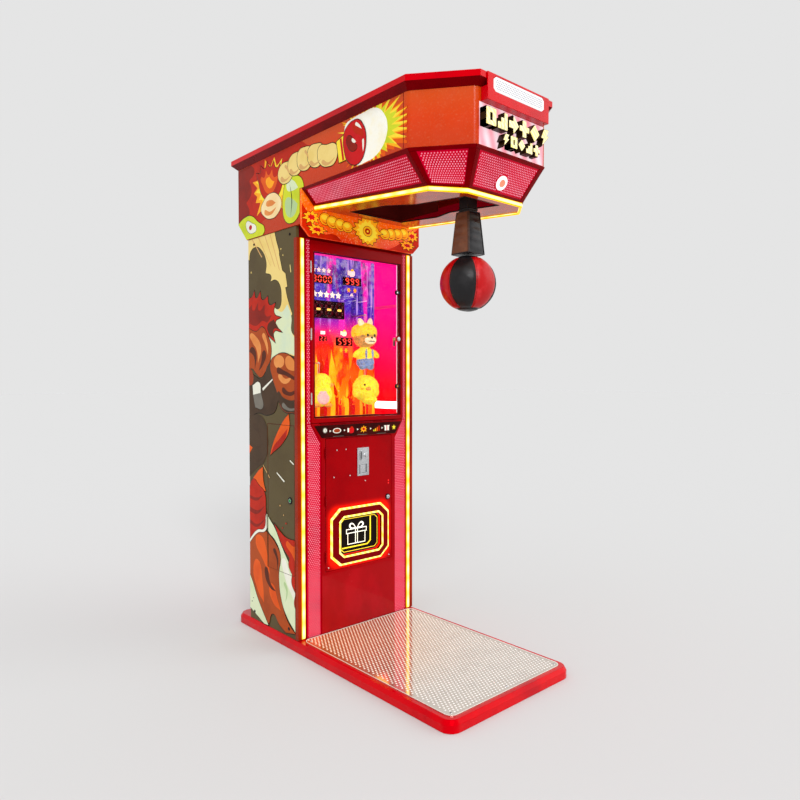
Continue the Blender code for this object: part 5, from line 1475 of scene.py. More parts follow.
# ======================================================================
# prizes
# ======================================================================
@remembered
def plush(name, colour, tuft):
    """Short-pile plush, with painted highlights on the raised pile, painted shade in the hollows between tufts and a
    glow of painted light.
    """
    material, tree, shader = blank_material(name)
    where = place_of(tree)[0]
    pile = speckle(tree, where, 260.0, 4.0)
    tufts = speckle(tree, where, 60.0, 4.0)
    share = calc(tree, "MULTIPLY", spread(tree, tufts, 0.38, 0.62), 0.8)
    colours = blend_colour(tree, share, colour, tuft)
    # painted highlight: pale yellow where the pile's bump stands highest
    colours = blend_colour(tree, spread(tree, pile, 0.35, 0.7, 0.0, 0.3), colours, shade("#fff7a0"))
    # painted shade: darker where the tufts' bump is lowest, in the hollows between tufts
    dark = tuple(c * 0.45 for c in tuft[:3]) + (1.0,)
    colours = blend_colour(tree, spread(tree, tufts, 0.46, 0.3, 0.0, 0.7), colours, dark)
    # painted light: the plush glows in its own colours, though no lamp is in it
    settle(shader, {"Base Color": colours, "Emission Color": colours, "Emission Strength": 0.55,
        "Roughness": spread(tree, pile, 0.2, 0.8, 0.8, 1.0), "Specular IOR Level": 0.05})
    height = calc(tree, "ADD", pile, calc(tree, "MULTIPLY", tufts, 2.0))
    bump(tree, shader, height, 0.7, 0.003)
    return material


def stuffed(data, centre, radii, material=0, detail=4, lump=0.05, fur=0.02, seam=None, tilt=0.0):
    """Add a soft stuffed form: a lumpy ball whose sides sag, with a sewn seam drawn in."""
    where = Matrix.Translation(centre) @ Matrix.Rotation(tilt, 4, "Y") @ Matrix.Diagonal((*radii, 1.0))
    made = bmesh.ops.create_icosphere(data, subdivisions=detail, radius=1.0)["verts"]
    for vert in made:
        way = vert.co.normalized()
        reach = 1.0 + lump * noise.noise(way * 2.3 + Vector(centre) * 40)
        reach += fur * noise.noise(way * 9.0) + fur * 0.7 * noise.noise(way * 21.0)
        reach += 0.035 * max(0.0, -way.z) * (1.0 - abs(way.z))
        if seam is not None:
            reach -= 0.05 * math.exp(-((way.dot(seam)) / 0.07) ** 2)
        vert.co = way * reach
    bmesh.ops.transform(data, matrix=where, verts=made)
    for face in {f for v in made for f in v.link_faces}:
        face.material_index = material
    return data


def build_prizes():
    """A capped bear and two chicks, each a padded toy with its own hang loop."""
    yellow = plush("yellow_plush", tint("plush"), shade("#d8b000"))
    brown = plush("brown_plush", shade("#d08a3c"), shade("#8a5220"))
    cream = plush("cream_plush", shade("#fff0cc"), shade("#d8bf90"))
    denim = plush("blue_cloth", shade("#6f8fd0"), shade("#34508c"))
    dark = coated("toy_eye", shade("#0c0a0a"), shade("#1c1614"), 0.12, coat=1.0)
    orange = plush("orange_plush", shade("#f08a1c"), shade("#c86410"))
    blush = plush("pink_plush", shade("#f2a8b0"), shade("#e08a98"))
    low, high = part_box("plush_bear")
    x, y = (low.x + high.x) / 2, (low.y + high.y) / 2
    side = Vector((1, 0, 0))
    bear = bmesh.new()
    stuffed(bear, (x, y, 1.43), (0.06, 0.054, 0.05), 1, seam=side)
    stuffed(bear, (x, y + 0.006, 1.458), (0.066, 0.06, 0.048), 0, fur=0.09, detail=5)
    for dx, tilt in ((-0.034, -0.7), (0.02, 0.25)):
        stuffed(bear, (x + dx, y - 0.014, 1.502), (0.017, 0.009, 0.028), 2, 3, tilt=tilt)
    stuffed(bear, (x, y - 0.044, 1.418), (0.036, 0.014, 0.02), 2, 4)
    stuffed(bear, (x, y - 0.0545, 1.412), (0.024, 0.006, 0.003), 4, 3, lump=0, fur=0)
    stuffed(bear, (x, y, 1.335), (0.046, 0.04, 0.056), 0, fur=0.04, seam=side)
    stuffed(bear, (x, y - 0.002, 1.312), (0.047, 0.042, 0.036), 3, 4, seam=side)
    for sign in (-1, 1):
        stuffed(bear, (x + sign * 0.054, y - 0.01, 1.352), (0.016, 0.015, 0.032), 0, 4, tilt=-sign * 1.0, fur=0.06)
        stuffed(bear, (x + sign * 0.02, y - 0.036, 1.35), (0.0055, 0.006, 0.026), 3, 3)
        stuffed(bear, (x + sign * 0.026, y - 0.012, 1.286), (0.017, 0.019, 0.016), 3, 3)
        stuffed(bear, (x + sign * 0.022, y - 0.0505, 1.442), (0.0062, 0.004, 0.0072), 4, 3, lump=0, fur=0)
    stuffed(bear, (x, y - 0.057, 1.43), (0.007, 0.005, 0.005), 4, 3, lump=0, fur=0)
    toy = publish(bear, "plush_bear_toy", [yellow, brown, cream, denim, dark], "cabinet",
        ("plush_bear",), smooth=180)
    low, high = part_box("plush_chick_lower")
    x, y = (low.x + high.x) / 2, (low.y + high.y) / 2
    chick = bmesh.new()
    stuffed(chick, (x, y, 1.178), (0.069, 0.058, 0.066), 0, 5, fur=0.06, seam=side)
    stuffed(chick, (x + 0.01, y - 0.016, 1.12), (0.04, 0.034, 0.024), 0, 4, fur=0.06)
    stuffed(chick, (x - 0.028, y - 0.054, 1.176), (0.016, 0.01, 0.009), 3, 3)
    for dx in (-0.045, -0.006):
        stuffed(chick, (x + dx, y - 0.0475, 1.196), (0.005, 0.005, 0.0056), 2, 3, lump=0, fur=0)
    for sign in (-1, 1):
        stuffed(chick, (x + sign * 0.062, y, 1.16), (0.014, 0.024, 0.028), 0, 4, fur=0.05)
    toy = publish(chick, "plush_chick_lower_toy", [yellow, orange, dark, orange], "cabinet",
        ("plush_chick_lower",), smooth=180)
    low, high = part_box("plush_chick_left")
    x, y = (low.x + high.x) / 2, (low.y + high.y) / 2
    duck = bmesh.new()
    stuffed(duck, (x, y, 1.15), (0.068, 0.056, 0.058), 0, 5, fur=0.04, seam=side)
    stuffed(duck, (x + 0.014, y - 0.006, 1.208), (0.047, 0.043, 0.044), 0, 5, fur=0.04, seam=side)
    stuffed(duck, (x + 0.056, y - 0.022, 1.196), (0.017, 0.015, 0.009), 1, 3)
    stuffed(duck, (x + 0.036, y - 0.038, 1.218), (0.005, 0.004, 0.0055), 2, 3, lump=0, fur=0)
    stuffed(duck, (x - 0.004, y - 0.046, 1.138), (0.034, 0.014, 0.034), 3, 4)
    stuffed(duck, (x + 0.036, y - 0.03, 1.1), (0.02, 0.022, 0.01), 1, 3)
    stuffed(duck, (x - 0.03, y - 0.03, 1.1), (0.02, 0.022, 0.01), 1, 3)
    toy = publish(duck, "plush_chick_left_toy", [yellow, orange, dark, blush], "cabinet",
        ("plush_chick_left",), smooth=180)
    build_hangers()


def build_hangers():
    """Hang loops from the pegs to the toys."""
    strings = []
    for x, top, bottom in ((0.134, 1.5495, 1.498), (-0.15, 1.3045, 1.246), (0.134, 1.288, 1.24)):
        points = [(x - 0.003, 0.326, bottom), (x - 0.005, 0.324, (top + bottom) / 2), (x, 0.323, top),
            (x + 0.005, 0.324, (top + bottom) / 2), (x + 0.003, 0.326, bottom)]
        strings.append(tube(points, 0.0009))
    publish(joined(strings), "toy_hang_loops", coated("loop_white", shade("#efe9dc"), shade("#cfc6b0"), 0.7, 0.1),
        "cabinet")


# ======================================================================
# head
# ======================================================================
HEAD_TOP_PATH = ((-0.35, 0.1575), (-0.35, -0.52), (-0.198, -0.716), (0.198, -0.716), (0.35, -0.52), (0.35, 0.1575))
HEAD_FOOT_PATH = ((-0.287, 0.1575), (-0.268, -0.542), (-0.158, -0.64), (0.158, -0.64), (0.268, -0.542),
    (0.287, 0.1575))
HEAD_EDGE = 2.052


def foot_level(y):
    """Height of the head's lower edge, which rises towards the back."""
    return 1.93 + 0.08 * (y + 0.542)


class Skin:
    """One leaning panel of the ring under the head, as a ruled surface of (along, down) from 0 to 1."""

    def __init__(self, index):
        (ax, ay), (bx, by) = HEAD_TOP_PATH[index:index + 2]
        (cx, cy), (dx, dy) = HEAD_FOOT_PATH[index:index + 2]
        self.corners = [Vector(c) for c in ((ax, ay, HEAD_EDGE), (bx, by, HEAD_EDGE), (cx, cy, foot_level(cy)),
            (dx, dy, foot_level(dy)))]
        a, b, c, d = self.corners
        self.length = ((b - a).length + (d - c).length) / 2
        self.depth = ((c - a).length + (d - b).length) / 2

    def point(self, u, v, lift=0.0):
        """A point of the panel, raised off it by a height."""
        a, b, c, d = self.corners
        along = (b - a).lerp(d - c, v)
        down = (c - a).lerp(d - b, u)
        outward = down.cross(along).normalized()
        middle = Vector((0, -0.2, 2.0))
        spot = a.lerp(b, u).lerp(c.lerp(d, u), v)
        if outward.dot(spot - middle) < 0:
            outward = -outward
        return spot + outward * lift


def swept(data, section_at, steps, material=0):
    """Add a closed section carried along a path, with capped ends."""
    rows = [[data.verts.new(p) for p in section_at(step / steps)] for step in range(steps + 1)]
    faces = []
    for before, after in zip(rows, rows[1:]):
        for a, b, c, d in zip(before, before[1:] + before[:1], after[1:] + after[:1], after):
            faces.append(data.faces.new((a, b, c, d)))
    faces += [data.faces.new(rows[0]), data.faces.new(list(reversed(rows[-1])))]
    for face in faces:
        face.material_index = material
    return data


def rib(data, skin, u, v, lift=0.0024):
    """Add a raised rib of a panel, between two values of u and two of v."""
    across_u = (u[1] - u[0]) * skin.length < (v[1] - v[0]) * skin.depth
    low, high = u if across_u else v
    edge = 0.0016 / (skin.length if across_u else skin.depth)
    profile = ((low, -0.002), (low, lift * 0.5), (low + edge, lift), (high - edge, lift), (high, lift * 0.5),
        (high, -0.002))

    def section(t):
        if across_u:
            return [skin.point(w, v[0] + (v[1] - v[0]) * t, h) for w, h in profile]
        return [skin.point(u[0] + (u[1] - u[0]) * t, w, h) for w, h in profile]
    return swept(data, section, 8)


def head_orange():
    """Warm orange print of the head, with lighter halftone clouds."""
    return fading("head_orange", [shade("#c03400"), tint("orange"), shade("#d24a04")], "z", 2.04, 2.26,
        shade("#c83800"), 0.26, flecks=0.05)


def build_head():
    """The printed cheeks, the bent front, the rear cover, the lid and the fascia."""
    for node in ("head_side_left", "head_side_right", "head_rear_cover"):
        refined(node, head_orange(), 0.001, 2)
    # painted light: the fascia board glows, and its inks below glow too, brightening it beyond what the studio lights
    # give
    fire = fading("fascia_fire", [shade("#e02800"), shade("#ff6a00"), shade("#d81a00")], "z", 1.85, 2.04,
        shade("#ff9a10"), 0.28, glow=0.35, flecks=0.3)
    refined("fascia", fire, 0.001, 2)
    shell = merged("head_front_shell")
    soften(shell, 0.013, 5, 20.0, lambda edge: abs((edge.verts[0].co - edge.verts[1].co).normalized().z) > 0.9
        and min(v.co.y for v in edge.verts) < -0.503 and edge.calc_face_angle(0) < math.radians(75))
    publish(shell, "head_front_shell_finished", head_orange(), "cabinet", ("head_front_shell",))
    lid = merged("roof_rim")
    soften(lid, 0.0035, 3, 20.0)
    # painted shade: the rim's downward faces low on the lid take the darker cove red instead of the gloss red
    for face in lid.faces:
        middle, normal = face.calc_center_median(), face.normal
        face.material_index = 1 if middle.z < 2.2775 and normal.z < -0.3 else 0
    publish(lid, "roof_rim_finished", [red_gloss(), cove_red()], "cabinet", ("roof_rim",))
    seam = bmesh.new()
    for x in (-0.3503, 0.3503):
        block(seam, (x - 0.0003, -0.5012, 2.054), (x + 0.0003, -0.4988, 2.2522))
    for x in (-0.326, 0.326):
        for z in (2.085, 2.15, 2.215):
            turned(seam, [(0.0, 0.0016), (0.0035, 0.0014), (0.005, 0.0), (0.0, 0.0)], (x, 0.7202, z), BACK, 14)
    publish(seam, "head_seams", cove_red(), "cabinet")
    for name, x, out in (("left", -0.35, LEFT), ("right", 0.35, RIGHT)):
        board = Print(Vector((x, 0, 0)) + out * 0.0001, (0, 1, 0), (0, 0, 1), out)
        printed(board, HEAD_ART)
        data = board.done([((0, 0.7185, 0), BACK), ((0, -0.519, 0), FRONT), ((0, 0, 2.2515), UP),
            ((0, 0, 1.902), -UP), ((0, 0.7185, 1.986), Vector((0, 0.85, -0.8)))])
        data = cut_out(data, (0, -0.6, 1.8), (0, 0.1735, 2.0535), 0.0, (1, 2))[1]
        print_piece(data, f"head_print_{name}", inks(), "cabinet")
    board = Print((0, 0.1579, 0), RIGHT, UP, FRONT)
    printed(board, fascia_art())
    data = board.done([((0, 0, 1.851), -UP), ((0.308, 0, 1.85), Vector((0.707, 0, -0.707))),
        ((-0.308, 0, 1.85), Vector((-0.707, 0, -0.707))), ((0.3492, 0, 0), RIGHT), ((-0.3492, 0, 0), LEFT),
        ((0, 0, 1.988), UP)])
    # painted light: the fascia's inks glow like the board under them
    print_piece(data, "fascia_print", [flat_ink(f"bright_{name}", code, other, 0.35) for name, code, other in INKS],
        "cabinet")


HEAD_ART = (
    # warm haze towards the back, and the flare of the blow
    ("flame", 0.0, [(720, 2255, 1), (160, 2255, 1), (105, 2205), (150, 2120, 1), (235, 2130), (180, 2055, 1),
        (720, 1900, 1)]),
    ("ember", 0.0, [(720, 2255, 1), (600, 2255, 1), (560, 2215), (610, 2180, 1), (590, 2120), (640, 2080, 1),
        (610, 2030), (660, 1960, 1), (720, 1940, 1)]),
    ("orange", 0.0, burst(-0.325, 2.155, 0.25, 0.13, 0.66, 23, 12)),
    ("gold", 0.0, burst(-0.325, 2.158, 0.232, 0.118, 0.62, 25, 8)),
    ("yellow", 0.0, burst(-0.32, 2.16, 0.212, 0.11, 0.64, 27, 15)),
    ("lime", 0.0, burst(-0.318, 2.158, 0.165, 0.096, 0.74, 21, 3)),
    ("white", 0.0, [(-153, 2227), (-210, 2246), (-267, 2249), (-347, 2245), (-396, 2205), (-412, 2162), (-404, 2120),
        (-382, 2090), (-340, 2066), (-294, 2058), (-210, 2068)]),
    # curl of flame at the shoulder
    ("gold", 0.0, burst(0.4, 2.11, 0.185, 0.13, 0.72, 15, 21)),
    ("yellow", 0.0, burst(0.398, 2.112, 0.15, 0.108, 0.7, 15, 5)),
    ("flame", 0.003, [(540, 2200, 1), (505, 2195), (500, 2225, 1), (462, 2205), (445, 2232, 1), (415, 2200),
        (385, 2222, 1), (365, 2185), (330, 2198, 1), (330, 2150), (300, 2148, 1), (315, 2100), (350, 2060),
        (400, 2045), (455, 2060), (500, 2100), (520, 2150)]),
    ("orange", 0.0, [(500, 2172), (468, 2165), (455, 2196, 1), (430, 2168), (400, 2188, 1), (385, 2150),
        (348, 2150, 1), (368, 2105), (410, 2080), (455, 2095), (482, 2130)]),
    ("gold", 0.0, [(455, 2150), (425, 2160, 1), (402, 2138), (380, 2128, 1), (410, 2105), (442, 2118)]),
    ("skin", 0.003, [(470, 2060), (420, 2080), (352, 2062), (322, 2018), (352, 1978), (410, 1965), (470, 1985),
        (500, 2022)]),
    ("peach", 0.0, [(455, 2040), (410, 2050), (370, 2030, 1), (410, 2022)]),
    ("peach", 0.0, [(470, 2008), (420, 1998), (362, 2010, 1), (415, 1982)]),
    ("lime", 0.003, [(270, 2125), (215, 2120), (150, 2082), (148, 2010), (187, 1935), (235, 1915), (290, 1935),
        (310, 2000), (300, 2070)]),
    ("mint", 0.0, [(268, 2105), (222, 2098), (185, 2060, 1), (228, 2055), (275, 2070)]),
    ("leaf", 0.0, [(280, 2030), (232, 2020), (190, 1990, 1), (210, 1950), (262, 1945), (290, 1985)]),
    ("line", 0.0, [(252, 2090, 1), (238, 2020), (246, 1940, 1), (232, 2020)]),
    ("lime", 0.003, [(720, 1990, 1), (660, 2010), (594, 2009), (530, 1970), (470, 1924), (500, 1895, 1),
        (650, 1895, 1)]),
    ("linen", 0.002, [(640, 1985), (590, 1975), (545, 1940), (575, 1925), (630, 1945)]),
    ("crimson", 0.0, oval(0.6, 1.955, 0.014, 0.012, 6)),
    # arm of rounded muscles
    ("cream", 0.003, [(330, 2182), (285, 2192), (242, 2180), (222, 2150), (238, 2112), (286, 2098), (330, 2115),
        (348, 2150)]),
    ("cream", 0.003, [(250, 2200), (205, 2214), (160, 2200), (145, 2165), (168, 2125), (215, 2118), (255, 2140),
        (265, 2172)]),
    ("cream", 0.003, [(180, 2212), (130, 2220), (85, 2206), (70, 2168), (95, 2128), (140, 2122), (180, 2145),
        (190, 2182)]),
    ("cream", 0.003, [(100, 2206), (45, 2212), (0, 2196), (-12, 2160), (12, 2122), (62, 2118), (98, 2142),
        (110, 2176)]),
    ("cream", 0.003, [(25, 2192), (-30, 2188), (-90, 2176), (-104, 2142), (-85, 2104), (-40, 2098), (10, 2116),
        (34, 2152)]),
    ("sand", 0.0, [(320, 2135), (290, 2118), (245, 2124, 1), (285, 2108), (325, 2120)]),
    ("sand", 0.0, [(245, 2152), (215, 2134), (165, 2144, 1), (205, 2125), (250, 2138)]),
    ("sand", 0.0, [(170, 2155), (135, 2138), (90, 2148, 1), (130, 2128), (172, 2142)]),
    ("sand", 0.0, [(90, 2150), (55, 2134), (8, 2142, 1), (50, 2124), (92, 2136)]),
    ("sand", 0.0, [(5, 2130), (-40, 2114), (-90, 2124, 1), (-45, 2104), (0, 2116)]),
    ("sand", 0.0, [(290, 2178), (262, 2160), (252, 2130, 1), (272, 2156)]),
    ("sand", 0.0, [(130, 2205), (108, 2185), (100, 2160, 1), (116, 2182)]),
    # glove
    ("yellow", 0.003, [(-98, 2182, 1), (-148, 2196, 1), (-172, 2096, 1), (-116, 2094, 1)]),
    ("crimson", 0.0, [(-120, 2187, 1), (-132, 2190, 1), (-150, 2098, 1), (-138, 2096, 1)]),
    ("crimson", 0.003, [(-150, 2201), (-176, 2226), (-211, 2235), (-246, 2228), (-268, 2205), (-284, 2174),
        (-287, 2139), (-280, 2102), (-262, 2074), (-234, 2062), (-200, 2068), (-172, 2088), (-156, 2115)]),
    ("flame", 0.0, [(-205, 2222), (-238, 2218), (-262, 2194), (-270, 2160), (-248, 2170), (-215, 2190)]),
    ("ember", 0.002, [(-168, 2180), (-176, 2140), (-205, 2118), (-232, 2126), (-214, 2150), (-190, 2182)]),
    ("linen", 0.0, [(-222, 2222), (-246, 2212), (-262, 2190, 1), (-242, 2202)]),
    ("linen", 0.0, [(-270, 2150), (-276, 2128), (-270, 2100, 1), (-266, 2128)]),
    ("linen", 0.0, [(-200, 2168), (-214, 2148), (-226, 2150, 1), (-212, 2164)]),
)


def fascia_art():
    """A sunburst between two arms of rounded muscles, with flames at the ends."""
    shapes = [("flame", 0.0, [(-0.35, 1.988, 1), (-0.35, 1.85, 1), (-0.13, 1.85, 1), (-0.175, 1.876),
        (-0.23, 1.868, 1), (-0.25, 1.9), (-0.3, 1.905, 1), (-0.28, 1.945), (-0.325, 1.96, 1)]),
        ("flame", 0.0, [(0.35, 1.988, 1), (0.32, 1.96), (0.275, 1.952, 1), (0.285, 1.915), (0.235, 1.9, 1),
        (0.19, 1.87), (0.14, 1.85, 1), (0.35, 1.85, 1)])]
    for side in (-1, 1):
        for x, z, wide, tall, turn in ((0.3, 1.935, 0.046, 0.03, 3), (0.27, 1.885, 0.052, 0.024, 9)):
            shapes.append(("gold", 0.002, burst(side * x, z, wide, tall, 0.6, 9, turn)))
            shapes.append(("crimson", 0.0, burst(side * x, z, wide * 0.55, tall * 0.5, 0.6, 7, turn)))
        for x, z, wide, tall in ((0.236, 1.938, 0.03, 0.026), (0.196, 1.93, 0.032, 0.026),
            (0.152, 1.924, 0.03, 0.027), (0.112, 1.92, 0.03, 0.023)):
            x = side * x + 0.01
            shapes.append(("gold", 0.0022, oval(x, z, wide, tall, 8)))
            shapes.append(("yellow", 0.0, oval(x - 0.004, z + 0.007, wide * 0.6, tall * 0.45, 8)))
            shapes.append(("flame", 0.0, [(x - wide * 0.7, z - tall * 0.3, 1), (x, z - tall * 0.62),
                (x + wide * 0.7, z - tall * 0.3, 1), (x, z - tall * 0.8)]))
    shapes += [("gold", 0.0025, burst(0.016, 1.918, 0.08, 0.066, 0.8, 16, 2)),
        ("yellow", 0.0, burst(0.016, 1.918, 0.062, 0.052, 0.8, 14, 9)), ("gold", 0.0022,
        oval(0.016, 1.918, 0.026, 0.023, 8)), ("flame", 0.0018, oval(0.016, 1.918, 0.014, 0.012, 8)),
        ("yellow", 0.0, oval(0.016, 1.918, 0.006, 0.005, 6))]
    return shapes


# ======================================================================
# lights of the head
# ======================================================================
def build_head_lights():
    """The pink panels in their ribs, the lit holes, the light strip, the floor and the well."""
    ribs, sheets = bmesh.new(), {name: bmesh.new() for name in ("left", "corner", "front", "right")}
    dots = []
    for index in range(5):
        skin = Skin(index)
        sheet = sheets[("left", "corner", "front", "corner", "right")[index]]
        swept(sheet, lambda t, s=skin: [s.point(t, v, h) for v, h in ((0.004, 0.0), (0.34, 0.0), (0.67, 0.0),
            (0.996, 0.0), (0.996, -0.0075), (0.004, -0.0075))], 10)
        wide, tall = 0.021 / skin.length, 0.019 / skin.depth
        rib(ribs, skin, (0.0, 1.0), (0.004, tall * 0.8))
        rib(ribs, skin, (0.0, 1.0), (1 - tall * 0.5, 0.998))
        rib(ribs, skin, (0.0, wide), (tall * 0.8, 1 - tall * 0.5))
        rib(ribs, skin, (1 - wide, 1.0), (tall * 0.8, 1 - tall * 0.5))
        dots.append(panel_dots(skin, wide, tall))
    for name, sheet in sheets.items():
        if name == "front":
            point, normal = button_place()
            publish_with_hole(sheet, f"head_panel_{name}", point, normal)
        else:
            publish(sheet, f"head_panel_{name}", grille_finish(), "cabinet",
                () if name == "corner" else (f"head_grille_{name}",), smooth=20)
    publish(ribs, "head_ribs", cove_red(), "cabinet")
    publish(joined(dots), "head_dots", dot_finish(), "cabinet", smooth=None)
    strip_piece("head_light_strip", warm_lamp("y"), 0.0045)
    # painted light: the head's underside is coloured warm orange and glows, standing in for the fascia's colours
    # mirrored in its gloss
    floor = coated("underside_board", shade("#b03c10"), shade("#6c1406"), 0.14, 0.12, (3.0, 0.8), glow=0.3,
        specular=0.12)
    refined("underside_plate", floor, 0.0, 1)
    refined("recess_liner", coated("well_board", shade("#5a1410"), shade("#3a0a0a"), 0.35, 0.15), 0.0, 1)
    right = [(0.1, -0.57), (0.1, -0.3), (0.152, -0.17), (0.152, 0.072)]
    loop = right + [(-x, y) for x, y in reversed(right)]
    edge = bmesh.new()
    for (ax, ay), (bx, by) in zip(loop, loop[1:] + loop[:1]):
        rod(edge, (ax, ay, foot_level(ay) - 0.0115), (bx, by, foot_level(by) - 0.0115), 0.003, segments=12)
    publish(edge, "ball_well_trim", black(), "cabinet")


def panel_dots(skin, wide, tall):
    """Rows of small lit holes on one leaning panel."""
    data = bmesh.new()
    pitch, radius = 0.0098, 0.003
    rows, columns = int(skin.depth / (pitch * 0.87)), int(skin.length / pitch)
    for row in range(rows + 1):
        for column in range(columns + 1):
            u = (column + 0.5 * (row % 2)) * pitch / skin.length
            v = row * pitch * 0.87 / skin.depth
            gap = 0.004
            if not (wide + gap / skin.length < u < 1 - wide - gap / skin.length and tall * 0.8
                + gap / skin.depth < v < 1 - tall * 0.5 - gap / skin.depth):
                continue
            spot = skin.point(u, v, 0.0)
            outward = (skin.point(u, v, 1.0) - spot)
            point, _ = button_place()
            if (spot - point).length < 0.033:
                continue
            bmesh.ops.create_cone(data, cap_ends=True, segments=6, radius1=radius, radius2=radius * 0.92,
                depth=0.0016, matrix=facing(spot, outward))
    return data


def button_place():
    """The start button's place on the front panel and the way it faces."""
    skin = Skin(2)
    share = (HEAD_EDGE - 1.963) / (HEAD_EDGE - foot_level(-0.64))
    spot = skin.point(0.5, share)
    return spot, (skin.point(0.5, share, 1.0) - spot).normalized()


def publish_with_hole(data, name, point, normal):
    """A panel with a round hole cut for the button."""
    piece = publish(data, name, grille_finish(), "cabinet", ("head_grille_front",), smooth=20)
    cutter = bmesh.new()
    rod(cutter, point - normal * 0.03, point + normal * 0.03, 0.0146, segments=32)
    mesh = bpy.data.meshes.new("cutter")
    cutter.to_mesh(mesh)
    cutter.free()
    tool = bpy.data.objects.new("cutter", mesh)
    bpy.context.scene.collection.objects.link(tool)
    hole = piece.modifiers.new("hole", "BOOLEAN")
    hole.operation, hole.object, hole.solver = "DIFFERENCE", tool, "EXACT"
    bpy.context.view_layer.update()
    made = bpy.data.meshes.new_from_object(piece.evaluated_get(bpy.context.evaluated_depsgraph_get()))
    piece.modifiers.clear()
    piece.data = made
    bpy.data.objects.remove(tool, do_unlink=True)
    return piece


# ======================================================================
# marquee, sign and start button
# ======================================================================
def build_sign():
    """The dotted lamp box on the lid's edge, the lit sign under it and the start button."""
    refined("marquee_housing", red_gloss(), 0.0018, 3)
    refined("marquee_lens", lamp("matrix_face", shade("#ffffff"), shade("#f0eef6"), 0.8, (1, 0, 0), 0.05, 0.25),
        0.001, 2)
    low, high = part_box("marquee_lens")
    field = [(low.x + 0.006, low.z + 0.006), (high.x - 0.006, low.z + 0.006), (high.x - 0.006, high.z - 0.006),
        (low.x + 0.006, high.z - 0.006)]
    dots = studs([field], 0.0085, 0.0024, 0.0003, board_frame((0, low.y, 0), RIGHT, UP), 6, 0.9)
    publish(dots, "marquee_dots", coated("matrix_dot", shade("#8f8d98"), shade("#77757f"), 0.4), "cabinet",
        smooth=None)
    low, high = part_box("sign")
    halo = Print((0, -0.7161, 0), RIGHT, UP, FRONT)
    halo.add([(-0.205, 2.108), (-0.2, 2.062), (0.0, 2.052), (0.2, 2.062), (0.205, 2.108), (0.203, 2.196),
        (0.0, 2.206), (-0.203, 2.196)], 0)
    data = halo.done([((0, 0, 2.0535), -UP), ((0, 0, 2.2025), UP), ((0.186, 0, 0), RIGHT), ((-0.186, 0, 0), LEFT)])
    print_piece(data, "sign_halo", lamp("sign_halo", shade("#ffe0e8"), shade("#ff8a9c"), 0.85, (1, 0, 0.3), 0.06,
        0.7), "cabinet")
    places = [(kind, -0.156 + 0.0624 * index, 2.148, 0.029) for index, kind in enumerate((0, 4, 2, 3, 1, 5))]
    places += [(kind, -0.074 + 0.045 * index, 2.086, 0.0195) for index, kind in enumerate((5, 0, 1, 4, 3))]
    cases = joined([sign_icon(*place, 0.0028, high.y - low.y - 0.0012) for place in places])
    bmesh.ops.transform(cases, matrix=board_frame((0, high.y, 0), RIGHT, UP), verts=cases.verts)
    publish(cases, "sign_cases", coated("sign_case", shade("#2c1a08"), shade("#140a04"), 0.3, 0.12), "cabinet",
        ("sign",), smooth=30)
    data = joined([sign_icon(*place, 0.0, 0.0034) for place in places])
    bmesh.ops.transform(data, matrix=board_frame((0, low.y + 0.0014, 0), RIGHT, UP), verts=data.verts)
    publish(data, "sign_pictograms", lamp("sign_lamp", shade("#fff8c8"), shade("#ffe070"), 1.1, (1, 0, 1), 0.021,
        0.6), "cabinet", smooth=30)
    build_start_button()


GLYPHS = (((-0.85, -1, -0.3, 1), (0.3, -1, 0.85, 1), (-0.85, 0.52, 0.85, 1), (-0.85, -1, 0.85, -0.52)),
    ((-0.9, 0), (0, 1), (0.9, 0), (0, -1)), ((-0.85, 0.4), (0, 0.4), (0, 1), (0.92, 0), (0, -1), (0, -0.4),
    (-0.85, -0.4)), ((-0.3, 1), (0.3, 1), (0.3, 0.3), (0.9, 0.3), (0.9, -0.3), (0.3, -0.3), (0.3, -1), (-0.3, -1),
    (-0.3, -0.3), (-0.9, -0.3), (-0.9, 0.3), (-0.3, 0.3)), ((-0.85, -1, -0.4, -0.25), (-0.22, -1, 0.22, 0.35),
    (0.4, -1, 0.85, 1)), ((-0.1, 1), (0.75, 1), (0.25, 0.2), (0.75, 0.2), (-0.45, -1), (-0.15, -0.15),
    (-0.7, -0.15)))


def sign_icon(kind, x, z, size, grow, depth):
    """One raised block pictogram: frame, diamond, arrow, plus, bars or flash."""
    parts = []
    for shape in GLYPHS[kind] if len(GLYPHS[kind][0]) == 4 else (GLYPHS[kind],):
        if len(GLYPHS[kind][0]) == 4:
            corners = quad(x + size * shape[0], x + size * shape[2], z + size * shape[1], z + size * shape[3])
        else:
            corners = [(x + size * u, z + size * v, 1) for u, v in shape]
        part = flat_outline(corners, grow)
        bmesh.ops.dissolve_limit(part, angle_limit=0.02, verts=part.verts, edges=part.edges)
        grown = bmesh.ops.extrude_face_region(part, geom=part.faces[:])["geom"]
        bmesh.ops.translate(part, verts=[g for g in grown if isinstance(g, bmesh.types.BMVert)], vec=(0, 0, depth))
        parts.append(part)
    return joined(parts)


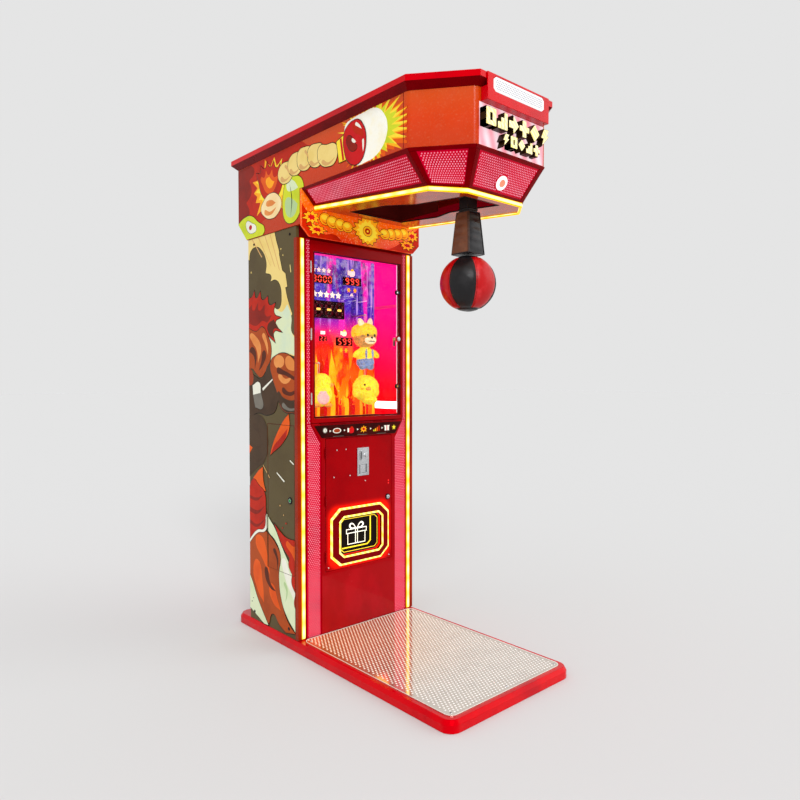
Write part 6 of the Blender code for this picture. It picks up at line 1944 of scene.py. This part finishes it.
def build_start_button():
    """A white lit collar with a coloured cap."""
    point, normal = button_place()
    ring = bmesh.new()
    turned(ring, [(0.0146, 0.0008), (0.0275, 0.0008), (0.0275, 0.003), (0.0262, 0.0052), (0.0235, 0.0064),
        (0.0165, 0.0066), (0.0146, 0.0056), (0.0146, 0.0008)], point, normal, 48)
    publish(ring, "start_button_collar", lamp("button_ring", shade("#ffffff"), shade("#ffe9f0"), 1.0, warmth=0.2),
        "cabinet", ("start_button_bezel",))
    cap = bmesh.new()
    turned(cap, [(0.0, 0.0108), (0.006, 0.0106), (0.0105, 0.0098), (0.0128, 0.008), (0.0134, 0.005),
        (0.0134, -0.0115), (0.0, -0.0118)], point, normal, 40)
    publish(cap, "start_button_cap", lamp("button_cap", shade("#ff9a7a"), shade("#ff5a3a"), 0.9, warmth=0.3),
        "start_button", ("start_button",))


# ======================================================================
# swinging arm
# ======================================================================
BALL_CENTRE = Vector((0, -0.495, 1.603))
BALL_RADIUS = 0.112
GORE_ANGLE, PATCH_ANGLE = math.radians(60), math.radians(24)


def ball_reach(turn, fall):
    """The padded ball's radius at an azimuth and a polar angle: crowned gores, pinched seams, end patches."""
    off = abs((turn % GORE_ANGLE) - GORE_ANGLE / 2) / (GORE_ANGLE / 2)
    reach = BALL_RADIUS * (0.985 + 0.015 * (1 - off ** 2) * math.sin(fall) ** 2)
    from_seam = (1 - off) * GORE_ANGLE / 2 * math.sin(fall) * BALL_RADIUS
    from_patch = min(abs(fall - PATCH_ANGLE), abs(math.pi - PATCH_ANGLE - fall)) * BALL_RADIUS
    in_patch = fall < PATCH_ANGLE or fall > math.pi - PATCH_ANGLE
    if not in_patch:
        reach -= 0.0042 * math.exp(-(from_seam / 0.0042) ** 2)
    reach -= 0.0036 * math.exp(-(from_patch / 0.004) ** 2)
    return reach


def build_ball():
    """The six-gore leather ball with its end patches and sewn seams."""
    across, rings = 120, 60
    data = bmesh.new()
    bmesh.ops.create_uvsphere(data, u_segments=across, v_segments=rings, radius=1.0)
    for vert in data.verts:
        way = vert.co.normalized()
        turn, fall = math.atan2(way.y, way.x), math.acos(max(-1.0, min(1.0, way.z)))
        dent = 0.0009 * noise.noise(way * 3.0) + 0.0004 * noise.noise(way * 9.0)
        vert.co = way * (ball_reach(turn, fall) + dent)
    for face in data.faces:
        middle = face.calc_center_median()
        fall = math.acos(max(-1.0, min(1.0, middle.normalized().z)))
        gore = int((math.atan2(middle.y, middle.x) % (2 * math.pi)) / GORE_ANGLE)
        dark = gore % 2 == 1 or fall < PATCH_ANGLE or fall > math.pi - PATCH_ANGLE
        face.material_index = 1 if dark else 0
    bmesh.ops.translate(data, verts=data.verts, vec=BALL_CENTRE)
    red = hide("ball_red", tint("ball"), shade("#ff4a50"), 0.34, 520.0)
    dark = hide("ball_black", shade("#141214"), shade("#2c2a2c"), 0.36, 520.0)
    ball = publish(data, "ball_leather_gores", [red, dark], "arm", ("punch_ball",), smooth=180)
    stitches = bmesh.new()
    for gore in range(6):
        for side in (-1, 1):
            for index in range(46):
                fall = PATCH_ANGLE + (math.pi - 2 * PATCH_ANGLE) * (index + 0.5) / 46
                turn = gore * GORE_ANGLE + side * 0.0042 / (BALL_RADIUS * math.sin(fall))
                ends = []
                for part in (-0.36, 0.36):
                    bend = fall + part * (math.pi - 2 * PATCH_ANGLE) / 46
                    way = Vector((math.sin(bend) * math.cos(turn), math.sin(bend) * math.sin(turn), math.cos(bend)))
                    ends.append(BALL_CENTRE + way * (ball_reach(turn, bend) + 0.0002))
                rod(stitches, *ends, 0.00045, segments=5)
    publish(stitches, "ball_stitching", coated("thread_dark", shade("#3a0f12"), shade("#240a0c"), 0.8, 0.05), "arm")


SLEEVE_LOW, SLEEVE_HIGH = 1.716, 1.883
SLEEVE_RISE = SLEEVE_HIGH - SLEEVE_LOW
SLEEVE_LOW_HALF, SLEEVE_HIGH_HALF = 0.05, 0.036
PIPING_INSET = 0.0015


def sleeve_half(z):
    """Half width of the padded sleeve at a height."""
    return SLEEVE_LOW_HALF + (SLEEVE_HIGH_HALF - SLEEVE_LOW_HALF) * (z - SLEEVE_LOW) / SLEEVE_RISE


def sleeve_point(z, side, t, lift=0.0):
    """A point of the sleeve: side 0 to 3 starting at +Y and turning, t from -1 to 1 across it."""
    half = sleeve_half(z)
    share = (z - SLEEVE_LOW) / SLEEVE_RISE
    ends = math.sin(math.pi * max(0.0, min(1.0, share))) ** 0.5
    puff = 0.005 * (1 - t * t) * ends
    puff += 0.0011 * math.sin(z * 190 + side * 2.1) * (1 - t * t) * ends
    ease = t * (1 - 0.06 * abs(t) ** 3)
    local = Vector((ease * half, half - 0.003 + puff + lift - 0.0025 * abs(t) ** 5, 0.0))
    return Matrix.Rotation(math.radians(90) * side, 4, "Z") @ local + Vector((0, BALL_CENTRE.y, z))


def build_sleeve():
    """The four padded panels of the flared cover, the piping between them, the hems and the neck."""
    black_hide = hide("sleeve_black", shade("#121013"), shade("#2b282b"), 0.34, 480.0)
    brown_hide = hide("sleeve_brown", shade("#6b3e28"), shade("#8a5a3c"), 0.42, 480.0)
    data = bmesh.new()
    across, levels = 14, 34
    rows = []
    for level in range(levels + 1):
        z = SLEEVE_LOW + SLEEVE_RISE * level / levels
        rows.append([data.verts.new(sleeve_point(z, side, -1 + 2 * step / across)) for side in (0, 3, 2, 1)
            for step in range(across)])
    for before, after in zip(rows, rows[1:]):
        for index in range(len(before)):
            following = (index + 1) % len(before)
            face = data.faces.new((before[index], before[following], after[following], after[index]))
            face.material_index = 1 if index // across == 3 else 0
    data.faces.new(rows[0])
    data.faces.new(list(reversed(rows[-1])))
    cover = publish(data, "sleeve_cover", [black_hide, brown_hide], "arm", ("arm_sleeve",),
        smooth=60)
    lines = []
    for side in range(4):
        points = [sleeve_point(SLEEVE_LOW + SLEEVE_RISE * s / 8, side, 1.0, 0.0002) for s in range(9)]
        lines.append(tube(points, 0.0016))
    for z, radius in ((SLEEVE_LOW + PIPING_INSET, 0.0024), (SLEEVE_HIGH - PIPING_INSET, 0.002)):
        points = [sleeve_point(z, side, t) for side in (0, 3, 2, 1) for t in (-0.9, 0.0, 0.9)]
        lines.append(tube(points, radius, True))
    publish(joined(lines), "sleeve_piping", hide("piping_black", shade("#1d1a1c"), shade("#39343a"), 0.3, 600.0),
        "arm")
    neck = bmesh.new()
    block(neck, (-0.027, -0.522, 1.88), (0.027, -0.468, 1.954), 0.007, segments=4)
    block(neck, (-0.0285, -0.5235, 1.888), (0.0285, -0.4665, 1.898), 0.004, segments=3)
    block(neck, (-0.0285, -0.5235, 1.938), (0.0285, -0.4665, 1.948), 0.004, segments=3)
    publish(neck, "sleeve_neck", black_hide, "arm")


def build_arm():
    """The ball on its arm, the shaft with its notched disc, the bracket and the latch."""
    build_ball()
    build_sleeve()
    refined("arm_tube", cove_red(), 0.0018, 2)
    refined("pivot_shaft", steel(), 0.0005, 1)
    refined("arm_bracket", zinc(), 0.0008, 1)
    refined("latch_pawl", steel(), 0.0004, 1)
    refined("latch_plunger", steel(), 0.0006, 2)
    heads = bmesh.new()
    for x in (-0.018, 0.018):
        for z in (1.975, 2.065):
            turned(heads, [(0.0, 0.0045), (0.0045, 0.0045), (0.0052, 0.0038), (0.0052, 0.0), (0.0, 0.0)],
                (x, -0.523, z), FRONT, 6)
    publish(heads, "clamp_bolts", steel(), "arm")
    fixings = bmesh.new()
    for x in (-0.31, -0.23, 0.23, 0.31):
        for y in (-0.48, -0.42):
            turned(fixings, [(0.0, 0.004), (0.0058, 0.004), (0.0064, 0.0032), (0.0064, 0.0), (0.0, 0.0)],
                (x, y, 2.1362), UP, 6)
    for x in (-0.0725, 0.0725):
        side = LEFT if x < 0 else RIGHT
        turned(fixings, [(0.0106, 0.0), (0.019, 0.0), (0.019, 0.004), (0.0165, 0.0062), (0.0106, 0.0062),
            (0.0106, 0.0)], (x, -0.495, 2.055), side, 32)
    publish(fixings, "bracket_bolts", steel(), "cabinet")
    coil = bmesh.new()
    for index in range(9):
        x = 0.0912 + 0.0026 * index
        block(coil, (x, -0.4368, 2.095), (x + 0.0018, -0.4042, 2.1285), 0.0006)
    publish(coil, "solenoid_winding", brushed("copper", shade("#b8643a"), roughness=0.3), "cabinet")


# ======================================================================
# works inside the cabinet
# ======================================================================
def build_works():
    """The control board with its chips, capacitors and connectors."""
    board = coated("board_mask", shade("#0c5a2c"), shade("#0a4422"), 0.35, 0.1, (60.0, 0.9), (900.0, 0.1), coat=0.3)
    dress(board, "control_board")
    low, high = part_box("control_board")
    face = high.x - 0.006
    bits = bmesh.new()
    chance = random.Random(3)
    for row in range(5):
        for column in range(4):
            y, z = low.y + 0.014 + column * 0.034, low.z + 0.018 + row * 0.046
            kind = chance.choice((0, 1, 2))
            if y < low.y + 0.065 and z < low.z + 0.09 or y > low.y + 0.07 and low.z + 0.09 < z < low.z + 0.21:
                continue
            if kind == 0:
                rod(bits, (face - 0.013, y, z), (face, y, z), 0.0045, segments=16, material=1)
            elif kind == 1:
                block(bits, (face - 0.008, y - 0.009, z - 0.005), (face, y + 0.009, z + 0.005), 0.0008, 2)
            else:
                block(bits, (face - 0.003, y - 0.006, z - 0.004), (face, y + 0.006, z + 0.004), 0.0004, 0)
    publish(bits, "board_components", [black(), brushed("can_metal", shade("#b8bcc4"), roughness=0.3),
        coated("connector_white", shade("#e6e2d6"), shade("#c9c3b2"), 0.45)], "cabinet")


# ======================================================================
# stage
# ======================================================================
CAMERA_PLACE = (-1.987, -2.311, 1.223)
CAMERA_TURN = (88.227, 0.0, -41.82)
BACKGROUND = 0.783


def build_stage():
    """A pale floor and backdrop of one tone, soft lights and the camera."""
    scene = bpy.context.scene
    scene.view_settings.view_transform = "Standard"
    scene.view_settings.look = "None"
    world = scene.world or bpy.data.worlds.new("studio")
    scene.world = world
    world.use_nodes = True
    back = world.node_tree.nodes["Background"]
    back.inputs[0].default_value = (BACKGROUND, BACKGROUND, BACKGROUND, 1.0)
    back.inputs[1].default_value = 1.0
    sizes = scene.punch_sizes
    light = 1.0
    for name, power, way, spread_angle in (("key", sizes.key_power, (0.42, 0.72, -0.56), 28.0),
        ("fill", sizes.fill_power, (-0.7, 0.6, -0.38), 45.0)):
        lamp_data = bpy.data.lights.new(name, "SUN")
        lamp_data.energy, lamp_data.angle = power, math.radians(spread_angle)
        way = Vector(way).normalized()
        light += -way.z * power / math.pi / BACKGROUND
        sun = bpy.data.objects.new(name, lamp_data)
        sun.rotation_euler = way.to_track_quat("-Z", "Y").to_euler()
        scene.collection.objects.link(sun)
    tone = 1.0 / light
    floor = bmesh.new()
    bmesh.ops.create_grid(floor, x_segments=1, y_segments=1, size=60.0)
    mesh = bpy.data.meshes.new("studio_floor")
    floor.to_mesh(mesh)
    floor.free()
    mesh.materials.append(coated("studio_floor", (tone, tone, tone, 1.0), None, 1.0, 0.0, (1.0, 0.0), (900.0, 0.0),
        specular=0.0))
    ground = bpy.data.objects.new("studio_floor", mesh)
    ground.location.z = -0.0006
    scene.collection.objects.link(ground)
    camera = bpy.data.cameras.new("camera")
    camera.sensor_width, camera.lens = 36.0, 30.15
    viewer = bpy.data.objects.new("camera", camera)
    viewer.location = CAMERA_PLACE
    viewer.rotation_euler = [math.radians(angle) for angle in CAMERA_TURN]
    scene.collection.objects.link(viewer)
    scene.camera = viewer


# ======================================================================
# settings, operators and panel
# ======================================================================
def colour_setting(name, text, code):
    """A colour property with its default."""
    return bpy.props.FloatVectorProperty(name=name, description=text, subtype="COLOR", size=3, min=0.0, max=1.0,
        default=linear(code))


class PunchColours(bpy.types.PropertyGroup):
    """Colours of the machine."""
    red: colour_setting("Lid and base", "Sprayed red of the lid and the base tray", "#d0000e")
    dark_red: colour_setting("Doors and mouldings", "Deep red of the window door, lower door and bezel", "#9c0006")
    strip: colour_setting("Light strips", "Yellow between the lamps of the light strips", "#ffc400")
    tread: colour_setting("Deck", "Deck that the player stands on", "#ddd2c6")
    side: colour_setting("Side laminate", "Ground colour of the printed sides", "#5c4f30")
    dots: colour_setting("Panel holes", "Lit holes of the perforated panels", "#ff5276")
    grille: colour_setting("Panels", "Perforated panels", "#c80028")
    orange: colour_setting("Head print", "Ground colour of the head", "#d43a00")
    ball: colour_setting("Ball", "Red gores of the ball", "#b80006")
    plush: colour_setting("Plush", "Fur of the chicks and of the bear's hood", "#ffe000")


class PunchSizes(bpy.types.PropertyGroup):
    """Sizes and strengths that can be set by hand."""
    stud_pitch: bpy.props.FloatProperty(name="Stud spacing", description="Distance between the deck's studs",
        default=0.0165, min=0.008, max=0.03, unit="LENGTH")
    strip_glow: bpy.props.FloatProperty(name="Strip glow", description="Strength of the light strips", default=2.0,
        min=0.0, max=10.0, subtype="FACTOR")
    dot_glow: bpy.props.FloatProperty(name="Hole glow", description="Strength of the lit holes", default=0.75,
        min=0.0, max=10.0, subtype="FACTOR")
    key_power: bpy.props.FloatProperty(name="Key light", description="Strength of the main light", default=1.6,
        min=0.0, max=20.0, subtype="FACTOR")
    fill_power: bpy.props.FloatProperty(name="Fill light", description="Strength of the second light", default=0.6,
        min=0.0, max=20.0, subtype="FACTOR")


class BuildBase(bpy.types.Operator):
    """Build the pressed tray, the deck with its studs and the feet."""
    bl_idname = "punch_machine.base"
    bl_label = "Base"

    def execute(self, context):
        build_base()
        return {"FINISHED"}


class BuildColumn(bpy.types.Operator):
    """Build the printed sides, the service door, the corner posts and the back."""
    bl_idname = "punch_machine.column"
    bl_label = "Column"

    def execute(self, context):
        build_column()
        return {"FINISHED"}


class BuildFront(bpy.types.Operator):
    """Build the mouldings, the light strips, the pink panels and the pictogram strip."""
    bl_idname = "punch_machine.front"
    bl_label = "Front mouldings"

    def execute(self, context):
        build_front()
        return {"FINISHED"}


class BuildWindow(bpy.types.Operator):
    """Build the glazed door with its clamps, lock and hinges."""
    bl_idname = "punch_machine.window"
    bl_label = "Window door"

    def execute(self, context):
        build_window()
        return {"FINISHED"}


class BuildLowerDoor(bpy.types.Operator):
    """Build the lower door with its coin entry and prize outlet."""
    bl_idname = "punch_machine.lower_door"
    bl_label = "Lower door"

    def execute(self, context):
        build_lower_door()
        return {"FINISHED"}


class BuildShowcase(bpy.types.Operator):
    """Build the lit showcase with its figures, pictograms and pegs."""
    bl_idname = "punch_machine.showcase"
    bl_label = "Showcase"

    def execute(self, context):
        build_showcase()
        return {"FINISHED"}


class BuildPrizes(bpy.types.Operator):
    """Build the plush toys and their loops."""
    bl_idname = "punch_machine.prizes"
    bl_label = "Prizes"

    def execute(self, context):
        build_prizes()
        return {"FINISHED"}


class BuildHead(bpy.types.Operator):
    """Build the head's shell, cheeks, lid, rear cover and fascia."""
    bl_idname = "punch_machine.head"
    bl_label = "Head"

    def execute(self, context):
        build_head()
        return {"FINISHED"}


class BuildHeadLights(bpy.types.Operator):
    """Build the head's perforated panels, light strip, floor and ball well."""
    bl_idname = "punch_machine.head_lights"
    bl_label = "Head lights"

    def execute(self, context):
        build_head_lights()
        return {"FINISHED"}


class BuildSign(bpy.types.Operator):
    """Build the marquee, the lit sign and the start button."""
    bl_idname = "punch_machine.sign"
    bl_label = "Marquee and sign"

    def execute(self, context):
        build_sign()
        return {"FINISHED"}


class BuildArm(bpy.types.Operator):
    """Build the ball, the sleeve, the shaft, the bracket and the latch."""
    bl_idname = "punch_machine.arm"
    bl_label = "Swinging arm"

    def execute(self, context):
        build_arm()
        return {"FINISHED"}


class BuildWorks(bpy.types.Operator):
    """Build the parts on the control board."""
    bl_idname = "punch_machine.works"
    bl_label = "Works"

    def execute(self, context):
        build_works()
        return {"FINISHED"}


class BuildStage(bpy.types.Operator):
    """Build the floor, the lights and the camera."""
    bl_idname = "punch_machine.stage"
    bl_label = "Stage"

    def execute(self, context):
        build_stage()
        return {"FINISHED"}


BUILDERS = (BuildBase, BuildColumn, BuildFront, BuildWindow, BuildLowerDoor, BuildShowcase, BuildPrizes, BuildHead,
    BuildHeadLights, BuildSign, BuildArm, BuildWorks, BuildStage)


class PunchPanel(bpy.types.Panel):
    """Lists the settings and the builders in the 3D view's sidebar."""
    bl_idname = "VIEW3D_PT_punch_machine"
    bl_label = "Punch machine"
    bl_space_type = "VIEW_3D"
    bl_region_type = "UI"
    bl_category = "Punch machine"

    def draw(self, context):
        """Show every colour and size, then a button for each group."""
        for settings in (context.scene.punch_colours, context.scene.punch_sizes):
            for key in settings.__annotations__:
                self.layout.prop(settings, key)
        for builder in BUILDERS:
            self.layout.operator(builder.bl_idname)


CLASSES = (PunchColours, PunchSizes, *BUILDERS, PunchPanel)


def register():
    """Add the settings, the operators and the panel."""
    for item in CLASSES:
        bpy.utils.register_class(item)
    bpy.types.Scene.punch_colours = bpy.props.PointerProperty(type=PunchColours)
    bpy.types.Scene.punch_sizes = bpy.props.PointerProperty(type=PunchSizes)


def unregister():
    """Take them away again."""
    del bpy.types.Scene.punch_sizes
    del bpy.types.Scene.punch_colours
    for item in reversed(CLASSES):
        bpy.utils.unregister_class(item)


def main():
    """Build every group in order."""
    register()
    for builder in BUILDERS:
        area, _, name = builder.bl_idname.partition(".")
        getattr(getattr(bpy.ops, area), name)()


if __name__ == "__main__":
    main()
